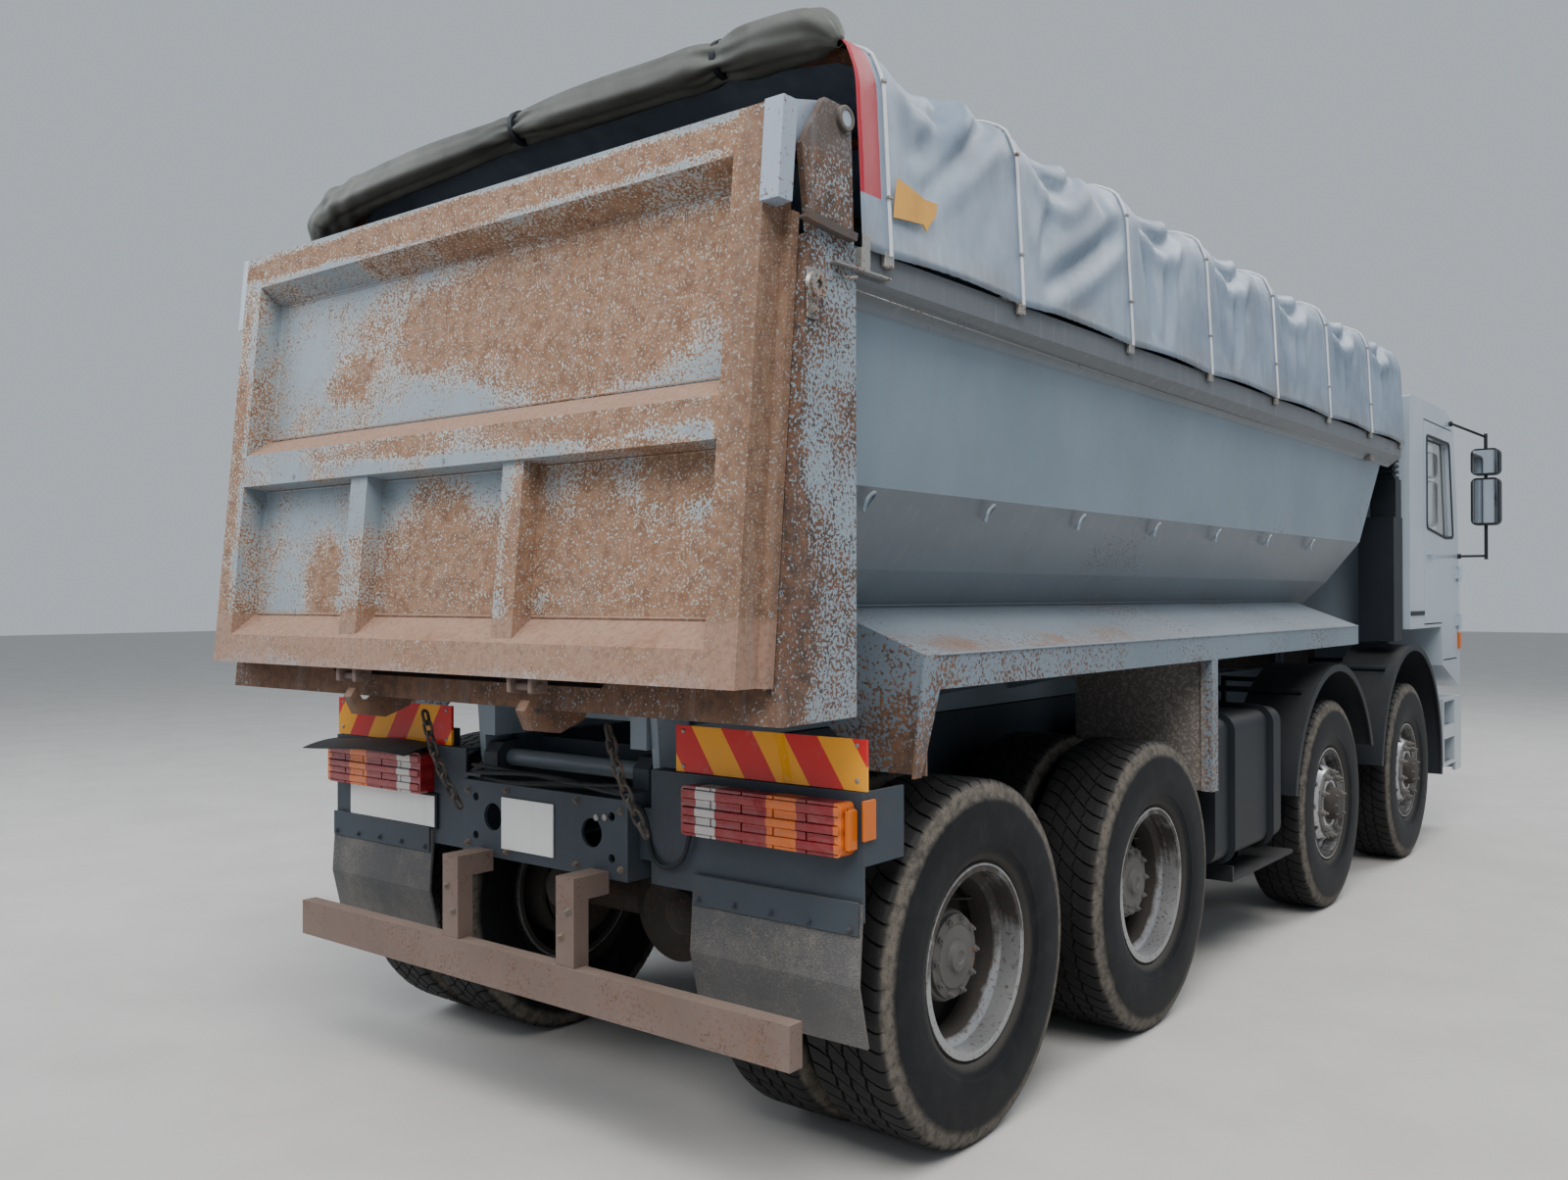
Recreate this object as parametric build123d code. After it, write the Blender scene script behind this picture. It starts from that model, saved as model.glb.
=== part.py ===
from build123d import *
from math import cos, hypot, radians, sin
import os

# Eight-wheel dump truck. Millimetres, X to the truck's right, Y forward, Z up.
# Every place along the truck is measured forward from the rearmost axle, and
# the finished pieces are moved so that the origin is mid-length on the ground.

# Axle places, overall reach and the tipping body's half width
AXLE_4_Y = 0.0
AXLE_3_Y = 1350.0
AXLE_2_Y = 3850.0
AXLE_1_Y = 5550.0
FRONT_Y = 6990.0
TAIL_Y = -1168.0
BODY_HALF_W = 1275.0

# Wheels and tyres
TYRE_R = 560.0
TYRE_HALF_W = 157.0
TREAD_HALF_W = 132.0
SHOULDER_DROP = 26.0
BEAD_HALF_W = 116.0
BEAD_BULGE = 16.0
RIM_SEAT_R = 286.0
RIM_FLANGE_R = 298.5
RIM_WELL_R = 262.0
RIM_WALL = 12.0
WELL_HALF_W = 34.0
WELL_SLOPE_W = 18.0
SEAT_GAP = 0.3
FRONT_WHEEL_X = 1043.0
REAR_OUTER_X = 1082.0
REAR_INNER_X = 732.0
DISC_T = 14.0
DISC_BOLT_R = 190.0
DISC_EYE_R = 140.5
HAND_HOLES = 10
HAND_HOLE_R = 27.0
HAND_HOLE_PCR = 218.0
DRUM_R = 206.0
DRUM_T = 18.0
HUB_R = 118.0
SPINDLE_R = 45.0
RUN_FIT = 0.05

# Steering
KINGPIN_X = 850.0
KINGPIN_R = 24.0
KINGPIN_BOSS_R = 44.0
BEAM_EYE_R = 52.0
BEAM_EYE_HALF_H = 60.0
FORK_GAP = 0.5
FORK_T = 34.0
FORK_OUT = 84.0
STEER_ARM = 190.0

# Chassis
RAIL_HALF_W = 400.0
RAIL_BOTTOM_Z = 815.0
RAIL_H = 270.0
RAIL_FLANGE = 80.0
RAIL_T = 10.0
RAIL_REAR_Y = -700.0
RAIL_FRONT_Y = 6780.0
REAR_BEAM_T = 12.0
CROSS_YS = (-40.0, 675.0, 1900.0, 3000.0, 4400.0, 6700.0)
CROSS_R = 45.0
CROSS_DROP = 120.0
SUBFRAME_H = 120.0
SUBFRAME_W = 70.0
SUBFRAME_FRONT_Y = 5250.0
SUBFRAME_REAR_Y = -500.0
AXLE_TUBE_R = 72.0
AXLE_TUBE_X = 560.0
DIFF_R = 195.0
SPRING_W = 90.0
SPRING_X = 460.0
SPRING_SEAT_H = 90.0
FRONT_SPRING_X = 405.0
FRONT_SPRING_W = 80.0
FRONT_SPRING_HALF = 780.0
UNDERRUN_Y = -864.0
UNDERRUN_HALF_W = 1148.0
UNDERRUN_Z = (446.0, 569.0)
UNDERRUN_DEPTH = 55.0
UNDERRUN_WALL = 6.0
UPRIGHT_X = (238.0, 318.0)
UPRIGHT_TOP_Z = 840.0

# Rear lamp panels, lamps, boards and mud flaps
PANEL_X = (RAIL_HALF_W + 50.0, BODY_HALF_W - 35.0)
PANEL_Y = -660.0
PANEL_T = 10.0
PANEL_Z = (810.0, 1160.0)
LAMP_T = 60.0
LAMP_X = (PANEL_X[1] - 610.0, PANEL_X[1] - 30.0)
LAMP_Z = (990.0, 1135.0)
LENSES = 5
BOARD_X = (PANEL_X[1] - 695.0, PANEL_X[1] + 5.0)
BOARD_H = 140.0
FLAP_X = (PANEL_X[1] - 610.0, PANEL_X[1])
FLAP_LOW_Z = 465.0

# Tipping body, whose height follows the tailgate's
GATE_TOP_Z = 2917.0
RAIL_TOP_Z = GATE_TOP_Z - 307.0
FRAME_TOP_Z = RAIL_TOP_Z - 10.0
TIP_PIN_Y = -550.0
TIP_PIN_Z = 1130.0
TIP_PIN_R = 30.0
BODY_GAP = 6.0
BEAM_W = 70.0
BEAM_FRONT_Y = 4180.0
BEAM_CROSS_YS = (-400.0, 300.0, 1000.0, 1700.0, 2400.0, 3100.0, 3800.0)
FLOOR_Z = 1430.0
WALL_T = 8.0
FRAME_FRONT_Y = -737.0
SILL_Z = 1369.0
SILL_Y = -1057.0
LEAN = 0.0915
FRONT_WALL_Y = 4344.0
FRONT_WALL_Z = 1655.0
FRONT_WALL_T = 14.0
FRONT_LEAN = 0.565
CANOPY_FRONT_Y = 5000.0
# Half section of the half-pipe hull: outward place and height of each fold
HULL_FOLDS = ((BODY_HALF_W - 575.0, FLOOR_Z), (BODY_HALF_W - 275.0, FLOOR_Z + 340.0),
              (BODY_HALF_W - 125.0, FLOOR_Z + 570.0), (BODY_HALF_W - 75.0, RAIL_TOP_Z - 130.0))
TOP_RAIL_W = 90.0
TOP_RAIL_H = 80.0

# Wheel guards along the hull
SHELF_T = 8.0
SHELF_OUT_X = BODY_HALF_W - 20.0
SHELF_IN_X = BODY_HALF_W - 405.0
SHELF_OUT_Z = 1520.0
SHELF_IN_Z = 1666.4
SHELF_LIP_Z = 1418.0
GUARD_LEG_Z = 1174.0
GUARD_Y = (-360.0, 4120.0)
POST_Y = (1885.0, 1950.0)
POST_LOW_Z = 860.0

# Tarpaulin and the hoops under it
TARP_HALF_W = BODY_HALF_W + 15.0
TARP_TOP_Z = RAIL_TOP_Z + 685.0
TARP_T = 8.0
TARP_REAR_Y = -720.0
TARP_FRONT_Y = 5020.0
HOOP_T = 25.0
HOOP_W = 40.0
HOOP_YS = (-600.0, 150.0, 990.0, 1790.0, 2630.0, 3470.0, 4270.0, 4960.0)
ROLL_T = 120.0
ROLL_LOW_Z = RAIL_TOP_Z + 400.0
HEADBOARD_T = 12.0
# Half arch, each fold: inward from the side and down from the top, then the part of a sag that
# draws it inwards and down
ARCH_FOLDS = ((24.0, 215.0, 0.35, 0.0), (63.0, 121.0, 0.5, 0.45), (154.0, 74.0, 0.2, 1.0),
              (580.0, 18.0, 0.0, 1.0))
# The cloth between two hoops: share of the bay from its rear hoop, sag
SAG_STEPS = ((0.0, 0.0), (0.27, 62.0), (0.55, 40.0), (1.0, 0.0))

# Tailgate
GATE_HINGE_Y = -792.0
GATE_HINGE_Z = GATE_TOP_Z + 10.0
GATE_PIN_R = 22.0
GATE_HALF_W = BODY_HALF_W - 54.0
GATE_FLANGE_HALF_W = BODY_HALF_W - 25.0
GATE_LOW_Z = 1464.0
GATE_DEPTH = 113.0
GATE_SKIN = 30.0
GATE_GAP = 6.0
GATE_SIDE_W = 104.0
GATE_MID_Z = 2080.0
# Crosswise rails: face low and high, slope below and above
GATE_RAILS = ((GATE_LOW_Z, GATE_LOW_Z + 96.0, 0.0, 70.0), (GATE_MID_Z, GATE_MID_Z + 110.0, 14.0, 60.0),
              (GATE_TOP_Z - 117.0, GATE_TOP_Z, 60.0, 0.0))
GATE_RIB_XS = (-430.0, 330.0)
GATE_RIB_W = 90.0
WRAP_T = 12.0
WRAP_X = (GATE_HALF_W, GATE_HALF_W + 60.0)
WRAP_LOW_Z = GATE_TOP_Z - 257.0
PLATE_X = (GATE_FLANGE_HALF_W + GATE_GAP, BODY_HALF_W)
CLAW_X = (400.0, 440.0)

# Hoist: a barrel and four nested stages
HOIST_Y = 4900.0
TRUNNION_Z = 1100.0
TRUNNION_R = 34.0
EYE_Z = 2150.0
EYE_HALF_W = 44.0
EYE_R = 44.0
EYE_BORE_R = 22.0
EYE_SIDE_GAP = 6.0
BARREL_R = 100.0
BARREL_LOW_Z = 745.0
BARREL_END_T = 20.0
BARREL_TO_EYE = 200.0
STAGE_WALL = 14.0
STAGES = 4
STAGE_RISE = 22.0
CRADLE_X = (122.0, 152.0)

# Drive line
SHAFT_R = 42.0
GEARBOX_REAR_Y = 5300.0
GEARBOX_Z = (610.0, 1150.0)
GEARBOX_HALF_W = 210.0
GEARBOX_OUT_Z = 668.0
SHAFT_END_GAP = 1.3
ENGINE_Y = (5720.0, 6600.0)
ENGINE_Z = (640.0, 1400.0)
ENGINE_HALF_W = 300.0

# Side tank and box
TANK_X = (560.0, 1195.0)
TANK_Y = (2075.0, 2960.0)
TANK_Z = (505.0, 1145.0)
TANK_R = 70.0
TANK_STEP_X = (900.0, 1190.0)
TANK_STEP_Y = (2300.0, 3160.0)
TANK_STEP_Z = 400.0
STEP_T = 18.0

# Mudguards over the steered wheels
MUDGUARD_T = 10.0
MUDGUARD_LIP = 28.0
MUDGUARD_X = (885.0, 1222.0)
# Place along, inner radius, first and last angle from straight ahead
MUDGUARDS = ((AXLE_1_Y, 800.0, -8.0, 172.0), (AXLE_2_Y, 745.0, 20.0, 170.0))
STAY_ANGLES = (55.0, 125.0)
STAY_R = 16.0

# Cab
CAB_REAR_Y = 5480.0
CAB_HALF_W = 1215.0
CAB_WALL = 60.0
CAB_HINGE_Y = 6920.0
CAB_HINGE_Z = 880.0
CAB_PIN_R = 20.0
CAB_ARM_X = (445.0, 475.0)
CAB_LOW_Z = 1020.0
CAB_STEP_X = 870.0
CAB_NOSE_Y = 6965.0
FRONT_PANEL_Y = CAB_NOSE_Y - CAB_WALL
CAB_FLOOR_Z = 1470.0
ROOF_Z = 2985.0
DOOR_GAP = 9.0
DOOR_HINGE_X = CAB_HALF_W + 15.0
DOOR_HINGE_Y = 6884.0
DOOR_HINGE_ZS = (1500.0, 1840.0)
HINGE_R = 14.0
HINGE_PIN_R = 8.0
HINGE_HALF_H = 33.0
HINGE_EAR_T = 24.0
HANDLE_Z = 1975.0
GLASS_T = 6.0
# Door outline and window outline: place along the truck and height
DOOR_EDGE = ((5870.0, 1500.0), (5870.0, 2855.0), (6690.0, 2855.0), (6845.0, 2060.0), (6860.0, 1240.0),
             (6430.0, 1240.0), (6400.0, 1500.0))
WINDOW_EDGE = ((5950.0, 2140.0), (5950.0, 2760.0), (6625.0, 2760.0), (6745.0, 2100.0), (6500.0, 2090.0))
# Outside and inside of the cab's side, the same way
SHELL_EDGE = ((CAB_REAR_Y, CAB_FLOOR_Z), (CAB_REAR_Y, ROOF_Z - 20.0), (CAB_REAR_Y + 60.0, ROOF_Z),
              (6500.0, ROOF_Z), (6700.0, ROOF_Z - 45.0), (6785.0, ROOF_Z - 135.0), (6925.0, 2060.0),
              (CAB_NOSE_Y, 1650.0), (CAB_NOSE_Y, CAB_LOW_Z), (6400.0, CAB_LOW_Z + 180.0),
              (6360.0, CAB_FLOOR_Z))
ROOM_EDGE = ((CAB_REAR_Y + CAB_WALL, CAB_FLOOR_Z + CAB_WALL), (CAB_REAR_Y + CAB_WALL, ROOF_Z - CAB_WALL),
             (6490.0, ROOF_Z - CAB_WALL), (6670.0, ROOF_Z - 105.0), (6728.0, ROOF_Z - 155.0),
             (6862.0, 2060.0), (6900.0, 1650.0), (6900.0, CAB_FLOOR_Z + CAB_WALL))
SCREEN_LOW = (6918.0, 2100.0)
SCREEN_HIGH = (6796.0, ROOF_Z - 195.0)
SCREEN_HALF_W = CAB_HALF_W - 135.0
SCREEN_AHEAD = 60.0
SCREEN_BEHIND = 90.0
VISOR_EDGE = ((6706.8, ROOF_Z - 52.2), (6721.25, ROOF_Z - 67.5), (6960.0, ROOF_Z - 147.0),
              (6962.0, ROOF_Z - 133.0))
VISOR_HALF_W = CAB_HALF_W - 155.0
GRILLE_HALF_W = CAB_HALF_W - 285.0
GRILLE_Z = (1120.0, 1660.0)
GRILLE_SLOTS = 6
SLOT_PITCH = 80.0
SLOT_DEPTH = 15.0

# Front bumper and entry steps
BUMPER_T = 22.0
BUMPER_DEPTH = 190.0
BUMPER_Z = (430.0, 960.0)
HINGE_SLOT_X = (430.0, 560.0)
PLATE_HALF_W = 260.0
PLATE_Z = (560.0, 700.0)
HEAD_X = (CAB_HALF_W - 455.0, CAB_HALF_W - 85.0)
HEAD_Z = (600.0, 800.0)
STEP_W = 330.0
STEP_REAR_Y = 6410.0
STEP_H = 170.0

# Mirrors
MIRROR_X = CAB_HALF_W + 180.0
MIRROR_Y = 6930.0
MIRROR_POST_Z = (1945.0, 2850.0)
MIRROR_HALF_W = 92.5
MIRROR_HALF_T = 47.5
MIRROR_HEADS = ((2190.0, 2530.0), (2550.0, 2740.0))
# Each arm: place along and height of its foot on the cab, height of its end at the post
MIRROR_ARMS = ((6905.0, 1970.0, 1970.0), (6640.0, 2905.0, 2826.0))

# Air intake column
INTAKE_X = 1115.0
INTAKE_Y = 5300.0
INTAKE_LOW_Z = 1400.0
DUCT_IN_X = INTAKE_X - 135.0
DUCT_TOP_Z = 2180.0
INTAKE_FINS = 7
FIN_PITCH = 36.0
FIN_T = 18.0
FIN_LOW_Z = 2424.0
# Pieces above the duct: half widths across and along, low and high place
INTAKE_STACK = ((75.0, 70.0, DUCT_TOP_Z, 2420.0), (51.0, 46.0, 2400.0, 2690.0), (80.0, 80.0, 2676.0, 2790.0))

# Inside the cab
SEAT_X = 620.0
SEAT_Y = 5730.0
SEAT_HALF_W = 250.0
WHEEL_AT = (-SEAT_X, 6420.0, 2200.0)
COLUMN_END = (-SEAT_X, 6613.0, 1970.0)
WHEEL_TILT = 40.0
WHEEL_RING_R = 225.0
COLUMN_R = 26.0
DASH_HALF_W = CAB_HALF_W - CAB_WALL - 15.0
FLOOR_IN = CAB_FLOOR_Z + CAB_WALL

MID_Y = (FRONT_Y + TAIL_Y) / 2
RAIL_TOP = RAIL_BOTTOM_Z + RAIL_H
SUBFRAME_TOP = RAIL_TOP + SUBFRAME_H
BEAM_LOW = SUBFRAME_TOP + BODY_GAP
SPRING_REAR_MID = (AXLE_3_Y + AXLE_4_Y) / 2
LEAF_LOW = TYRE_R + SPRING_SEAT_H
PAST = 1.0


def block(x, y, z):
    """A plain bar from its low and high place on each axis."""
    size = (x[1] - x[0], y[1] - y[0], z[1] - z[0])
    return Pos((x[0] + x[1]) / 2, (y[0] + y[1]) / 2, (z[0] + z[1]) / 2) * Box(*size)


def side_plate(outline, x):
    """A plate cut to an outline of (y, z) points, between two places across."""
    face = Plane.YZ.offset(x[0]) * Polygon(*outline, align=None)
    return extrude(face, x[1] - x[0], dir=(1, 0, 0))


def cross_plate(outline, y):
    """A plate cut to an outline of (x, z) points, between two places along."""
    face = Plane.XZ.offset(-y[0]) * Polygon(*outline, align=None)
    return extrude(face, y[1] - y[0], dir=(0, 1, 0))


def rod_x(r, x, y, z):
    """A round bar that runs across."""
    return Pos((x[0] + x[1]) / 2, y, z) * Rot(0, 90, 0) * Cylinder(r, x[1] - x[0])


def rod_y(r, x, y, z):
    """A round bar that runs along the truck."""
    return Pos(x, (y[0] + y[1]) / 2, z) * Rot(90, 0, 0) * Cylinder(r, y[1] - y[0])


def rod_z(r, x, y, z):
    """An upright round bar."""
    return Pos(x, y, (z[0] + z[1]) / 2) * Cylinder(r, z[1] - z[0])


def strut(r, start, end):
    """A round bar between two points."""
    a, b = Vector(*start), Vector(*end)
    return Plane(a, z_dir=b - a) * Cylinder(r, (b - a).length, align=(Align.CENTER, Align.CENTER, Align.MIN))


def turned(profile, x, y, z):
    """A wheel-like piece turned about a crosswise axis from (offset, radius) points."""
    return Pos(x, y, z) * revolve(Polygon(*profile, align=None), Axis.X)


def both(shape):
    """The shape and its mirror image across the truck's middle."""
    return shape + mirror(shape, about=Plane.YZ)


def sided(shape, side):
    """The right-hand piece, or its mirror image for the left."""
    return shape if side > 0 else mirror(shape, about=Plane.YZ)


def mirrored(outline):
    """A closed half outline of (x, z) points completed by its mirror image."""
    return list(outline) + [(-x, z) for x, z in reversed(outline)]


def front_wall_y(z):
    """Where the leaning front wall's rear face is at a height."""
    return FRONT_WALL_Y + FRONT_LEAN * (z - FRONT_WALL_Z)


def gate_face_y(z):
    """Where the leaning rear face of the body's rear frame is at a height."""
    return SILL_Y + LEAN * (z - SILL_Z)


nodes = {}


def keep(name, shape):
    """Puts a finished piece on the list under its name."""
    nodes[name] = shape


# Tyres and rims
def tyre():
    """Outline of a tyre's section: beads, bulging sides, shoulders and tread."""
    bulge_r = (TYRE_R + RIM_FLANGE_R) / 2 - SHOULDER_DROP
    half = [(BEAD_HALF_W, RIM_SEAT_R + SEAT_GAP), (BEAD_HALF_W, RIM_FLANGE_R + 2),
            (BEAD_HALF_W + BEAD_BULGE, RIM_FLANGE_R + 14), (TYRE_HALF_W, bulge_r),
            (TYRE_HALF_W - 6, TYRE_R - 2.4 * SHOULDER_DROP), (TREAD_HALF_W, TYRE_R - SHOULDER_DROP / 3),
            (TREAD_HALF_W - 14, TYRE_R)]
    return half + [(-x, r) for x, r in reversed(half)]


def rim_barrel():
    """Outline of the rolled rim: flanges, bead seats and the dropped well."""
    edge = BEAD_HALF_W + SEAT_GAP + RIM_WALL
    seat_x = WELL_HALF_W + WELL_SLOPE_W
    half = [(WELL_HALF_W, RIM_WELL_R), (seat_x, RIM_SEAT_R), (edge - RIM_WALL, RIM_SEAT_R),
            (edge - RIM_WALL, RIM_FLANGE_R), (edge, RIM_FLANGE_R), (edge, RIM_SEAT_R - RIM_WALL),
            (seat_x + 6, RIM_SEAT_R - RIM_WALL), (WELL_HALF_W + 6, RIM_WELL_R - RIM_WALL)]
    return half + [(-x, r) for x, r in reversed(half)]


def hand_holes(x, y):
    """The ring of round holes through a wheel's disc."""
    cut = Part()
    for i in range(HAND_HOLES):
        turn = radians(360 / HAND_HOLES * i)
        cut += rod_x(HAND_HOLE_R, (x - 90, x + 90), y + HAND_HOLE_PCR * cos(turn),
                     TYRE_R + HAND_HOLE_PCR * sin(turn))
    return cut


def front_rim(y):
    """Single front wheel: the disc bulges outwards past the rim's edge, round the hub."""
    disc_r = RIM_WELL_R - RIM_WALL / 2
    face_x = BEAD_HALF_W + RIM_WALL
    disc = turned([(30, disc_r), (30 - DISC_T, disc_r), (face_x - DISC_T - 6, DISC_BOLT_R),
                   (face_x - DISC_T, DISC_BOLT_R - 20), (face_x - DISC_T, DISC_EYE_R - 22),
                   (face_x, DISC_EYE_R - 22), (face_x, DISC_BOLT_R - 8)], FRONT_WHEEL_X, y, TYRE_R)
    disc -= hand_holes(FRONT_WHEEL_X + 60, y)
    barrel = turned(rim_barrel(), FRONT_WHEEL_X, y, TYRE_R)
    hub = turned([(-60, SPINDLE_R + RUN_FIT), (-60, HUB_R - 20), (face_x - DISC_T, HUB_R - 20),
                  (face_x - DISC_T, HUB_R + 12), (face_x + 2, HUB_R + 12), (face_x + 6, HUB_R - 28),
                  (face_x + 50, HUB_R - 36), (face_x + 62, HUB_R - 60), (face_x + 62, 0), (100, 0),
                  (100, SPINDLE_R + RUN_FIT)], FRONT_WHEEL_X, y, TYRE_R)
    drum = turned([(-60, HUB_R - 30), (-60, DRUM_R), (-110, DRUM_R), (-110, DRUM_R - DRUM_T + 2),
                   (-74, DRUM_R - DRUM_T + 2), (-74, HUB_R - 30)], FRONT_WHEEL_X, y, TYRE_R)
    return barrel + disc + hub + drum


def rear_rims(y):
    """Twin rear wheels bolted disc to disc on one hub, with its brake drum and domed end."""
    mid_x = (REAR_OUTER_X + REAR_INNER_X) / 2
    edge = REAR_OUTER_X - mid_x - BEAD_HALF_W + 16
    shape = turned(rim_barrel(), REAR_OUTER_X, y, TYRE_R) + turned(rim_barrel(), REAR_INNER_X, y, TYRE_R)
    dish = [(0, DISC_BOLT_R), (0, DISC_EYE_R - 30), (DISC_T, DISC_EYE_R - 30), (DISC_T, DISC_BOLT_R - 10),
            (edge + DISC_T, RIM_SEAT_R - 8), (edge, RIM_SEAT_R - 4)]
    shape += turned(dish, mid_x, y, TYRE_R)
    shape += turned([(-x, r) for x, r in dish], mid_x, y, TYRE_R)
    shape -= hand_holes(mid_x, y)
    shape += turned([(-160, SPINDLE_R + RUN_FIT), (-160, HUB_R + 14), (DISC_T + 6, HUB_R + 14),
                     (DISC_T + 34, HUB_R), (120, HUB_R - 6), (120, HUB_R + 16), (140, HUB_R + 16),
                     (146, HUB_R - 26), (176, HUB_R - 40), (176, 0), (90, 0), (90, SPINDLE_R + RUN_FIT)],
                    mid_x, y, TYRE_R)
    shape += turned([(-150, HUB_R - 10), (-150, DRUM_R), (-330, DRUM_R), (-330, DRUM_R - DRUM_T),
                     (-168, DRUM_R - DRUM_T), (-168, HUB_R - 10)], mid_x, y, TYRE_R)
    return shape


SIDES = (("right", 1), ("left", -1))
# Axle number, place along the truck
FRONT_AXLES = ((1, AXLE_1_Y), (2, AXLE_2_Y))
REAR_AXLES = ((3, AXLE_3_Y), (4, AXLE_4_Y))

for number, y in FRONT_AXLES:
    for side_name, side in SIDES:
        keep(f"tyre_{number}_{side_name}", sided(turned(tyre(), FRONT_WHEEL_X, y, TYRE_R), side))
        keep(f"rim_{number}_{side_name}", sided(front_rim(y), side))
for number, y in REAR_AXLES:
    for side_name, side in SIDES:
        pair = turned(tyre(), REAR_OUTER_X, y, TYRE_R) + turned(tyre(), REAR_INNER_X, y, TYRE_R)
        keep(f"tyres_{number}_{side_name}", sided(pair, side))
        keep(f"rims_{number}_{side_name}", sided(rear_rims(y), side))


# Steering knuckles
def knuckle(y):
    """A fork round the beam's eye with its kingpin, stub axle, backing plate and steering arm."""
    low = (TYRE_R - BEAM_EYE_HALF_H - FORK_GAP - FORK_T, TYRE_R - BEAM_EYE_HALF_H - FORK_GAP)
    high = (TYRE_R + BEAM_EYE_HALF_H + FORK_GAP, TYRE_R + BEAM_EYE_HALF_H + FORK_GAP + FORK_T)
    reach = (KINGPIN_X, KINGPIN_X + FORK_OUT)
    shape = rod_z(KINGPIN_R, KINGPIN_X, y, (low[0], high[1]))
    for z in (low, high):
        shape += rod_z(KINGPIN_BOSS_R, KINGPIN_X, y, z)
        shape += block(reach, (y - 40, y + 40), z)
    shape += block((reach[1] - 28, reach[1]), (y - 40, y + 40), (low[0], high[1]))
    shape += rod_x(SPINDLE_R, (reach[1] - 14, FRONT_WHEEL_X + 98), y, TYRE_R)
    shape += rod_x(DRUM_R - 24, (reach[1], reach[1] + 8), y, TYRE_R)
    shape += side_plate([(y - 30, low[0]), (y - 30, low[0] + 22), (y - STEER_ARM, low[0] + 22),
                         (y - STEER_ARM, low[0])], (KINGPIN_X - 22, KINGPIN_X + 22))
    return shape


for number, y in FRONT_AXLES:
    for side_name, side in SIDES:
        keep(f"knuckle_{number}_{side_name}", sided(knuckle(y), side))


# Axles
def front_beam(y):
    """A dropped forging with an eye for the kingpin at each end and pads under the springs."""
    half = [(KINGPIN_X - 40, TYRE_R + 40), (560, TYRE_R - 30), (480, TYRE_R - 60), (0, TYRE_R - 60),
            (0, TYRE_R - 140), (500, TYRE_R - 140), (600, TYRE_R - 110), (KINGPIN_X - 30, TYRE_R - 50)]
    beam = cross_plate(half, (y - 45, y + 45))
    beam += rod_z(BEAM_EYE_R, KINGPIN_X, y, (TYRE_R - BEAM_EYE_HALF_H, TYRE_R + BEAM_EYE_HALF_H))
    beam -= rod_z(KINGPIN_R + RUN_FIT, KINGPIN_X, y, (TYRE_R - 200, TYRE_R + 200))
    beam += block((FRONT_SPRING_X - 50, FRONT_SPRING_X + 50), (y - 75, y + 75), (TYRE_R - 70, TYRE_R - 40))
    return both(beam)


def rear_housing(y):
    """A rear axle's arms, spindles, spring seats and the bowl of its final drive."""
    hub_x = (REAR_OUTER_X + REAR_INNER_X) / 2
    arm = rod_x(AXLE_TUBE_R, (0, AXLE_TUBE_X), y, TYRE_R)
    arm += rod_x(SPINDLE_R, (AXLE_TUBE_X - 20, hub_x + 88), y, TYRE_R)
    arm += rod_x(DRUM_R - 26, (AXLE_TUBE_X, AXLE_TUBE_X + 12), y, TYRE_R)
    arm += block((SPRING_X - 55, SPRING_X + 55), (y - 80, y + 80), (TYRE_R, LEAF_LOW))
    base = (Align.CENTER, Align.CENTER, Align.MIN)
    bowl = rod_y(DIFF_R, 0, (y - 70, y + 90), TYRE_R)
    bowl += Pos(0, y + 90, TYRE_R) * Rot(-90, 0, 0) * Cone(DIFF_R - 30, 80, 130, align=base)
    bowl += Pos(0, y - 70, TYRE_R) * Rot(90, 0, 0) * Cone(DIFF_R, DIFF_R - 90, 60, align=base)
    return both(arm) + bowl


drive = rear_housing(AXLE_3_Y) + rear_housing(AXLE_4_Y)
drive += rod_y(SHAFT_R, 0, (AXLE_4_Y + 200, AXLE_3_Y - 110), TYRE_R)
drive += strut(SHAFT_R, (0, AXLE_3_Y + 200, TYRE_R), (0, GEARBOX_REAR_Y - SHAFT_END_GAP, GEARBOX_OUT_Z))
keep("axles", drive + front_beam(AXLE_1_Y) + front_beam(AXLE_2_Y))


# Springs
def rear_pack():
    """The pack of leaves that bears on both rear axles."""
    half = (AXLE_3_Y - AXLE_4_Y) / 2
    m = SPRING_REAR_MID
    return side_plate([(m - half - 90, LEAF_LOW), (m - half + 90, LEAF_LOW), (m - 180, LEAF_LOW - 40),
                       (m + 180, LEAF_LOW - 40), (m + half - 90, LEAF_LOW), (m + half + 90, LEAF_LOW),
                       (m + half + 90, LEAF_LOW + 30), (m + 180, LEAF_LOW + 105), (m - 180, LEAF_LOW + 105),
                       (m - half - 90, LEAF_LOW + 30)], (SPRING_X - SPRING_W / 2, SPRING_X + SPRING_W / 2))


def front_pack(y):
    """A front pack of leaves on its beam, with the hanger at each end."""
    low = TYRE_R - 40
    half = FRONT_SPRING_HALF
    x = (FRONT_SPRING_X - FRONT_SPRING_W / 2, FRONT_SPRING_X + FRONT_SPRING_W / 2)
    pack = side_plate([(y - 160, low), (y + 160, low), (y + half, low + 130), (y + half, low + 160),
                       (y + 160, low + 70), (y - 160, low + 70), (y - half, low + 160),
                       (y - half, low + 130)], x)
    for end in (-1, 1):
        hanger_y = y + end * (half - 40)
        pack += block((x[0] + 5, RAIL_HALF_W), (hanger_y - 30, hanger_y + 30), (low + 110, RAIL_BOTTOM_Z))
    return pack


keep("leaf_springs", both(rear_pack() + front_pack(AXLE_1_Y) + front_pack(AXLE_2_Y)))


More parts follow.
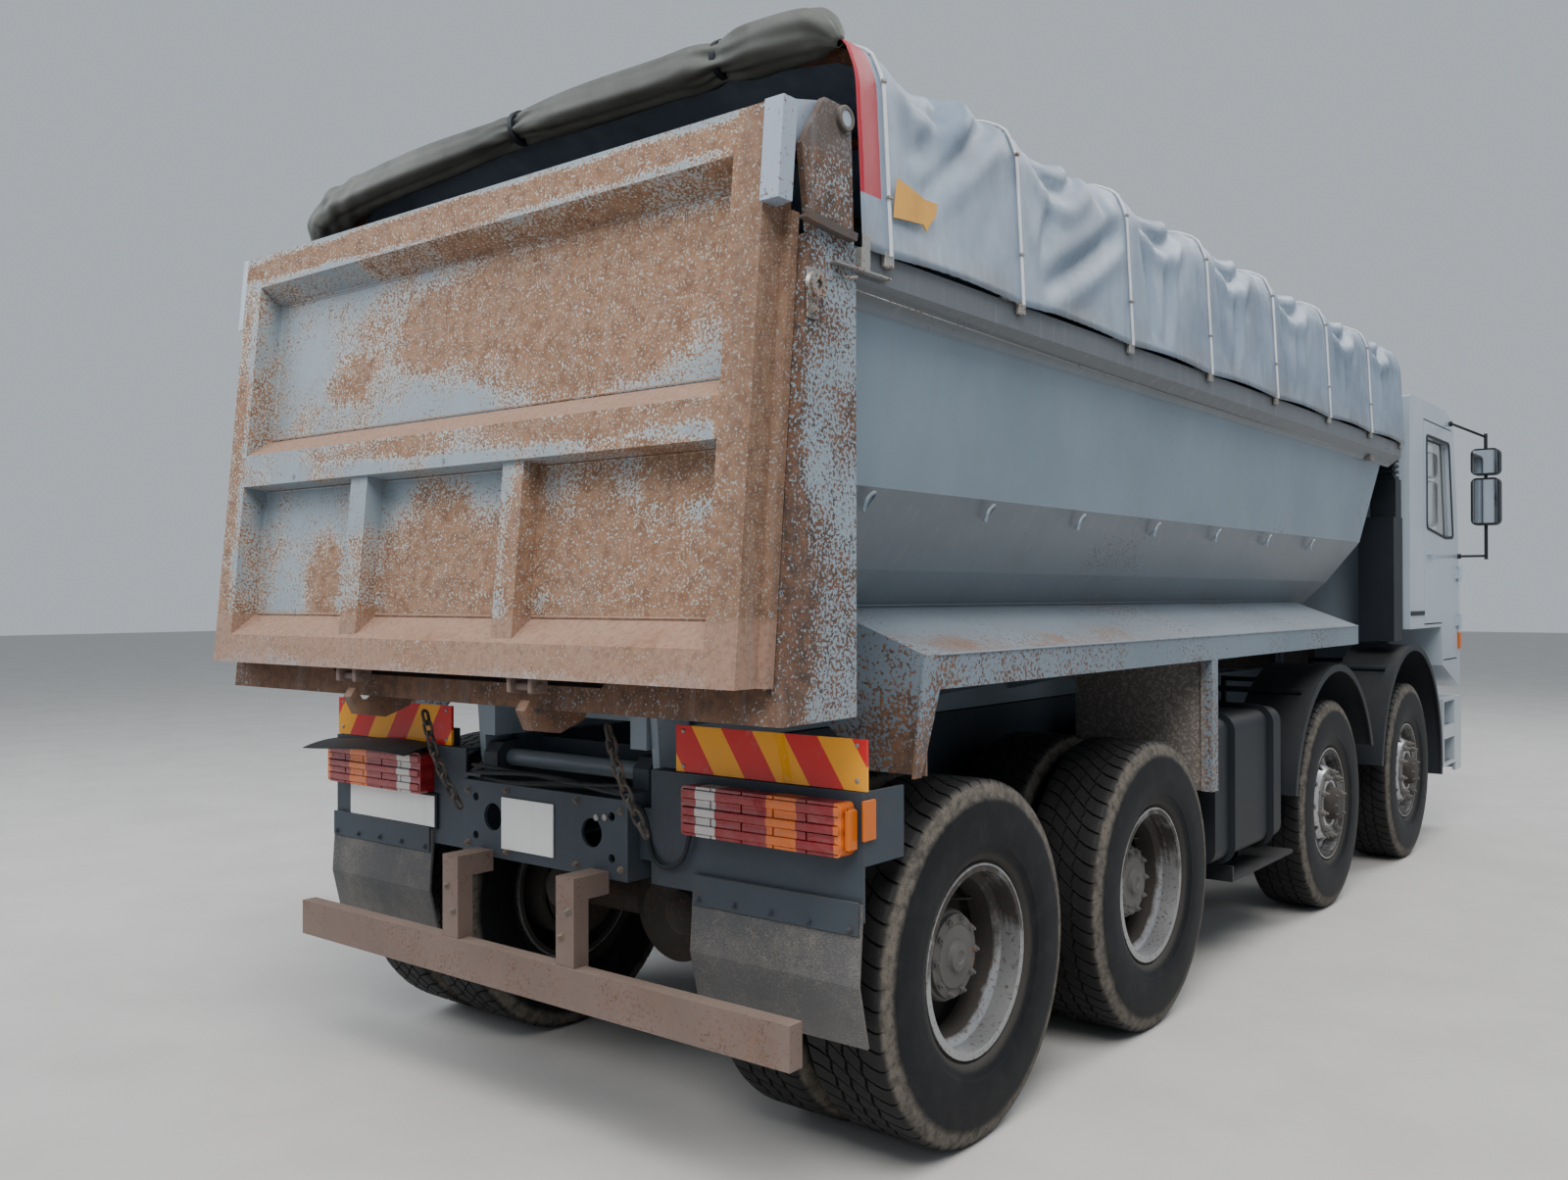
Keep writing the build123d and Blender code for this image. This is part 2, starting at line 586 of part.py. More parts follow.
# Chassis frame: two channel rails, their cross members and the rear springs' centre brackets
def channel(outer_x, width, y, z):
    """A rail of channel section, open towards the truck's middle."""
    bar = block((outer_x - width, outer_x), y, z)
    return bar - block((outer_x - width - PAST, outer_x - RAIL_T), (y[0] - PAST, y[1] + PAST),
                       (z[0] + RAIL_T, z[1] - RAIL_T))


rails = both(channel(RAIL_HALF_W, RAIL_FLANGE, (RAIL_REAR_Y, RAIL_FRONT_Y), (RAIL_BOTTOM_Z, RAIL_TOP)))
for y in CROSS_YS:
    rails += rod_x(CROSS_R, (-RAIL_HALF_W + RAIL_T / 2, RAIL_HALF_W - RAIL_T / 2), y, RAIL_TOP - CROSS_DROP)
rear_beam_z = (RAIL_BOTTOM_Z, RAIL_TOP - 20)
rear_beam = block((-RAIL_HALF_W, RAIL_HALF_W), (RAIL_REAR_Y - REAR_BEAM_T, RAIL_REAR_Y), rear_beam_z)
rear_beam += both(block((RAIL_HALF_W - 60, RAIL_HALF_W), (RAIL_REAR_Y - REAR_BEAM_T, RAIL_REAR_Y + 30),
                        rear_beam_z))
# Holes in the rear cross member: place across, height, radius
REAR_HOLES = ((0.0, 950.0, 34.0), (240.0, 950.0, 46.0), (-240.0, 950.0, 46.0), (330.0, 1010.0, 14.0),
              (-330.0, 1010.0, 14.0), (330.0, 880.0, 14.0), (-330.0, 880.0, 14.0))
for x, z, r in REAR_HOLES:
    rear_beam -= rod_y(r, x, (RAIL_REAR_Y - 60, RAIL_REAR_Y + 5), z)
rails += rear_beam
centre = side_plate([(SPRING_REAR_MID - 220, RAIL_TOP - 60), (SPRING_REAR_MID + 220, RAIL_TOP - 60),
                     (SPRING_REAR_MID + 120, LEAF_LOW - 110), (SPRING_REAR_MID - 120, LEAF_LOW - 110)],
                    (RAIL_HALF_W - 2, RAIL_HALF_W + 12))
centre += rod_x(52, (RAIL_HALF_W - 30, SPRING_X + 60), SPRING_REAR_MID, LEAF_LOW - 92)
rails += both(centre)
# Cab's front pivot brackets and the posts that carry the back of the cab
pivot = side_plate([(CAB_HINGE_Y - 320, CAB_HINGE_Z - 40), (CAB_HINGE_Y - 320, CAB_HINGE_Z + 160),
                    (CAB_HINGE_Y - 150, CAB_HINGE_Z + 160), (CAB_HINGE_Y - 130, CAB_HINGE_Z + 45),
                    (CAB_HINGE_Y + 32, CAB_HINGE_Z + 45), (CAB_HINGE_Y + 32, CAB_HINGE_Z - 40)],
                   (RAIL_HALF_W, RAIL_HALF_W + 40))
pivot -= rod_x(CAB_PIN_R + RUN_FIT, (0, RAIL_HALF_W + 200), CAB_HINGE_Y, CAB_HINGE_Z)
pivot += block((RAIL_HALF_W - 60, RAIL_HALF_W), (CAB_REAR_Y, CAB_REAR_Y + 70),
               (RAIL_TOP, CAB_FLOOR_Z - BODY_GAP))
rails += both(pivot)
keep("chassis_frame", rails)

# Subframe with the tipping bearings and the hoist's cradle
sub = both(block((RAIL_HALF_W - SUBFRAME_W, RAIL_HALF_W), (SUBFRAME_REAR_Y, SUBFRAME_FRONT_Y),
                 (RAIL_TOP, SUBFRAME_TOP)))
sub += both(side_plate([(TIP_PIN_Y - 70, RAIL_TOP), (SUBFRAME_REAR_Y + 60, RAIL_TOP),
                        (SUBFRAME_REAR_Y + 60, SUBFRAME_TOP - 12), (TIP_PIN_Y - 40, SUBFRAME_TOP - 22),
                        (TIP_PIN_Y - 70, TIP_PIN_Z + 20)], (RAIL_HALF_W - SUBFRAME_W, RAIL_HALF_W)))
SUBFRAME_CROSS_YS = (SUBFRAME_REAR_Y + 120, 675.0, 2100.0, 3300.0, HOIST_Y - 340, SUBFRAME_FRONT_Y - 40)
for y in SUBFRAME_CROSS_YS:
    sub += block((-RAIL_HALF_W + 10, RAIL_HALF_W - 10), (y - 40, y + 40),
                 (RAIL_TOP + 10, SUBFRAME_TOP - 14))
cradle = side_plate([(HOIST_Y - 340, RAIL_TOP + 20), (HOIST_Y - 100, TRUNNION_Z - 60),
                     (HOIST_Y + 100, TRUNNION_Z - 60), (SUBFRAME_FRONT_Y - 40, RAIL_TOP + 20),
                     (SUBFRAME_FRONT_Y - 40, SUBFRAME_TOP - 20), (HOIST_Y - 340, SUBFRAME_TOP - 20)],
                    CRADLE_X)
sub += both(cradle)
sub -= rod_x(TIP_PIN_R + RUN_FIT, (-RAIL_HALF_W - 50, RAIL_HALF_W + 50), TIP_PIN_Y, TIP_PIN_Z)
sub -= rod_x(TRUNNION_R + RUN_FIT, (-CRADLE_X[1] - 50, CRADLE_X[1] + 50), HOIST_Y, TRUNNION_Z)
keep("subframe", sub)

# Engine with its gearbox, as one block on its feet
engine = block((-ENGINE_HALF_W, ENGINE_HALF_W), ENGINE_Y, ENGINE_Z)
engine += block((-GEARBOX_HALF_W, GEARBOX_HALF_W), (GEARBOX_REAR_Y, ENGINE_Y[0] + 20), GEARBOX_Z)
for foot_x, foot_y in ((ENGINE_HALF_W - 10, ENGINE_Y[1] - 350), (GEARBOX_HALF_W - 10, ENGINE_Y[0] - 120)):
    engine += both(block((foot_x, RAIL_HALF_W - 6), (foot_y - 45, foot_y + 45), (RAIL_TOP, RAIL_TOP + 24)))
keep("engine_block", engine)

# Side tank and box with their brackets to the frame, and the step below each
tank = block(TANK_X, TANK_Y, TANK_Z)
tank = fillet(tank.edges().filter_by(Axis.Y), TANK_R)
for y in (TANK_Y[0] + 180, TANK_Y[1] - 180):
    tank += block((RAIL_HALF_W, TANK_X[0] + 20), (y - 40, y + 40), (RAIL_BOTTOM_Z + 20, RAIL_TOP - 30))
    tank += block((TANK_X[0] + TANK_R, TANK_X[1] - TANK_R), (y - 30, y + 30), (TANK_Z[0] - 8, TANK_Z[0] + 4))
step = block(TANK_STEP_X, TANK_STEP_Y, (TANK_STEP_Z, TANK_STEP_Z + STEP_T))
step += block(TANK_STEP_X, (TANK_STEP_Y[0], TANK_STEP_Y[0] + STEP_T), (TANK_STEP_Z, TANK_STEP_Z + 70))
for y in (TANK_STEP_Y[0] + 230, TANK_STEP_Y[0] + 530):
    step += block((TANK_STEP_X[0] + 100, TANK_STEP_X[0] + 140), (y - 30, y + 30),
                  (TANK_STEP_Z + 10, TANK_Z[0] - 8))
keep("side_tanks", both(tank + step))


# Mudguards over the steered wheels: bands round each wheel on tubes from the frame
def mudguard(y, r, first, last):
    """A band round a wheel between two angles, with a lip along its outer edge."""
    span = last - first
    outer = CenterArc((y, TYRE_R), r + MUDGUARD_T, first, span)
    shape = Part()
    for inner_r, x in ((r, MUDGUARD_X), (r - MUDGUARD_LIP, (MUDGUARD_X[1] - MUDGUARD_T, MUDGUARD_X[1]))):
        inner = CenterArc((y, TYRE_R), inner_r, first, span)
        face = make_face([inner, outer, Line(inner @ 0, outer @ 0), Line(inner @ 1, outer @ 1)])
        shape += extrude(Plane.YZ.offset(x[0]) * face, x[1] - x[0], dir=(1, 0, 0))
    return shape


guards = Part()
for y, r, first, last in MUDGUARDS:
    guards += mudguard(y, r, first, last)
    for angle in STAY_ANGLES:
        stay_r = r + MUDGUARD_T + 14
        at_y = y + stay_r * cos(radians(angle))
        at_z = TYRE_R + stay_r * sin(radians(angle))
        foot_x = RAIL_HALF_W + 40
        guards += strut(STAY_R, (MUDGUARD_X[1] - 60, at_y, at_z), (foot_x, at_y, at_z))
        guards += strut(STAY_R, (foot_x, at_y, at_z + STAY_R), (foot_x, at_y, RAIL_TOP - 60))
        guards += block((RAIL_HALF_W, foot_x), (at_y - 30, at_y + 30), (RAIL_TOP - 90, RAIL_TOP - 30))
keep("front_mudguards", both(guards))

# Rear lamp panels: plate, top flange, outer side, foot on the rail and the board's backing strip
panel = block(PANEL_X, (PANEL_Y, PANEL_Y + PANEL_T), PANEL_Z)
panel += block(PANEL_X, (PANEL_Y, PANEL_Y + 60), (PANEL_Z[1] - PANEL_T, PANEL_Z[1]))
panel += block((PANEL_X[1] - PANEL_T, PANEL_X[1]), (PANEL_Y, PANEL_Y + 200), (PANEL_Z[1] - 200, PANEL_Z[1]))
panel += block((RAIL_HALF_W, PANEL_X[0] + 40), (PANEL_Y, PANEL_Y + 60), (PANEL_Z[0] + 70, PANEL_Z[0] + 230))
panel += block((BOARD_X[0] + 15, BOARD_X[1] - 45), (PANEL_Y + 20, PANEL_Y + 60),
               (PANEL_Z[1], PANEL_Z[1] + 60))
keep("lamp_panels", both(panel))
lamp = block(LAMP_X, (PANEL_Y - LAMP_T, PANEL_Y), LAMP_Z)
lamp = fillet(lamp.edges().filter_by(Axis.Y), 14)
for i in range(1, LENSES):
    x = LAMP_X[0] + (LAMP_X[1] - LAMP_X[0]) / LENSES * i
    lamp -= block((x - 3, x + 3), (PANEL_Y - LAMP_T - PAST, PANEL_Y - LAMP_T + 8), LAMP_Z)
board = block(BOARD_X, (PANEL_Y + 10, PANEL_Y + 20), (PANEL_Z[1] + 2, PANEL_Z[1] + 2 + BOARD_H))
keep("reflector_boards", both(board))
flap_top = PANEL_Z[0] + 2
flap = side_plate([(PANEL_Y - 2, flap_top), (PANEL_Y - 10, flap_top), (PANEL_Y - 22, FLAP_LOW_Z + 175),
                   (PANEL_Y + 20, FLAP_LOW_Z), (PANEL_Y + 28, FLAP_LOW_Z + 3),
                   (PANEL_Y - 14, FLAP_LOW_Z + 177), (PANEL_Y, flap_top)], FLAP_X)
flap += block(FLAP_X, (PANEL_Y - 10, PANEL_Y), (flap_top, flap_top + 48))
keep("mud_flaps", both(flap))

# Underrun bar on two uprights from the rear cross member
bar = block((0, UNDERRUN_HALF_W), (UNDERRUN_Y, UNDERRUN_Y + UNDERRUN_DEPTH), UNDERRUN_Z)
bar -= block((-PAST, UNDERRUN_HALF_W - UNDERRUN_WALL),
             (UNDERRUN_Y + UNDERRUN_WALL, UNDERRUN_Y + UNDERRUN_DEPTH + PAST),
             (UNDERRUN_Z[0] + UNDERRUN_WALL, UNDERRUN_Z[1] - UNDERRUN_WALL))
upright = block(UPRIGHT_X, (UNDERRUN_Y + UNDERRUN_WALL, UNDERRUN_Y + 66),
                (UNDERRUN_Z[0] + UNDERRUN_WALL, UPRIGHT_TOP_Z))
upright += block(UPRIGHT_X, (UNDERRUN_Y + 40, RAIL_REAR_Y - REAR_BEAM_T),
                 (UPRIGHT_TOP_Z - 70, UPRIGHT_TOP_Z))
keep("underrun_bar", both(bar + upright))

# Front bumper with the entry steps behind each corner
bumper_back = FRONT_Y - BUMPER_DEPTH
bumper = block((-CAB_HALF_W, CAB_HALF_W), (bumper_back, FRONT_Y), BUMPER_Z)
bumper -= block((-CAB_HALF_W + BUMPER_T, CAB_HALF_W - BUMPER_T), (bumper_back - PAST, FRONT_Y - BUMPER_T),
                (BUMPER_Z[0] - PAST, BUMPER_Z[1] - BUMPER_T))
bumper -= both(block(HINGE_SLOT_X, (bumper_back - PAST, FRONT_Y + PAST),
                     (CAB_HINGE_Z - 60, BUMPER_Z[1] + PAST)))
bumper -= block((-PLATE_HALF_W, PLATE_HALF_W), (FRONT_Y - 30, FRONT_Y + PAST), PLATE_Z)
bumper += both(block((RAIL_HALF_W - 60, RAIL_HALF_W), (RAIL_FRONT_Y - 160, FRONT_Y - 10),
                     (RAIL_BOTTOM_Z - 60, RAIL_BOTTOM_Z)))
bumper -= both(block(HEAD_X, (FRONT_Y - 60, FRONT_Y + PAST), HEAD_Z))
well = block((CAB_HALF_W - STEP_W, CAB_HALF_W), (STEP_REAR_Y, bumper_back), (BUMPER_Z[0] + 60, BUMPER_Z[1]))
for z in (BUMPER_Z[0] + 80, BUMPER_Z[0] + 340):
    well -= block((CAB_HALF_W - STEP_W + 80, CAB_HALF_W + PAST), (STEP_REAR_Y + 30, bumper_back - 30),
                  (z, z + STEP_H))
bumper += both(well)
keep("bumper_and_steps", bumper)
head = block((HEAD_X[0] + SEAT_GAP, HEAD_X[1] - SEAT_GAP), (FRONT_Y - 90, FRONT_Y - 8),
             (HEAD_Z[0] + SEAT_GAP, HEAD_Z[1] - SEAT_GAP))
keep("lamps", both(lamp + head))


# Air intake column behind the cab: duct, neck, finned cap and bracket
def upright_box(half_x, half_y, low, high):
    """A box of the intake column about the column's own middle."""
    return block((INTAKE_X - half_x, INTAKE_X + half_x), (INTAKE_Y - half_y, INTAKE_Y + half_y), (low, high))


intake = block((DUCT_IN_X, INTAKE_X + 75), (INTAKE_Y - 120, INTAKE_Y + 100), (INTAKE_LOW_Z, DUCT_TOP_Z))
for half_x, half_y, low, high in INTAKE_STACK:
    intake += upright_box(half_x, half_y, low, high)
for i in range(INTAKE_FINS):
    z = FIN_LOW_Z + FIN_PITCH * i
    intake += upright_box(65, 60, z, z + FIN_T)
bracket_y, bracket_top = (INTAKE_Y - 50, INTAKE_Y + 30), INTAKE_LOW_Z + 40
intake += block((RAIL_HALF_W, DUCT_IN_X + 20), bracket_y, (INTAKE_LOW_Z, bracket_top))
intake += block((RAIL_HALF_W, RAIL_HALF_W + 40), bracket_y, (RAIL_TOP - 90, bracket_top))
keep("air_intake", intake)


# Tipping body
def hull_outline(inset):
    """Right half of the hull's section, moved inwards by the wall."""
    (x0, z0), (x1, z1), (x2, z2), (x3, z3) = HULL_FOLDS
    return [(x0 - inset * 0.6, z0 + inset), (x1 - inset, z1 + inset * 0.7), (x2 - inset, z2 + inset * 0.3),
            (x3 - inset, z3)]


def hull_bar(inset, y):
    """The whole hull's section as a solid bar between two places along."""
    return cross_plate(mirrored(hull_outline(inset)), y)


HULL_CUT_Y = 5600.0


def ahead_of_wall(offset):
    """Everything in front of a plane parallel to the leaning front wall."""
    low, high = FLOOR_Z - 230.0, TARP_TOP_Z
    return side_plate([(front_wall_y(low) + offset, low), (HULL_CUT_Y, low), (HULL_CUT_Y, high),
                       (front_wall_y(high) + offset, high)], (-BODY_HALF_W - 200, BODY_HALF_W + 200))


hull = hull_bar(0, (FRAME_FRONT_Y, HULL_CUT_Y))
hull -= hull_bar(WALL_T, (FRAME_FRONT_Y - PAST, HULL_CUT_Y + PAST))
hull -= ahead_of_wall(0)
wall_top = HULL_FOLDS[3][1]
rail_in = BODY_HALF_W - TOP_RAIL_W
rail_face = [(HULL_FOLDS[3][0], wall_top - 8), (BODY_HALF_W, RAIL_TOP_Z - TOP_RAIL_H),
             (BODY_HALF_W, RAIL_TOP_Z), (rail_in, RAIL_TOP_Z), (rail_in, wall_top)]
top_rail = cross_plate(rail_face, (FRAME_FRONT_Y, CANOPY_FRONT_Y))
hull += both(top_rail)
header = block((-rail_in - PAST, rail_in + PAST), (CANOPY_FRONT_Y - 220, CANOPY_FRONT_Y),
               (RAIL_TOP_Z - 70, RAIL_TOP_Z))
hull += header & ahead_of_wall(FRONT_WALL_T)
long_beam = block((RAIL_HALF_W - BEAM_W, RAIL_HALF_W), (TIP_PIN_Y - 80, BEAM_FRONT_Y), (BEAM_LOW, FLOOR_Z))
hull += both(long_beam)
for y in BEAM_CROSS_YS:
    hull += cross_plate(mirrored([(RAIL_HALF_W - 10, BEAM_LOW + 60), (HULL_FOLDS[0][0] - 10, FLOOR_Z - 90),
                                  (HULL_FOLDS[0][0], FLOOR_Z)]), (y - 30, y + 30))
LUG_X = (RAIL_HALF_W + BODY_GAP, RAIL_HALF_W + BODY_GAP + 30)
lug = side_plate([(TIP_PIN_Y - 55, TIP_PIN_Z), (TIP_PIN_Y - 40, TIP_PIN_Z - 40), (TIP_PIN_Y, TIP_PIN_Z - 52),
                  (TIP_PIN_Y + 40, TIP_PIN_Z - 40), (TIP_PIN_Y + 55, TIP_PIN_Z), (TIP_PIN_Y + 90, FLOOR_Z),
                  (TIP_PIN_Y - 80, FLOOR_Z)], LUG_X)
lug += block((RAIL_HALF_W - 10, LUG_X[1]), (TIP_PIN_Y - 70, TIP_PIN_Y + 80), (FLOOR_Z - 60, FLOOR_Z))
hull += both(lug)
hull += rod_x(TIP_PIN_R, (-LUG_X[1], LUG_X[1]), TIP_PIN_Y, TIP_PIN_Z)

# Front wall with its ribs and the lugs for the hoist's eye
wall_face = hull_outline(0) + [(rail_in - PAST, wall_top), (rail_in - PAST, RAIL_TOP_Z)]
wall = cross_plate(mirrored(wall_face), (FRONT_WALL_Y - 444, HULL_CUT_Y))
wall &= ahead_of_wall(0) - ahead_of_wall(FRONT_WALL_T)
wall -= both(top_rail)
lug_out = EYE_HALF_W + EYE_SIDE_GAP
wall_lug = side_plate([(front_wall_y(EYE_Z - 160) + 8, EYE_Z - 160), (HOIST_Y + 20, EYE_Z - 40),
                       (HOIST_Y + 50, EYE_Z), (HOIST_Y + 20, EYE_Z + 46),
                       (front_wall_y(EYE_Z + 150) + 8, EYE_Z + 150)], (lug_out, lug_out + 20))
wall_lug -= rod_x(EYE_BORE_R + 2, (0, 200), HOIST_Y, EYE_Z)
wall += both(wall_lug)
RIB_LOW_Z, RIB_HIGH_Z = FRONT_WALL_Z + 25.0, RAIL_TOP_Z - 140.0
for x in (420.0, 840.0):
    rib = side_plate([(front_wall_y(RIB_LOW_Z) + 6, RIB_LOW_Z),
                      (front_wall_y(RIB_LOW_Z + 20) + 70, RIB_LOW_Z + 40),
                      (front_wall_y(RIB_HIGH_Z - 30) + 70, RIB_HIGH_Z - 30),
                      (front_wall_y(RIB_HIGH_Z) + 6, RIB_HIGH_Z)], (x - 25, x + 25))
    wall += both(rib)
keep("front_wall", wall)

# Rear frame: pillars, sill, corner plates, hinge plates and the latch claws
frame_side = [(SILL_Y, SILL_Z), (FRAME_FRONT_Y, SILL_Z + 4), (FRAME_FRONT_Y, FRAME_TOP_Z),
              (gate_face_y(FRAME_TOP_Z), FRAME_TOP_Z)]
rear_frame = side_plate(frame_side, (-BODY_HALF_W, BODY_HALF_W))
clear_x = HULL_FOLDS[3][0] - WALL_T - 10
opening = [(HULL_FOLDS[0][0] - 60, FLOOR_Z + WALL_T), (HULL_FOLDS[1][0] - WALL_T, HULL_FOLDS[1][1] + 4),
           (HULL_FOLDS[2][0] - WALL_T, HULL_FOLDS[2][1]), (clear_x, wall_top), (clear_x, FRAME_TOP_Z + 10)]
rear_frame -= cross_plate(mirrored(opening), (SILL_Y - 20, FRAME_FRONT_Y + 20))
hinge_plate = [(gate_face_y(FRAME_TOP_Z) + 10, FRAME_TOP_Z), (FRAME_FRONT_Y, FRAME_TOP_Z),
               (GATE_HINGE_Y + 47, FRAME_TOP_Z), (GATE_HINGE_Y + 34, GATE_HINGE_Z + 35),
               (GATE_HINGE_Y - 80, GATE_HINGE_Z + 35), (GATE_HINGE_Y - 176, GATE_HINGE_Z - 105)]
rear_frame += both(side_plate(hinge_plate, PLATE_X))
rear_frame -= rod_x(GATE_PIN_R + RUN_FIT, (-BODY_HALF_W - 50, BODY_HALF_W + 50), GATE_HINGE_Y, GATE_HINGE_Z)
claw = [(SILL_Y - 73, SILL_Z + 31), (SILL_Y - 93, SILL_Z + 3), (SILL_Y - 63, SILL_Z - 54),
        (SILL_Y + 37, SILL_Z - 69), (SILL_Y + 127, SILL_Z - 39), (SILL_Y + 157, SILL_Z + 2),
        (SILL_Y + 7, SILL_Z + 2), (SILL_Y - 18, SILL_Z - 17), (SILL_Y - 48, SILL_Z - 7)]
rear_frame += both(side_plate(claw, CLAW_X))
keep("rear_frame", rear_frame)

# Wheel guards along the hull: sloped shelf, lip, rear closing plate, post and stone guard
shelf = [(SHELF_IN_X, SHELF_IN_Z), (SHELF_OUT_X, SHELF_OUT_Z), (SHELF_OUT_X, SHELF_LIP_Z),
         (SHELF_OUT_X - SHELF_T, SHELF_LIP_Z), (SHELF_OUT_X - SHELF_T, SHELF_OUT_Z - 6),
         (SHELF_IN_X, SHELF_IN_Z - 9.4)]
wheel_guard = cross_plate(shelf, GUARD_Y)
closing = [(SHELF_IN_X - 110, SHELF_OUT_Z - 30), (SHELF_IN_X + 30, SHELF_IN_Z - 11.4),
           (SHELF_OUT_X, SHELF_OUT_Z), (SHELF_OUT_X, GUARD_LEG_Z + 1), (SHELF_OUT_X - 195, GUARD_LEG_Z + 1),
           (SHELF_IN_X - 110, SHELF_OUT_Z - 100)]
wheel_guard += cross_plate(closing, (GUARD_Y[0] - SHELF_T, GUARD_Y[0]))
leg = [(GUARD_Y[0] - SHELF_T, SHELF_OUT_Z), (GUARD_Y[0] + 110, SHELF_OUT_Z - 40),
       (GUARD_Y[0] + 70, SHELF_LIP_Z), (GUARD_Y[0] - 30, GUARD_LEG_Z - 1), (GUARD_Y[0] - 70, GUARD_LEG_Z - 1)]
wheel_guard += side_plate(leg, (SHELF_OUT_X - SHELF_T, SHELF_OUT_X))
wheel_guard += block((SHELF_OUT_X - 50, SHELF_OUT_X), POST_Y, (POST_LOW_Z, SHELF_LIP_Z + 12))
stone_guard = [(RAIL_HALF_W + 220, POST_LOW_Z), (SHELF_OUT_X - 45, POST_LOW_Z),
               (SHELF_OUT_X - 45, SHELF_OUT_Z), (SHELF_OUT_X - 275, SHELF_OUT_Z + 80),
               (RAIL_HALF_W + 220, FLOOR_Z)]
wheel_guard += cross_plate(stone_guard, (POST_Y[0] + 20, POST_Y[0] + 20 + SHELF_T))
front_closing = [(SHELF_IN_X + 23, SHELF_IN_Z - 19.4), (SHELF_OUT_X - 5, SHELF_OUT_Z - 9),
                 (SHELF_OUT_X - 5, SHELF_LIP_Z + 7), (SHELF_IN_X + 23, SHELF_IN_Z - 106.4)]
wheel_guard += cross_plate(front_closing, (GUARD_Y[1] - SHELF_T, GUARD_Y[1]))
wheel_guard -= hull_bar(0, (GUARD_Y[0] - 80, GUARD_Y[1] + 80))
keep("wheel_guards", both(wheel_guard))


# Tarpaulin on its hoops
def arch(inset, y, sag=0.0):
    """Face of the tarpaulin's section at a place along, moved inwards and let down by a sag."""
    half = [(TARP_HALF_W - inset, RAIL_TOP_Z)]
    for inward, down, pull, drop in ARCH_FOLDS:
        half.append((TARP_HALF_W - inset - inward - pull * sag, TARP_TOP_Z - inset - down - drop * sag))
    path = half + [(0, TARP_TOP_Z - inset - sag)] + [(-x, z) for x, z in reversed(half)]
    return Plane.XZ.offset(-y) * make_face(Polyline(*path, path[0]))


def arch_bar(inset, y):
    """The section without sag as a solid bar between two places along."""
    return extrude(arch(inset, y[0]), y[1] - y[0], dir=(0, 1, 0))


def sheeted(inset, past):
    """The whole covered space: level over each hoop and let down in every bay."""
    shape = arch_bar(inset, (TARP_REAR_Y - past, HOOP_YS[0] + HOOP_W / 2))
    for rear, front in zip(HOOP_YS, HOOP_YS[1:]):
        low, high = rear + HOOP_W / 2, front - HOOP_W / 2
        shape += loft([arch(inset, low + share * (high - low), sag) for share, sag in SAG_STEPS], ruled=True)
        end = TARP_FRONT_Y + past if front == HOOP_YS[-1] else front + HOOP_W / 2
        shape += arch_bar(inset, (high, end))
    return shape


tarp = sheeted(0, 0) - sheeted(TARP_T, PAST)
# The cloth's rear end, gathered into a roll behind the first hoop
roll_y = (TARP_REAR_Y, HOOP_YS[0] - HOOP_W / 2 - SEAT_GAP)
roll_cut_y = (roll_y[0] - PAST, roll_y[1] + PAST)
roll = arch_bar(TARP_T, roll_y) - arch_bar(TARP_T + ROLL_T, roll_cut_y)
roll -= block((-TARP_HALF_W, TARP_HALF_W), roll_cut_y, (RAIL_TOP_Z - PAST, ROLL_LOW_Z))
keep("tarpaulin", tarp + roll)
hoop_bars = Part()
for y in HOOP_YS:
    span = (y - HOOP_W / 2, y + HOOP_W / 2)
    hoop = arch_bar(TARP_T + SEAT_GAP, span)
    hoop_bars += hoop - arch_bar(TARP_T + SEAT_GAP + HOOP_T, (span[0] - PAST, span[1] + PAST))
keep("tarp_hoops", hoop_bars)

# Headboard that closes the front of the sheeted space, one piece with the hull
keep("tipper_hull", hull + arch_bar(TARP_T + SEAT_GAP, (CANOPY_FRONT_Y - HEADBOARD_T, CANOPY_FRONT_Y)))


# Tailgate: a stiffened panel in a box-section surround
def gate_slab(x, z, depth, back=0.0):
    """A leaning slab of the tailgate: between two places across, two heights and two depths."""
    y = [gate_face_y(h) - GATE_GAP for h in z]
    return side_plate([(y[0] - back, z[0]), (y[1] - back, z[1]), (y[1] - depth, z[1]),
                       (y[0] - depth, z[0])], x)


def tapered_rail(z, slope_low, slope_high, x):
    """A crosswise box rail whose lower and upper sides slope in to the panel."""
    y = [gate_face_y(h) - GATE_GAP for h in z]
    low, high = z
    return side_plate([(y[0] - 20, low - slope_low), (y[0] - GATE_DEPTH, low), (y[1] - GATE_DEPTH, high),
                       (y[1] - 20, high + slope_high)], x)


gate = gate_slab((-GATE_HALF_W, GATE_HALF_W), (GATE_LOW_Z, GATE_TOP_Z), GATE_SKIN)
gate += gate_slab((-GATE_FLANGE_HALF_W, GATE_FLANGE_HALF_W), (GATE_LOW_Z, WRAP_LOW_Z - GATE_GAP), GATE_SKIN)
gate += both(gate_slab((GATE_HALF_W - GATE_SIDE_W, GATE_HALF_W), (GATE_LOW_Z, GATE_TOP_Z), GATE_DEPTH))
for low, high, slope_low, slope_high in GATE_RAILS:
    gate += tapered_rail((low, high), slope_low, slope_high, (-GATE_HALF_W, GATE_HALF_W))
for x in GATE_RIB_XS:
    rib_x = (x - GATE_RIB_W / 2, x + GATE_RIB_W / 2)
    gate += gate_slab(rib_x, (GATE_LOW_Z + 36, GATE_MID_Z + 40), GATE_DEPTH - 14)
keep("tailgate", gate)

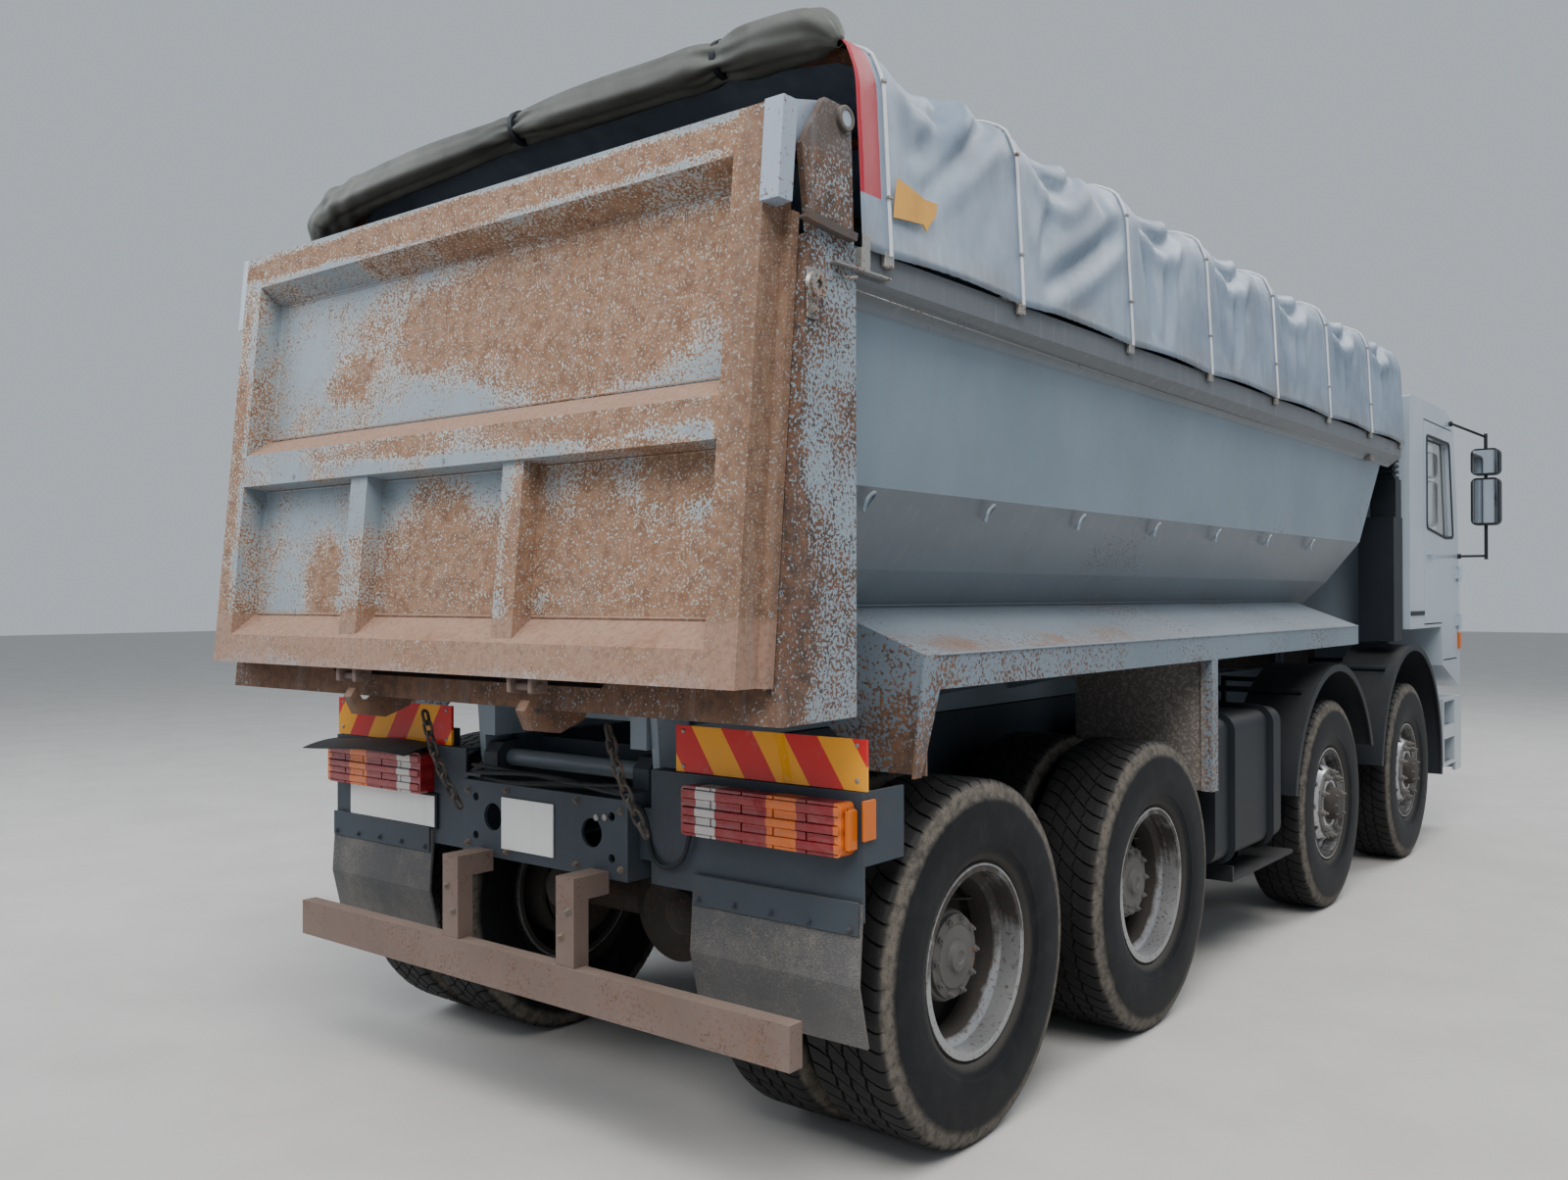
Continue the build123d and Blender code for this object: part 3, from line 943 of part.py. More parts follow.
# Hinge straps on the gate's upper corners; the right one also wraps the corner's outer edge
strap_back = GATE_GAP + GATE_DEPTH
strap = side_plate([(gate_face_y(WRAP_LOW_Z) - strap_back, WRAP_LOW_Z),
                    (gate_face_y(GATE_TOP_Z) - strap_back, GATE_TOP_Z),
                    (GATE_HINGE_Y - 30, GATE_HINGE_Z + 45), (GATE_HINGE_Y + 30, GATE_HINGE_Z + 45),
                    (GATE_HINGE_Y + 46, GATE_HINGE_Z), (GATE_HINGE_Y + 20, GATE_HINGE_Z - 42),
                    (GATE_HINGE_Y - 60, GATE_HINGE_Z - 60), (gate_face_y(GATE_TOP_Z) - 76, GATE_TOP_Z - 127),
                    (gate_face_y(WRAP_LOW_Z) - 66, WRAP_LOW_Z)], (GATE_HALF_W, GATE_FLANGE_HALF_W))
strap += rod_x(GATE_PIN_R, (GATE_FLANGE_HALF_W - 10, BODY_HALF_W + 12), GATE_HINGE_Y, GATE_HINGE_Z)
wrap = gate_slab(WRAP_X, (WRAP_LOW_Z, GATE_TOP_Z), GATE_DEPTH + WRAP_T, GATE_DEPTH - 43)
keep("tailgate_brackets", both(strap) + wrap)


# Hoist
def stage_radius(number):
    """Outer radius of a stage, the barrel being number nought."""
    return BARREL_R - STAGE_WALL * number


barrel = rod_z(BARREL_R, 0, HOIST_Y, (BARREL_LOW_Z, EYE_Z - BARREL_TO_EYE))
barrel -= rod_z(stage_radius(1) + RUN_FIT, 0, HOIST_Y, (BARREL_LOW_Z + BARREL_END_T, EYE_Z))
barrel += both(rod_x(TRUNNION_R, (BARREL_R - 8, CRADLE_X[1]), HOIST_Y, TRUNNION_Z))
keep("hoist_barrel", barrel)
for number in range(1, STAGES + 1):
    top = EYE_Z - BARREL_TO_EYE + STAGE_RISE * number
    low = BARREL_LOW_Z + BARREL_END_T + STAGE_RISE * number
    stage = rod_z(stage_radius(number), 0, HOIST_Y, (low, top))
    if number < STAGES:
        stage -= rod_z(stage_radius(number + 1) + RUN_FIT, 0, HOIST_Y, (low + 12, top + PAST))
    else:
        stage += rod_x(EYE_R, (-EYE_HALF_W, EYE_HALF_W), HOIST_Y, EYE_Z)
        stage += block((-30, 30), (HOIST_Y - 30, HOIST_Y + 30), (top - 2, EYE_Z))
        stage -= rod_x(EYE_BORE_R, (-EYE_HALF_W - 16, EYE_HALF_W + 16), HOIST_Y, EYE_Z)
    keep(f"hoist_stage_{number}", stage)


# Cab shell
def grown(outline, by):
    """An outline of (y, z) points grown by a gap all round."""
    path = make_face(Polyline(*outline, outline[0]))
    return offset(path, by, kind=Kind.INTERSECTION)


def outline_plate(outline, by, x):
    """A plate cut to a grown outline, between two places across."""
    return extrude(Plane.YZ.offset(x[0]) * grown(outline, by), x[1] - x[0], dir=(1, 0, 0))


def screen_slab(ahead, behind, trim):
    """A slab in the windscreen's plane, between two depths, trimmed at each edge."""
    (y0, z0), (y1, z1) = SCREEN_LOW, SCREEN_HIGH
    length = hypot(y1 - y0, z1 - z0)
    uy, uz = (y1 - y0) / length, (z1 - z0) / length
    ny, nz = uz, -uy
    a = (y0 + uy * trim, z0 + uz * trim)
    b = (y1 - uy * trim, z1 - uz * trim)
    return side_plate([(a[0] + ny * ahead, a[1] + nz * ahead), (b[0] + ny * ahead, b[1] + nz * ahead),
                       (b[0] - ny * behind, b[1] - nz * behind), (a[0] - ny * behind, a[1] - nz * behind)],
                      (-SCREEN_HALF_W + trim, SCREEN_HALF_W - trim))


door_x = (CAB_HALF_W - CAB_WALL, CAB_HALF_W)
shell = side_plate(SHELL_EDGE, (-CAB_HALF_W, CAB_HALF_W)) - side_plate(ROOM_EDGE, (-door_x[0], door_x[0]))
shell -= block((-CAB_STEP_X, CAB_STEP_X), (CAB_NOSE_Y - 665, FRONT_PANEL_Y), (CAB_LOW_Z - 50, CAB_FLOOR_Z))
shell -= both(outline_plate(DOOR_EDGE, DOOR_GAP, (door_x[0] - PAST, door_x[1] + PAST)))
shell -= screen_slab(SCREEN_AHEAD, SCREEN_BEHIND, 0)
for z in DOOR_HINGE_ZS:
    pin_half = HINGE_HALF_H + HINGE_EAR_T
    ears = rod_z(HINGE_PIN_R, DOOR_HINGE_X, DOOR_HINGE_Y, (z - pin_half, z + pin_half))
    for low in (z - pin_half - PAST, z + HINGE_HALF_H + PAST):
        ear_z = (low, low + HINGE_EAR_T)
        ears += rod_z(HINGE_R, DOOR_HINGE_X, DOOR_HINGE_Y, ear_z)
        ears += block((CAB_HALF_W - 4, DOOR_HINGE_X), (DOOR_HINGE_Y - 8, DOOR_HINGE_Y + 14), ear_z)
    shell += both(ears)
cab_arm = block(CAB_ARM_X, (CAB_HINGE_Y - 26, CAB_HINGE_Y + 26), (CAB_HINGE_Z - 26, CAB_LOW_Z + 60))
cab_arm += rod_x(CAB_PIN_R, (RAIL_HALF_W + 5, CAB_ARM_X[1] + 5), CAB_HINGE_Y, CAB_HINGE_Z)
keep("cab_shell", shell + both(cab_arm))
keep("windscreen", screen_slab(-4, 12, SEAT_GAP))


# Doors with window frames, and their glass
def door():
    """The right door: panel, window opening, hinge knuckles and pull handle."""
    panel = outline_plate(DOOR_EDGE, 0, door_x)
    panel -= outline_plate(WINDOW_EDGE, 0, (door_x[0] - PAST, door_x[1] + PAST))
    leaf_y = (DOOR_HINGE_Y - 66, DOOR_HINGE_Y - 40)
    for z in DOOR_HINGE_ZS:
        height = (z - HINGE_HALF_H, z + HINGE_HALF_H)
        panel += rod_z(HINGE_R, DOOR_HINGE_X, DOOR_HINGE_Y, height)
        panel += block((CAB_HALF_W - 2, DOOR_HINGE_X - 4), leaf_y, height)
        panel += block((CAB_HALF_W + 1, DOOR_HINGE_X - 4), (leaf_y[0], DOOR_HINGE_Y), height)
        panel -= rod_z(HINGE_PIN_R + RUN_FIT, DOOR_HINGE_X, DOOR_HINGE_Y, (z - 60, z + 60))
    y, z = DOOR_EDGE[0][0] + 145, HANDLE_Z
    pull = block((CAB_HALF_W - 2, CAB_HALF_W + 24), (y - 65, y + 65), (z - 15, z + 15))
    pull -= block((CAB_HALF_W - 3, CAB_HALF_W + 12), (y - 45, y + 45), (z - 25, z + 25))
    return panel + pull


pane = outline_plate(WINDOW_EDGE, -SEAT_GAP, (CAB_HALF_W - 28 - GLASS_T, CAB_HALF_W - 28))
for side_name, side in SIDES:
    keep(f"door_{side_name}", sided(door(), side))
    keep(f"door_glass_{side_name}", sided(pane, side))

# Grille and sun visor
grille = block((-GRILLE_HALF_W, GRILLE_HALF_W), (CAB_NOSE_Y, FRONT_Y), GRILLE_Z)
for i in range(GRILLE_SLOTS):
    z = GRILLE_Z[0] + 40 + SLOT_PITCH * i
    grille -= block((-GRILLE_HALF_W + 50, GRILLE_HALF_W - 50), (FRONT_Y - SLOT_DEPTH, FRONT_Y + PAST),
                    (z, z + SLOT_PITCH / 2))
keep("grille", grille)
keep("sun_visor", side_plate(VISOR_EDGE, (-VISOR_HALF_W, VISOR_HALF_W)))


# Mirrors
def mirror_set():
    """Right-hand mirrors: post, two arms with their feet, and two rounded heads."""
    shape = rod_z(12, MIRROR_X, MIRROR_Y, MIRROR_POST_Z)
    for foot_y, foot_z, end_z in MIRROR_ARMS:
        shape += strut(9, (CAB_HALF_W + 15, foot_y, foot_z), (MIRROR_X, MIRROR_Y, end_z))
        shape += rod_x(18, (CAB_HALF_W, CAB_HALF_W + 20), foot_y, foot_z)
    for low, high in MIRROR_HEADS:
        head = block((MIRROR_X + 2.5 - MIRROR_HALF_W, MIRROR_X + 2.5 + MIRROR_HALF_W),
                     (MIRROR_Y - 2.5 - MIRROR_HALF_T, MIRROR_Y - 2.5 + MIRROR_HALF_T), (low, high))
        shape += fillet(head.edges().filter_by(Axis.Y), 40)
    return shape


keep("mirrors", both(mirror_set()))


# Inside the cab
def seat(x):
    """A seat: plinth, cushion and leaning back."""
    base = block((x - 200, x + 200), (SEAT_Y + 50, SEAT_Y + 470), (FLOOR_IN, FLOOR_IN + 240))
    low, high = FLOOR_IN + 370, FLOOR_IN + 1060
    cushion = block((x - SEAT_HALF_W, x + SEAT_HALF_W), (SEAT_Y, SEAT_Y + 510), (FLOOR_IN + 240, low))
    back = side_plate([(SEAT_Y, low), (SEAT_Y + 140, low), (SEAT_Y + 30, high), (SEAT_Y - 90, high)],
                      (x - SEAT_HALF_W + 10, x + SEAT_HALF_W - 10))
    return base + cushion + back


keep("seats", seat(SEAT_X) + seat(-SEAT_X))
DASH_EDGE = ((6560.0, FLOOR_IN + 200), (6520.0, FLOOR_IN + 420), (6620.0, FLOOR_IN + 500),
             (6840.0, FLOOR_IN + 500), (6862.0, FLOOR_IN + 300), (6862.0, FLOOR_IN), (6760.0, FLOOR_IN))
dash = side_plate(DASH_EDGE, (-DASH_HALF_W, DASH_HALF_W))
keep("dashboard", dash - strut(COLUMN_R + SEAT_GAP, WHEEL_AT, COLUMN_END))
steering = Torus(WHEEL_RING_R, 16) + Box(2 * WHEEL_RING_R - 10, 34, 16) + Cylinder(60, 30)
steering = Pos(*WHEEL_AT) * Rot(WHEEL_TILT, 0, 0) * steering
keep("steering_wheel", steering + strut(COLUMN_R, WHEEL_AT, COLUMN_END))

os.makedirs("parts", exist_ok=True)
for name, shape in nodes.items():
    placed = Pos(0, -MID_Y, 0) * shape
    placed.label = name
    export_step(placed, f"parts/{name}.step")
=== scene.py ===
import logging
import math
from collections.abc import Callable, Iterable
from dataclasses import dataclass
from enum import Enum
from functools import cached_property, reduce
from operator import add

import bmesh
import bpy
import numpy as np
from mathutils import Matrix, Vector


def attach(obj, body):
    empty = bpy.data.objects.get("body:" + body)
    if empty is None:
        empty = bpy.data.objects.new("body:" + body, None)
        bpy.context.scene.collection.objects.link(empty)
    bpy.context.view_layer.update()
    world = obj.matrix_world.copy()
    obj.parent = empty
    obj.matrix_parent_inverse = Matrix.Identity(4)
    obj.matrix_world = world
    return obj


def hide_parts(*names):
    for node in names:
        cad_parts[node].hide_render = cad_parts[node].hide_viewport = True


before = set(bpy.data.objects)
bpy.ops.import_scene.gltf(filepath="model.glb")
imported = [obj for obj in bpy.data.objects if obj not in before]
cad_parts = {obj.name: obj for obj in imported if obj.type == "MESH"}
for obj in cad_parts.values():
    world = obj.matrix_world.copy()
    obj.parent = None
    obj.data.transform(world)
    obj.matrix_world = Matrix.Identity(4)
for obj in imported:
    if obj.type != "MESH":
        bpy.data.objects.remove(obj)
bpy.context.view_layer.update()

log = logging.getLogger("dump_truck")

Pair = tuple[float, float]
Point = tuple[float, float, float]
Colour = tuple[float, float, float]

# Metres. Shapes are drawn with y forward from the rearmost axle, and piece() moves them into the frame.
MID_Y = 2.911
AXLES: dict[int, float] = {1: 5.550, 2: 3.850, 3: 1.350, 4: 0.0}
AXLE_Z = 0.560
SIDES: tuple[tuple[str, int], ...] = (("right", 1), ("left", -1))
HOOP_YS: tuple[float, ...] = (-0.600, 0.150, 0.990, 1.790, 2.630, 3.470, 4.270, 4.960)


def along(y: float) -> float:
    """Turns a place measured from the rearmost axle into the frame's y, for the finishes."""
    return y - MID_Y


class Ends(Enum):
    """How the ends of a carried section are finished."""
    OPEN = "open"
    CAPPED = "capped"
    JOINED = "joined"


# Surfaces worked out as arrays

@dataclass
class Surface:
    """Points, four-sided and three-sided faces, and a pattern place for each point."""
    points: np.ndarray
    quads: np.ndarray
    tris: np.ndarray
    uv: np.ndarray

    def __add__(self, other: "Surface") -> "Surface":
        """Both surfaces as one, the second one's faces counted on from the first one's points."""
        n = len(self.points)
        return Surface(np.vstack([self.points, other.points]), np.vstack([self.quads, other.quads + n]),
                       np.vstack([self.tris, other.tris + n]), np.vstack([self.uv, other.uv]))

    def mirrored(self) -> "Surface":
        """The surface seen in a mirror across the truck's middle, its faces turned round."""
        points = self.points * np.array([-1.0, 1.0, 1.0])
        return Surface(points, self.quads[:, ::-1], self.tris[:, ::-1], self.uv)

    def both(self) -> "Surface":
        """The surface with its mirror image."""
        return self + self.mirrored()

    def sided(self, side: int) -> "Surface":
        """The surface as drawn for the right side, or mirrored for the left."""
        return self if side > 0 else self.mirrored()

    def copies(self, frames: np.ndarray) -> "Surface":
        """Copies at many places at once.

        Each frame is a 4 by 4 matrix; every point is turned by each frame and moved by its last column.

        Args:
            frames: array of shape (k, 4, 4).
        Returns:
            One surface holding k copies.
        """
        k, n = len(frames), len(self.points)
        points = np.einsum("kij,nj->kni", frames[:, :3, :3], self.points) + frames[:, None, :3, 3]
        step = (np.arange(k) * n)[:, None, None]
        return Surface(points.reshape(-1, 3), (self.quads[None] + step).reshape(-1, 4),
                       (self.tris[None] + step).reshape(-1, 3), np.tile(self.uv, (k, 1)))

    def at(self, places: Iterable[Point], direction: Point) -> "Surface":
        """Copies at many places whose own z points one way."""
        z = unit(np.array(direction, float))
        x = unit(np.cross((0.0, 1.0, 0.0) if abs(z[1]) < 0.9 else (1.0, 0.0, 0.0), z))
        return self.copies(frames_of(x, np.cross(z, x), z, np.array(places, float)))


def joined(shapes: Iterable[Surface]) -> Surface:
    """Several surfaces as one."""
    return reduce(add, shapes)


def unit(vectors: np.ndarray) -> np.ndarray:
    """Vectors brought to the length of one."""
    return vectors / np.linalg.norm(vectors, axis=-1, keepdims=True)


def frames_of(x: np.ndarray, y: np.ndarray, z: np.ndarray, places: np.ndarray) -> np.ndarray:
    """Frames from three directions, shared or one for each place, as an array of shape (k, 4, 4)."""
    frames = np.tile(np.eye(4), (len(places), 1, 1))
    for column, vector in enumerate((x, y, z, places)):
        frames[:, :3, column] = vector
    return frames


def distances(path: np.ndarray) -> np.ndarray:
    """How far along a path each of its points lies."""
    return np.concatenate([[0], np.cumsum(np.linalg.norm(np.diff(path, axis=0), axis=1))])


def corners_cut(path: np.ndarray, rounds: int) -> np.ndarray:
    """A path whose corners are cut at a quarter and three quarters of its runs, again and again."""
    for _ in range(rounds):
        a, b = path[:-1], path[1:]
        cut = np.stack([0.75 * a + 0.25 * b, 0.25 * a + 0.75 * b], 1).reshape(-1, path.shape[1])
        path = np.vstack([path[:1], cut, path[-1:]])
    return path


def grid(points: np.ndarray, round_u: bool = False, round_v: bool = False,
         uv: np.ndarray | None = None) -> Surface:
    """Joins a table of points to their neighbours with four-sided faces.

    Args:
        points: array of shape (rows, columns, 3).
        round_u: whether the last row joins the first.
        round_v: whether the last column joins the first.
        uv: pattern places of shape (rows, columns, 2), or none for plain shares of the table.
    Returns:
        The surface.
    """
    nu, nv = points.shape[:2]
    if uv is None:
        uv = np.stack(np.meshgrid(np.linspace(0, 1, nu), np.linspace(0, 1, nv), indexing="ij"), -1)
    index = np.arange(nu * nv).reshape(nu, nv)
    if round_u:
        index = np.vstack([index, index[:1]])
    if round_v:
        index = np.hstack([index, index[:, :1]])
    quads = np.stack([index[:-1, :-1], index[1:, :-1], index[1:, 1:], index[:-1, 1:]], -1).reshape(-1, 4)
    return Surface(points.reshape(-1, 3), quads, np.zeros((0, 3), int), uv.reshape(-1, 2))


def fan(ring: np.ndarray) -> Surface:
    """A flat lid: every edge of a ring of points joined to the ring's middle."""
    n = len(ring)
    i = np.arange(n)
    return Surface(np.vstack([ring, ring.mean(0)]), np.zeros((0, 4), int),
                   np.stack([i, (i + 1) % n, np.full(n, n)], -1), np.zeros((n + 1, 2)))


def lidded(rings: np.ndarray) -> Surface:
    """Closed rings of points joined up, with a lid on the first and the last."""
    return grid(rings, round_v=True) + fan(rings[0]) + fan(rings[-1])


def lathe(profile: Iterable[Pair], centre: Point, steps: int = 48, close: bool = False) -> Surface:
    """A profile of (offset, radius) pairs turned about a crosswise axis.

    Each point is the centre plus the offset across, with the radius laid round at evenly spaced angles.

    Args:
        profile: the pairs in order.
        centre: where the offset is nought.
        steps: number of places round.
        close: whether the profile's end joins its start.
    Returns:
        The turned surface.
    """
    turn = np.linspace(0, 2 * np.pi, steps, endpoint=False)[:, None]
    offset, radius = np.array(profile, float).T[:, None]
    points = np.stack([centre[0] + offset + 0 * turn, centre[1] + radius * np.cos(turn),
                       centre[2] + radius * np.sin(turn)], -1)
    return grid(points, round_u=True, round_v=close)


def carried(path: np.ndarray, section: np.ndarray, up: Point, ends: Ends = Ends.CAPPED) -> Surface:
    """A section carried along a path.

    At each path point the section lies square to the path: its first number goes sideways, along the path's
    direction crossed with up, and its second number goes along the remaining direction.

    Args:
        path: array of shape (n, 3).
        section: closed outline of shape (m, 2), or (n, m, 2) where it changes on the way.
        up: a direction that the path never follows.
        ends: how the ends are finished.
    Returns:
        The carried surface.
    """
    if ends is Ends.JOINED:
        ahead = unit(np.roll(path, -1, 0) - np.roll(path, 1, 0))
    else:
        ahead = unit(np.gradient(path, axis=0))
    side = unit(np.cross(ahead, np.array(up, float)))
    top = np.cross(side, ahead)
    points = path[:, None] + section[..., :1] * side[:, None] + section[..., 1:] * top[:, None]
    if ends is Ends.CAPPED:
        return lidded(points)
    return grid(points, round_u=ends is Ends.JOINED, round_v=True)


def circle(r: float, sides: int = 10) -> np.ndarray:
    """An evenly stepped circle as a section outline."""
    turn = np.linspace(0, 2 * np.pi, sides, endpoint=False)
    return np.stack([r * np.cos(turn), r * np.sin(turn)], -1)


def rod(points: Iterable[Point], r: float, sides: int = 10, rounds: int = 0) -> Surface:
    """A round bar through a few points, closed at its ends.

    Args:
        points: the corners in order.
        r: the bar's radius.
        sides: number of sides round the bar.
        rounds: how often the corners are cut off to ease them.
    Returns:
        The bar.
    """
    never_followed = (0.13, 0.21, 0.97)
    return carried(corners_cut(np.array(points, float), rounds), circle(r, sides), never_followed)


def slab(low: Point, high: Point, ease: float = 0.003) -> Surface:
    """A block with eased edges.

    Four rings of eight points, the first and last drawn in by the ease, closed by a lid at each end.

    Args:
        low: lowest corner.
        high: highest corner.
        ease: how much each edge is cut back.
    Returns:
        The closed block.
    """
    lo, hi = np.array(low, float), np.array(high, float)
    c = min(ease, 0.45 * float((hi - lo).min()))

    def ring(inset: float, z: float) -> np.ndarray:
        """Eight points round the block at a height, drawn in by an inset."""
        x0, y0, x1, y1 = lo[0] + inset, lo[1] + inset, hi[0] - inset, hi[1] - inset
        return np.array([(x0 + c, y0, z), (x1 - c, y0, z), (x1, y0 + c, z), (x1, y1 - c, z),
                         (x1 - c, y1, z), (x0 + c, y1, z), (x0, y1 - c, z), (x0, y0 + c, z)])

    return lidded(np.stack([ring(c, lo[2]), ring(0, lo[2] + c), ring(0, hi[2] - c), ring(c, hi[2])]))


def round_places(r: float, count: int, centre: Point, start: float = 0.0) -> np.ndarray:
    """Evenly spaced places on a circle about a crosswise axis."""
    turn = np.linspace(0, 2 * np.pi, count, endpoint=False) + start
    return np.array(centre) + np.stack([0 * turn, r * np.cos(turn), r * np.sin(turn)], -1)


def turned_up(profile: Iterable[Pair], sides: int) -> Surface:
    """A small turned piece standing on its own z, from (height, radius) pairs."""
    made = lathe(profile, (0, 0, 0), sides)
    made.points = made.points[:, [1, 2, 0]]
    return made


def bolt(r: float, height: float) -> Surface:
    """A six-sided head on a round washer with the thread's end standing out."""
    # Sides round, then height and radius as shares of the head's: head, washer, thread's end
    parts = ((6, (0, 1), (1, 1), (1.12, 0.8), (1.12, 0)), (14, (0, 1.45), (0.18, 1.45), (0.24, 0.9)),
             (8, (1, 0.5), (1.6, 0.5), (1.72, 0.36), (1.72, 0)))
    return joined(turned_up([(height * a, r * b) for a, b in shares], sides) for sides, *shares in parts)


def rivet(r: float) -> Surface:
    """A low domed head."""
    return turned_up([(0, r), (r * 0.25, r), (r * 0.5, r * 0.72), (r * 0.62, r * 0.3), (r * 0.65, 0)], 10)


def piece(name: str, shape: Surface, body: str, finish: "Finish", sharp: float = 38.0,
          closed: bool = True) -> bpy.types.Object:
    """Puts a surface into a mesh at the origin and lets it ride on a body.

    Args:
        name: the piece's name.
        shape: the surface, with y from the rearmost axle.
        body: the body's name.
        finish: what it is made of.
        sharp: edges that turn more than this many degrees stay sharp.
        closed: whether the faces enclose a volume and can be turned outwards.
    Returns:
        The object.
    """
    mesh = bpy.data.meshes.new(name)
    points = shape.points - np.array([0.0, MID_Y, 0.0])
    mesh.from_pydata(points.tolist(), [], shape.quads.tolist() + shape.tris.tolist())
    layer = mesh.uv_layers.new(name="UVMap")
    corner = np.zeros(len(mesh.loops), np.int32)
    mesh.loops.foreach_get("vertex_index", corner)
    layer.data.foreach_set("uv", shape.uv[corner].astype(np.float32).ravel())
    sheet = bmesh.new()
    sheet.from_mesh(mesh)
    bmesh.ops.remove_doubles(sheet, verts=sheet.verts, dist=2e-5)
    bmesh.ops.dissolve_degenerate(sheet, edges=sheet.edges, dist=1e-6)
    if closed:
        bmesh.ops.recalc_face_normals(sheet, faces=sheet.faces)
    sheet.to_mesh(mesh)
    sheet.free()
    mesh.shade_smooth()
    mesh.set_sharp_from_angle(angle=math.radians(sharp))
    mesh.materials.append(finish.material())
    made = placed(name, mesh)
    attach(made, body)
    log.info("%s: %d faces on %s", name, len(mesh.polygons), body)
    return made


def placed(name: str, data: bpy.types.ID) -> bpy.types.Object:
    """Puts a mesh, a light or a camera into the scene."""
    made = bpy.data.objects.new(name, data)
    bpy.context.scene.collection.objects.link(made)
    return made


def dress(nodes: tuple[str, ...], finish: "Finish") -> None:
    """Gives CAD nodes their finish."""
    for node in nodes:
        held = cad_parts[node].data
        held.materials.clear()
        held.materials.append(finish.material())
        log.info("%s: dressed in %s", node, finish.name)


# Effects shared by several finishes, and the finishes

@dataclass
class Value:
    """One output of a shader graph. Arithmetic on it adds the nodes that work out the result."""
    graph: "Graph"
    socket: bpy.types.NodeSocket

    def __add__(self, other: object) -> "Value":
        """The sum."""
        return self.graph.calc("ADD", self, other)

    def __sub__(self, other: object) -> "Value":
        """The difference."""
        return self.graph.calc("SUBTRACT", self, other)

    def __rsub__(self, other: object) -> "Value":
        """The difference from a plain number."""
        return self.graph.calc("SUBTRACT", other, self)

    def __mul__(self, other: object) -> "Value":
        """The product."""
        return self.graph.calc("MULTIPLY", self, other)

    def __truediv__(self, other: object) -> "Value":
        """The quotient."""
        return self.graph.calc("DIVIDE", self, other)

    def __abs__(self) -> "Value":
        """The size without its sign."""
        return self.graph.calc("ABSOLUTE", self)

    def __gt__(self, other: object) -> "Value":
        """One where it is greater, else nought."""
        return self.graph.calc("GREATER_THAN", self, other)

    def __lt__(self, other: object) -> "Value":
        """One where it is less, else nought."""
        return self.graph.calc("LESS_THAN", self, other)

    def clamped(self) -> "Value":
        """The same result of arithmetic, held between 0 and 1."""
        self.socket.node.use_clamp = True
        return self


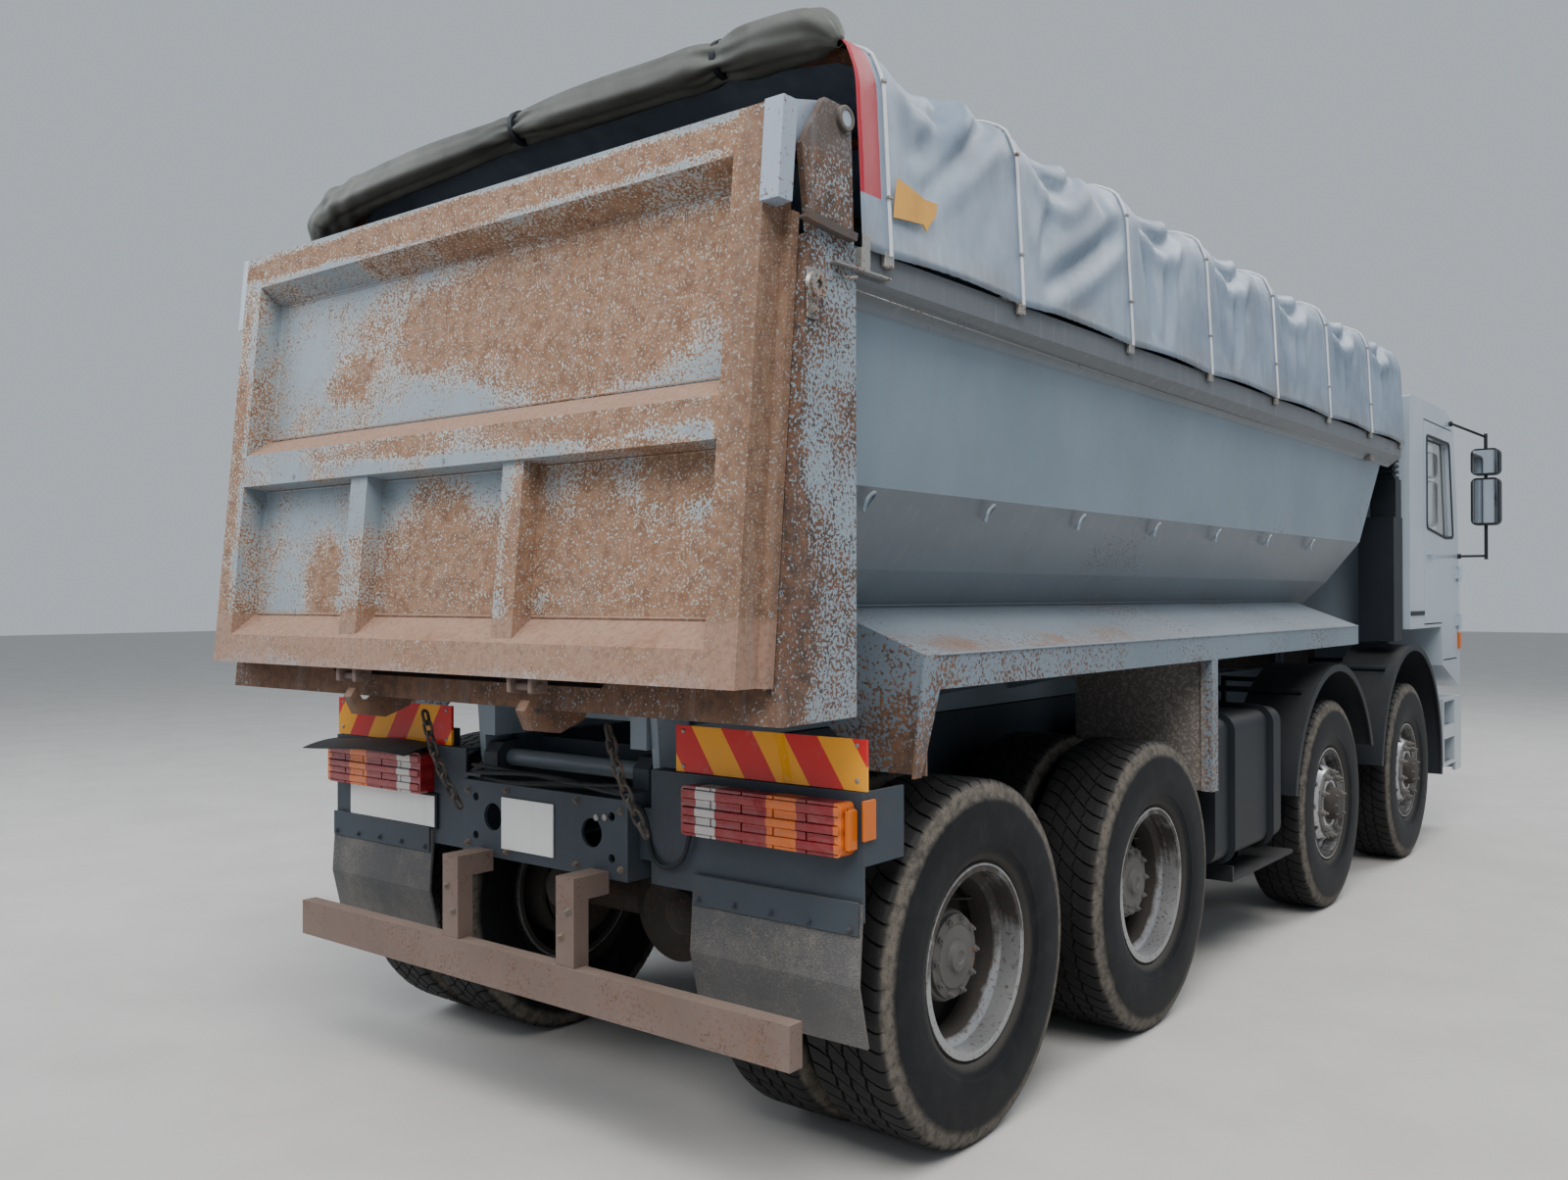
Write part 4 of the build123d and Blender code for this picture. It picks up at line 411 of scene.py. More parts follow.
class Graph:
    """Adds shader nodes to a tree and joins them."""
    effects: dict[str, bpy.types.NodeTree] = {}

    def __init__(self, tree: bpy.types.NodeTree) -> None:
        """Works on one tree."""
        self.tree = tree

    def feed(self, socket: bpy.types.NodeSocket, value: object) -> None:
        """Joins a socket to a value of the graph, or sets it to a number or a colour."""
        if isinstance(value, Value):
            self.tree.links.new(value.socket, socket)
        else:
            socket.default_value = (*value, 1.0) if socket.type == "RGBA" else value

    def node(self, kind: str, inputs: dict[object, object] | None = None,
             **settings: object) -> bpy.types.Node:
        """Adds a node.

        Args:
            kind: the node's type.
            inputs: values by input name or number.
            settings: the node's own settings.
        Returns:
            The node.
        """
        made = self.tree.nodes.new(kind)
        for name, value in settings.items():
            setattr(made, name, value)
        for key, value in (inputs or {}).items():
            self.feed(made.inputs[key], value)
        return made

    def calc(self, operation: str, *values: object) -> Value:
        """One step of arithmetic."""
        made = self.node("ShaderNodeMath", dict(enumerate(values)), operation=operation)
        return Value(self, made.outputs[0])

    def step(self, value: object, low: float, high: float) -> Value:
        """A smooth rise from 0 at low to 1 at high."""
        made = self.node("ShaderNodeMapRange", {0: value, 1: low, 2: high}, interpolation_type="SMOOTHSTEP")
        return Value(self, made.outputs[0])

    def mix(self, share: object, a: object, b: object) -> Value:
        """Colour a turned to colour b by a share."""
        return Value(self, self.node("ShaderNodeMix", {0: share, 6: a, 7: b}, data_type="RGBA").outputs[2])

    def noise(self, vector: Value, scale: object, detail: float, rough: float) -> Value:
        """Cloudy values about a half."""
        made = self.node("ShaderNodeTexNoise", {"Vector": vector, "Scale": scale, "Detail": detail,
                                                "Roughness": rough})
        return Value(self, made.outputs["Fac"])

    def stretched(self, vector: Value, *axes: float) -> Value:
        """A vector scaled along each axis."""
        made = self.node("ShaderNodeVectorMath", {0: vector, 1: axes}, operation="MULTIPLY")
        return Value(self, made.outputs[0])

    def axes(self, vector: Value) -> tuple[Value, ...]:
        """A vector's three numbers."""
        return tuple(Value(self, one) for one in self.node("ShaderNodeSeparateXYZ", {0: vector}).outputs)

    @cached_property
    def place(self) -> Value:
        """Where a point of the surface is on the object, in metres."""
        return Value(self, self.node("ShaderNodeTexCoord").outputs["Object"])

    @cached_property
    def xyz(self) -> tuple[Value, ...]:
        """The place's three numbers."""
        return self.axes(self.place)

    @cached_property
    def uv(self) -> Value:
        """The piece's own pattern places."""
        return Value(self, self.node("ShaderNodeUVMap", uv_map="UVMap").outputs[0])

    @cached_property
    def normal(self) -> tuple[Value, ...]:
        """The three numbers of the direction that the surface faces. The last says how much it looks up."""
        return self.axes(Value(self, self.node("ShaderNodeNewGeometry").outputs["Normal"]))

    def bump(self, height: Value, depth: float, strength: float = 0.6) -> Value:
        """A normal from a height.

        Args:
            height: the height.
            depth: what a height of one means in metres.
            strength: the share that shows.
        Returns:
            The normal.
        """
        made = self.node("ShaderNodeBump", {"Height": height, "Distance": depth, "Strength": strength})
        return Value(self, made.outputs[0])

    def shade(self, inputs: dict[str, object]) -> None:
        """Feeds the material's shader by input name."""
        for key, value in inputs.items():
            self.feed(self.tree.nodes["Principled BSDF"].inputs[key], value)

    def use(self, maker: Callable[[], bpy.types.NodeTree], vector: Value,
            **values: object) -> dict[str, Value]:
        """Places a shared effect, which is built once.

        Args:
            maker: the function that builds it.
            vector: its places.
            values: its other inputs by name.
        Returns:
            Its results by name.
        """
        if maker.__name__ not in self.effects:
            self.effects[maker.__name__] = maker()
        made = self.node("ShaderNodeGroup", node_tree=self.effects[maker.__name__])
        for key, value in {"Vector": vector, **values}.items():
            self.feed(made.inputs[key], value)
        return {one.name: Value(self, one) for one in made.outputs}

    def results(self, **values: Value) -> bpy.types.NodeTree:
        """Ends a shared effect with its results by name."""
        for name in values:
            self.tree.interface.new_socket(name, in_out="OUTPUT", socket_type="NodeSocketFloat")
        self.node("NodeGroupOutput", values)
        return self.tree


def effect(name: str, **numbers: float) -> tuple[Graph, list[Value]]:
    """Starts a shared effect that takes places and some numbers.

    Args:
        name: the group's name.
        numbers: first value by input name.
    Returns:
        The group's graph and its inputs, the places first.
    """
    graph = Graph(bpy.data.node_groups.new(name, "ShaderNodeTree"))
    made = graph.tree.interface
    made.new_socket("Vector", in_out="INPUT", socket_type="NodeSocketVector")
    for key, value in numbers.items():
        made.new_socket(key, in_out="INPUT", socket_type="NodeSocketFloat").default_value = value
    source = graph.node("NodeGroupInput")
    return graph, [Value(graph, source.outputs[key]) for key in ("Vector", *numbers)]


def rust_effect() -> bpy.types.NodeTree:
    """Paint broken by rust: fine specks that crowd where a broad cloud is dense, and larger bare patches."""
    graph, (place, fineness, specks, breadth, patches, bias, most) = effect(
        "rust_specks", Fineness=90.0, Specks=0.4, Breadth=3.0, Patches=0.3, Bias=0.0, Most=0.1)
    fine = graph.noise(place, fineness, 3.0, 0.6)
    medium = graph.noise(place, fineness * 0.3, 4.0, 0.7)
    crowd = (graph.noise(place, breadth, 5.0, 0.62) - 0.5) * 1.3 + bias
    dense = graph.calc("MINIMUM", crowd * 0.5 + (specks - 1.0) * 0.45, most)
    speck = graph.step(fine + dense, 0.285, 0.315)
    patch = graph.step(medium * 0.5 + crowd + (patches - 1.0) * 0.6, -0.02, 0.12)
    height = fine * 0.25 - graph.calc("MAXIMUM", speck, patch)
    return graph.results(Speck=speck, Patch=patch, Height=height, Crowd=graph.step(dense, -0.34, -0.12))


def dust_effect() -> bpy.types.NodeTree:
    """Dust that settles on what looks up and is thrown on what is low, broken by clouds and streaks."""
    graph, (place, up, low, floor, ceiling, streaks) = effect(
        "settled_dust", Up=0.5, Low=0.5, Floor=0.4, Ceiling=1.6, Streaks=0.3)
    cloud = graph.noise(place, 4.0, 6.0, 0.65)
    grit = graph.noise(place, 140.0, 2.0, 0.6)
    reach = graph.node("ShaderNodeMapRange", {0: graph.axes(place)[2], 1: ceiling, 2: floor}).outputs[0]
    total = graph.step(graph.normal[2], 0.25, 0.95) * up + Value(graph, reach) * low
    broken = (total * (cloud * 1.5 + (grit - 0.5) * 0.9)).clamped()
    run = graph.noise(graph.stretched(place, 22.0, 22.0, 1.1), 1.0, 4.0, 0.6)
    return graph.results(Dust=broken, Streak=graph.step(run, 0.52, 0.72) * streaks)


def grain_effect() -> bpy.types.NodeTree:
    """A fine uneven skin, as on sprayed paint, cast iron or moulded plastic."""
    graph, (place, fineness, ripple) = effect("skin_grain", Fineness=400.0, Ripple=0.3)
    fine = graph.noise(place, fineness, 2.0, 0.5)
    return graph.results(Height=fine + graph.noise(place, 9.0, 2.0, 0.5) * ripple)


def weave_effect() -> bpy.types.NodeTree:
    """Crossed threads on the given places."""
    graph, (place, threads) = effect("cloth_weave", Threads=900.0)
    over, under, _ = (graph.calc("SINE", axis * threads) for axis in graph.axes(place))
    return graph.results(Height=over * under * 0.5)


DUST: Colour = (0.33, 0.28, 0.22)
RUST_ORANGE: Colour = (0.30, 0.135, 0.062)
RUST_DARK: Colour = (0.085, 0.038, 0.022)
BODY_BLUE: Colour = (0.170, 0.225, 0.280)
CLAY: Colour = (0.30, 0.185, 0.135)
DAMP_CLAY: Colour = (0.19, 0.115, 0.085)
BLEACHED: Colour = (0.46, 0.445, 0.40)
# Painted shade: the dark colour the hull takes on the rail under the sheet's hem and on faces looking down.
HULL_PAINTED_SHADE: Colour = (0.052, 0.048, 0.045)
BROWN_GRIME: Colour = (0.082, 0.066, 0.060)
STILE_STAIN: Colour = (0.085, 0.052, 0.038)
RUST_SMEAR: Colour = (0.150, 0.082, 0.052)
DARK_GRIT: Colour = (0.150, 0.132, 0.120)
PALE_GRIT: Colour = (0.300, 0.260, 0.228)
TREAD_DUST: Colour = (0.14, 0.125, 0.105)
SIDE_DUST: Colour = (0.10, 0.095, 0.09)
HEM_DIRT: Colour = (0.25, 0.23, 0.20)
CLEAR_FRONT: Colour = (0.66, 0.68, 0.70)


@dataclass(frozen=True)
class Finish:
    """What a surface is made of. The material is built once and shared."""
    name: str
    base: Colour = (0.5, 0.5, 0.5)
    roughness: float = 0.5
    metallic: float = 0.0
    shine: float = 0.5

    def material(self) -> bpy.types.Material:
        """The finish's material."""
        name = f"finish_{self.name}"
        found = bpy.data.materials.get(name)
        if found:
            return found
        made = bpy.data.materials.new(name)
        made.use_nodes = True
        graph = Graph(made.node_tree)
        graph.shade({"Roughness": self.roughness, "Metallic": self.metallic, "Specular IOR Level": self.shine,
                     "Base Color": self.base})
        self.paint(graph)
        return made

    def paint(self, graph: Graph) -> None:
        """Adds the finish's own nodes."""
        raise NotImplementedError


@dataclass(frozen=True)
class Weathered(Finish):
    """Paint, iron or plastic with specks of rust, bare patches, settled dust and run-down streaks."""
    shade: Colour = (0.4, 0.4, 0.4)
    rust: Colour = RUST_ORANGE
    deep: Colour = RUST_DARK
    fineness: float = 90.0
    specks: float = 0.0
    breadth: float = 3.0
    patches: float = 0.0
    most: float = 0.1
    bleach: float = 0.0
    dust: Colour = DUST
    up: float = 0.4
    low: float = 0.4
    floor: float = 0.3
    ceiling: float = 1.6
    streaks: float = 0.2
    grain: float = 300.0
    relief: float = 0.0006
    gloss: float = 0.0

    def bias(self, graph: Graph) -> object:
        """Where rust gathers more than elsewhere."""
        return 0.0

    def coat(self, graph: Graph, tint: Value) -> Value:
        """What lies over the rust and under the dust."""
        return tint

    def paint(self, graph: Graph) -> None:
        """Layers the shade, rust, streaks and dust. Rust and dust have their own roughness."""
        place = graph.place
        tint = graph.mix(graph.step(graph.noise(place, 1.7, 5.0, 0.6), 0.35, 0.68), self.base, self.shade)
        dust = graph.use(dust_effect, place, Up=self.up, Low=self.low, Floor=self.floor, Ceiling=self.ceiling,
                         Streaks=self.streaks)
        height = graph.use(grain_effect, place, Fineness=self.grain, Ripple=0.4)["Height"] * 0.35
        rough = self.roughness
        if self.specks > 0 or self.patches > 0:
            rust = graph.use(rust_effect, place, Fineness=self.fineness, Specks=self.specks, Most=self.most,
                             Breadth=self.breadth, Patches=self.patches, Bias=self.bias(graph))
            hue = graph.noise(place, 28.0, 4.0, 0.7)
            orange = graph.mix(graph.step(hue, 0.35, 0.7), self.rust, self.deep)
            tint = graph.mix(rust["Crowd"] * self.bleach, tint, BLEACHED)
            tint = graph.mix(rust["Patch"], tint, graph.mix(graph.step(hue, 0.3, 0.75), self.rust, orange))
            tint = graph.mix(rust["Speck"], tint, orange)
            either = graph.calc("MAXIMUM", rust["Speck"], rust["Patch"])
            rough = either * (0.9 - self.roughness) + self.roughness
            height = height + rust["Height"]
        tint = self.coat(graph, tint)
        washed = tuple(0.55 * c + 0.25 * d for c, d in zip(self.base, self.dust))
        tint = graph.mix(dust["Dust"], graph.mix(dust["Streak"], tint, washed), self.dust)
        graph.shade({"Base Color": tint, "Roughness": (dust["Dust"] * 0.35 + rough).clamped(),
                     "Normal": graph.bump(height, self.relief), "Coat Weight": self.gloss,
                     "Coat Roughness": 0.18})


@dataclass(frozen=True)
class HullPaint(Weathered):
    """The tipping hull: painted shadow on the rail under the sheet's hem, painted shade on whatever looks down.
    """

    def coat(self, graph: Graph, tint: Value) -> Value:
        """Painted shadow on the rail under the hem and painted shade on the belly, as a dark colour mixed in.
        """
        # The rail band is a painted shadow of the sheet's hem; the belly mask is painted shade on faces looking
        # down.
        rail = graph.step(graph.xyz[2], 2.455, 2.50) * 0.72
        belly = graph.step(graph.normal[2], -0.12, -0.62) * 0.42
        return graph.mix(graph.calc("MAXIMUM", rail, belly), tint, HULL_PAINTED_SHADE)


@dataclass(frozen=True)
class RearFramePaint(Weathered):
    """The rear pillars: specks crowd near the tailgate, the sill is brown and the hinge plates are grimy."""

    def bias(self, graph: Graph) -> Value:
        """Rust rises towards the ground and towards the tailgate's edge."""
        x, y, z = graph.xyz
        under = graph.step(z, 1.66, 1.44) * graph.step(abs(x), 1.27, 1.18)
        edge = graph.step(y, along(-0.93), along(-1.00))
        return under * 0.70 + edge * 0.34 + graph.step(z, 2.62, 2.64) * 0.16

    def coat(self, graph: Graph, tint: Value) -> Value:
        """Dark grime over the upper half of the hinge plates."""
        broken = graph.xyz[2] + graph.noise(graph.place, 14.0, 5.0, 0.65) * 0.10
        return graph.mix(graph.step(broken, 2.84, 2.90) * 0.86, tint, BROWN_GRIME)


@dataclass(frozen=True)
class ShelfPaint(Weathered):
    """The guards over the wheels: rusty along the rear of the shelf's edge, with grimy stone guards."""

    def bias(self, graph: Graph) -> Value:
        """Rust is dense along the rear of the shelf's outer edge and at the rear corner."""
        x, y, z = graph.xyz
        rear = graph.step(y, along(1.6), along(-0.30)) * graph.step(abs(x), 1.04, 1.20)
        corner = graph.step(y, along(-0.20), along(-0.36))
        return rear * 0.21 + corner * 0.07 + graph.step(z, 1.40, 1.20) * 0.12

    def coat(self, graph: Graph, tint: Value) -> Value:
        """Orange smears along the shelf's edge, grime with grit on the inner walls and the stone guards."""
        x, y, _ = graph.xyz
        edge = graph.step(y, along(2.0), along(0.5)) * graph.step(abs(x), 1.06, 1.20)
        patchy = graph.step(graph.noise(graph.place, 3.2, 5.0, 0.6), 0.38, 0.60)
        smear = edge * graph.step(graph.normal[2], 0.2, 0.6) * patchy
        tint = graph.mix(smear * 0.88, tint, RUST_SMEAR)
        side = graph.step(abs(graph.normal[1]), 0.5, 0.9)
        wall = side * graph.step(y, along(1.2), along(1.7)) * graph.step(abs(x), 1.235, 1.205)
        coarse = graph.step(graph.noise(graph.place, 95.0, 3.0, 0.6), 0.48, 0.60)
        grit = graph.mix(coarse, DARK_GRIT, PALE_GRIT)
        under = graph.step(graph.normal[2], -0.3, -0.8) * 0.8
        return graph.mix(graph.calc("MAXIMUM", wall * 0.9, under), tint, grit)


@dataclass(frozen=True)
class TailgatePaint(Weathered):
    """The tailgate: raised rails rust most, the lower ones under a coat of clay."""
    # Rusty clouds: place across, height, reach across, reach in height, strength
    clouds: tuple[tuple[float, float, float, float, float], ...] = (
        (-0.08, 1.78, 0.36, 0.28, 0.52), (0.74, 1.74, 0.46, 0.30, 0.40), (0.93, 2.02, 0.18, 0.10, 0.42),
        (0.50, 2.52, 0.85, 0.26, 0.52), (-0.22, 2.54, 0.14, 0.16, 0.40), (-0.64, 2.42, 0.16, 0.10, 0.30),
        (-0.70, 1.72, 0.12, 0.22, 0.42), (1.19, 2.15, 0.10, 1.10, 0.62), (0.36, 1.85, 0.05, 0.26, 0.30),
        (0.0, 2.86, 1.60, 0.05, 0.66), (-1.19, 2.1, 0.05, 1.0, 0.25), (0.25, 2.16, 1.2, 0.05, 0.36),
        (0.0, 1.56, 1.5, 0.10, 0.45), (0.2, 2.775, 1.1, 0.045, 0.22))

    def bias(self, graph: Graph) -> Value:
        """Rust is worst on ledges that look up and in the clouds.

        A cloud falls smoothly with the squared distance from its middle in shares of its reaches.
        """
        x, _, z = graph.xyz
        total = graph.step(graph.normal[2], 0.16, 0.50) * 0.55
        for at_x, at_z, reach_x, reach_z, strength in self.clouds:
            dx, dz = (x - at_x) / reach_x, (z - at_z) / reach_z
            total = total + graph.step(dx * dx + dz * dz, 1.3, 0.0) * strength
        return total

    def coat(self, graph: Graph, tint: Value) -> Value:
        """Pinkish clay lies over the bottom rail and the ledges."""
        x, _, z = graph.xyz
        tint = graph.mix(graph.step(x, 1.10, 1.17) * 0.30, tint, STILE_STAIN)
        low, ledge = graph.step(z, 1.645, 1.615) * 0.85, graph.step(graph.normal[2], 0.25, 0.55) * 0.75
        broken = graph.step(graph.noise(graph.place, 5.0, 5.0, 0.6), 0.22, 0.50)
        speckled = graph.mix(graph.step(graph.noise(graph.place, 60.0, 4.0, 0.7), 0.4, 0.7), CLAY, DAMP_CLAY)
        return graph.mix(graph.calc("MAXIMUM", low, ledge) * broken, tint, speckled)


@dataclass(frozen=True)
class Rubber(Finish):
    """A tyre: black side, brown dusty shoulder, grey dust in the grooves. Reads the piece's own pattern
    places, whose second number is the distance from the axle in metres."""
    shoulder: Colour = (0.150, 0.133, 0.112)

    def paint(self, graph: Graph) -> None:
        """Bands by the distance from the axle, broken by clouds."""
        place, radius = graph.place, graph.axes(graph.uv)[1]
        cloud = graph.noise(place, 14.0, 5.0, 0.65)
        grit = graph.noise(place, 190.0, 2.0, 0.6)
        worn = graph.step(graph.noise(place, 30.0, 4.0, 0.7), 0.30, 0.62)
        spread = radius + (cloud - 0.5) * 0.022
        band = graph.step(spread, 0.490, 0.516) * graph.step(spread, 0.556, 0.540) * (worn * 0.65 + 0.35)
        bead = graph.step(spread, 0.338, 0.318) * 0.25
        dusty = ((band + bead) * (grit * 0.8 + 0.45)).clamped()
        tint = graph.mix(dusty, self.base, self.shoulder)
        tint = graph.mix(graph.step(spread, 0.540, 0.550) * (grit * 0.14), tint, TREAD_DUST)
        tint = graph.mix(graph.step(cloud, 0.45, 0.7) * 0.06, tint, SIDE_DUST)
        rings = graph.calc("SINE", radius * 900.0)
        graph.shade({"Base Color": tint, "Roughness": dusty * 0.4 + 0.55,
                     "Normal": graph.bump(rings * 0.15 + grit, 0.0007)})


@dataclass(frozen=True)
class WheelSteel(Finish):
    """Silver wheel paint under brown dirt. The front wheels are bright on the disc round the hub, the rear
    ones on the outer part of the barrel, most below the axle."""
    axle: int = 4
    dirt: Colour = (0.036, 0.032, 0.029)

    def paint(self, graph: Graph) -> None:
        """Dirt by the place on the wheel, broken by clouds and smears round the wheel."""
        place = graph.place
        x, y, z = graph.xyz
        dy, dz = y - along(AXLES[self.axle]), z - AXLE_Z
        radius = graph.calc("SQRT", dy * dy + dz * dz)
        cloud = graph.noise(place, 9.0, 6.0, 0.7)
        smear = graph.noise(graph.stretched(place, 90.0, 6.0, 6.0), 1.0, 5.0, 0.7)
        if self.axle <= 2:
            clean = graph.step(radius, 0.095, 0.130) * graph.step(radius, 0.285, 0.262)
        else:
            clean = graph.step(abs(x), 1.095, 1.150) * (graph.step(dz, 0.16, -0.14) * 0.65 + 0.35)
        clean = graph.calc("MAXIMUM", clean, graph.step(radius, 0.288, 0.294) * 0.7)
        share = graph.step((cloud + smear * 0.55) * (1.45 - clean * 1.12), 0.42, 0.84)
        spots = graph.step(graph.noise(place, 75.0, 3.0, 0.6), 0.58, 0.64)
        tint = graph.mix(spots * 0.6, graph.mix(share, self.base, self.dirt), RUST_DARK)
        graph.shade({"Base Color": tint, "Roughness": share * 0.50 + 0.34, "Metallic": 0.6 - share * 0.6,
                     "Normal": graph.bump(smear * 0.6 + cloud, 0.0012)})


@dataclass(frozen=True)
class CoatedCloth(Finish):
    """Coated sheeting: mottled silver grey, darker in water stains, with a red band at the rear."""
    shade: Colour = (0.2, 0.2, 0.2)
    band: Colour = (0.31, 0.006, 0.022)
    banded: bool = False
    threads: float = 2600.0

    def paint(self, graph: Graph) -> None:
        """Clouds and streaks in the coating, weave in its relief."""
        place = graph.place
        _, y, z = graph.xyz
        cloud = graph.noise(place, 2.6, 6.0, 0.62)
        stain = graph.noise(graph.stretched(place, 7.0, 7.0, 1.6), 1.0, 5.0, 0.62)
        tint = graph.mix(graph.step(cloud, 0.36, 0.66), self.base, self.shade)
        tint = graph.mix(graph.step(stain, 0.52, 0.74) * 0.35, tint, tuple(0.55 * c for c in self.shade))
        foot = graph.step(z, 2.74, 2.62) * graph.step(cloud, 0.35, 0.6)
        tint = graph.mix(foot * 0.35, tint, HEM_DIRT)
        if self.banded:
            rear = graph.step(y, along(-0.628), along(-0.632)) * graph.step(z, 2.752, 2.758)
            worn = graph.mix(graph.step(stain, 0.4, 0.8), self.band, tuple(1.25 * c for c in self.band))
            tint = graph.mix(rear, tint, worn)
        weave = graph.use(weave_effect, graph.uv, Threads=self.threads)["Height"]
        crease = graph.noise(place, 30.0, 4.0, 0.6)
        graph.shade({"Base Color": tint, "Roughness": (cloud - 0.5) * 0.3 + self.roughness,
                     "Normal": graph.bump(weave + crease * 3.0, 0.0006)})


@dataclass(frozen=True)
class LampLens(Finish):
    """Ribbed lamp lens: bands across the rear lamps by the distance from the middle, clear glass in front.
    The bands run outwards as red, white, red, amber, red, amber."""
    clear: Colour = (0.46, 0.43, 0.42)
    amber: Colour = (0.62, 0.13, 0.012)

    def paint(self, graph: Graph) -> None:
        """Hard-edged bands, three stepped ribs in height and fine grit."""
        x, y, z = graph.xyz
        out = abs(x)
        tint: object = self.base
        bands = ((0.688, 0.765, self.clear), (0.955, 1.060, self.amber), (1.188, 1.30, self.amber))
        for low, high, colour in bands:
            tint = graph.mix((out > low) * (out < high), tint, colour)
        tint = graph.mix(y > 0.0, tint, CLEAR_FRONT)
        grime = graph.noise(graph.place, 20.0, 5.0, 0.65)
        tint = graph.mix(graph.step(grime, 0.45, 0.75) * 0.15, tint, DUST)
        ribs = graph.calc("SINE", z * (2 * math.pi / 0.048))
        flutes = graph.calc("SINE", x * (2 * math.pi / 0.008))
        graph.shade({"Base Color": tint, "Roughness": grime * 0.3 + 0.14, "Coat Weight": 0.6,
                     "Coat Roughness": 0.08, "Normal": graph.bump(ribs + flutes * 0.06, 0.003, 0.8)})


@dataclass(frozen=True)
class StripedBoard(Finish):
    """Reflecting board with slanted stripes that fall outwards on both sides of the truck."""
    amber: Colour = (0.80, 0.33, 0.005)
    width: float = 0.118
    slope: float = 0.66

    def paint(self, graph: Graph) -> None:
        """Stripes from the distance across plus a share of the height, with fine cells and grime."""
        x, _, z = graph.xyz
        part = graph.calc("FRACT", (abs(x) + z * self.slope + 0.068) / (2 * self.width))
        tint = graph.mix(part > 0.5, self.base, self.amber)
        grime = graph.noise(graph.place, 13.0, 6.0, 0.7)
        tint = graph.mix(graph.step(grime, 0.55, 0.75) * 0.3, tint, DUST)
        cells = graph.noise(graph.place, 420.0, 1.0, 0.5)
        graph.shade({"Base Color": tint, "Roughness": grime * 0.3 + 0.2, "Coat Weight": 0.5,
                     "Normal": graph.bump(cells, 0.0002, 0.4)})


@dataclass(frozen=True)
class Glazing(Finish):
    """Window glass with a patchy film of dust."""

    def paint(self, graph: Graph) -> None:
        """Clear glass whose film changes its colour and roughness."""
        film = graph.noise(graph.place, 7.0, 6.0, 0.65)
        share = graph.step(film, 0.45, 0.8) * 0.12
        graph.shade({"Base Color": graph.mix(share, self.base, DUST), "Roughness": share * 0.6 + 0.02,
                     "Transmission Weight": 0.92, "IOR": 1.45, "Normal": graph.bump(film, 0.0002, 0.15)})


@dataclass(frozen=True)
class Upholstery(Finish):
    """Seat cloth with a coarse weave and darker worn patches."""
    shade: Colour = (0.05, 0.055, 0.07)

    def paint(self, graph: Graph) -> None:
        """Weave on the object's own places, clouds of wear."""
        cloud = graph.noise(graph.place, 12.0, 4.0, 0.6)
        weave = graph.use(weave_effect, graph.place, Threads=1500.0)["Height"]
        graph.shade({"Base Color": graph.mix(graph.step(cloud, 0.35, 0.7), self.base, self.shade),
                     "Roughness": cloud * 0.2 + 0.75, "Normal": graph.bump(weave, 0.001)})


HULL = HullPaint(
    "hull_paint", BODY_BLUE, 0.42, shade=(0.145, 0.195, 0.245), rust=(0.10, 0.062, 0.045),
    deep=(0.035, 0.028, 0.025), fineness=95.0, specks=0.09, breadth=1.3, patches=-1.0, up=0.20, low=0.10,
    floor=1.3, ceiling=2.3, streaks=0.35, gloss=0.12, relief=0.0005)
FRAME_PAINT = RearFramePaint(
    "rear_frame_paint", (0.225, 0.285, 0.335), 0.5, shade=(0.185, 0.24, 0.285), rust=(0.135, 0.068, 0.040),
    deep=(0.045, 0.029, 0.022), fineness=105.0, specks=0.53, breadth=3.2, patches=-1.0, most=-0.09,
    dust=(0.20, 0.12, 0.08), up=0.3, low=0.5, floor=1.3, ceiling=1.50, streaks=0.3, relief=0.0016)
GUARD_PAINT = ShelfPaint(
    "wheel_guard_paint", (0.150, 0.195, 0.240), 0.45, shade=(0.125, 0.165, 0.205),
    rust=(0.15, 0.078, 0.046), deep=(0.050, 0.034, 0.027), fineness=85.0, specks=0.22, breadth=1.5,
    patches=-0.6, most=-0.06, up=0.12, low=0.10, floor=0.8, ceiling=1.5, streaks=0.3, relief=0.0014)
GATE = TailgatePaint(
    "tailgate_paint", (0.215, 0.270, 0.310), 0.55, shade=(0.175, 0.225, 0.265), rust=(0.262, 0.150, 0.090),
    deep=(0.150, 0.076, 0.043), fineness=135.0, specks=0.39, breadth=3.4, patches=-1.0, most=-0.10,
    bleach=0.65, dust=CLAY, up=0.2, low=0.15, floor=1.40, ceiling=1.66, streaks=0.15, relief=0.0014)
BRACKET = Weathered(
    "bracket_paint", (0.265, 0.320, 0.400), 0.4, shade=(0.235, 0.285, 0.360), rust=(0.155, 0.066, 0.032),
    deep=(0.045, 0.028, 0.020), fineness=90.0, specks=0.16, breadth=5.0, patches=-1.0, up=0.2, low=0.0,
    streaks=0.2, gloss=0.1)
HINGE_STEEL = Weathered(
    "grimy_hinge_steel", (0.095, 0.082, 0.075), 0.6, shade=(0.062, 0.052, 0.047), rust=(0.15, 0.07, 0.04),
    fineness=95.0, specks=0.38, breadth=5.0, patches=0.1, up=0.5, relief=0.0012)
CLAY_STEEL = Weathered(
    "clay_coated_steel", (0.155, 0.110, 0.092), 0.75, shade=(0.120, 0.082, 0.068),
    rust=(0.17, 0.095, 0.065), deep=(0.085, 0.048, 0.036), fineness=110.0, specks=0.30, breadth=3.0,
    patches=0.20, dust=(0.22, 0.165, 0.135), up=0.7, low=0.25, floor=0.4, ceiling=0.7, streaks=0.35,
    relief=0.0012)
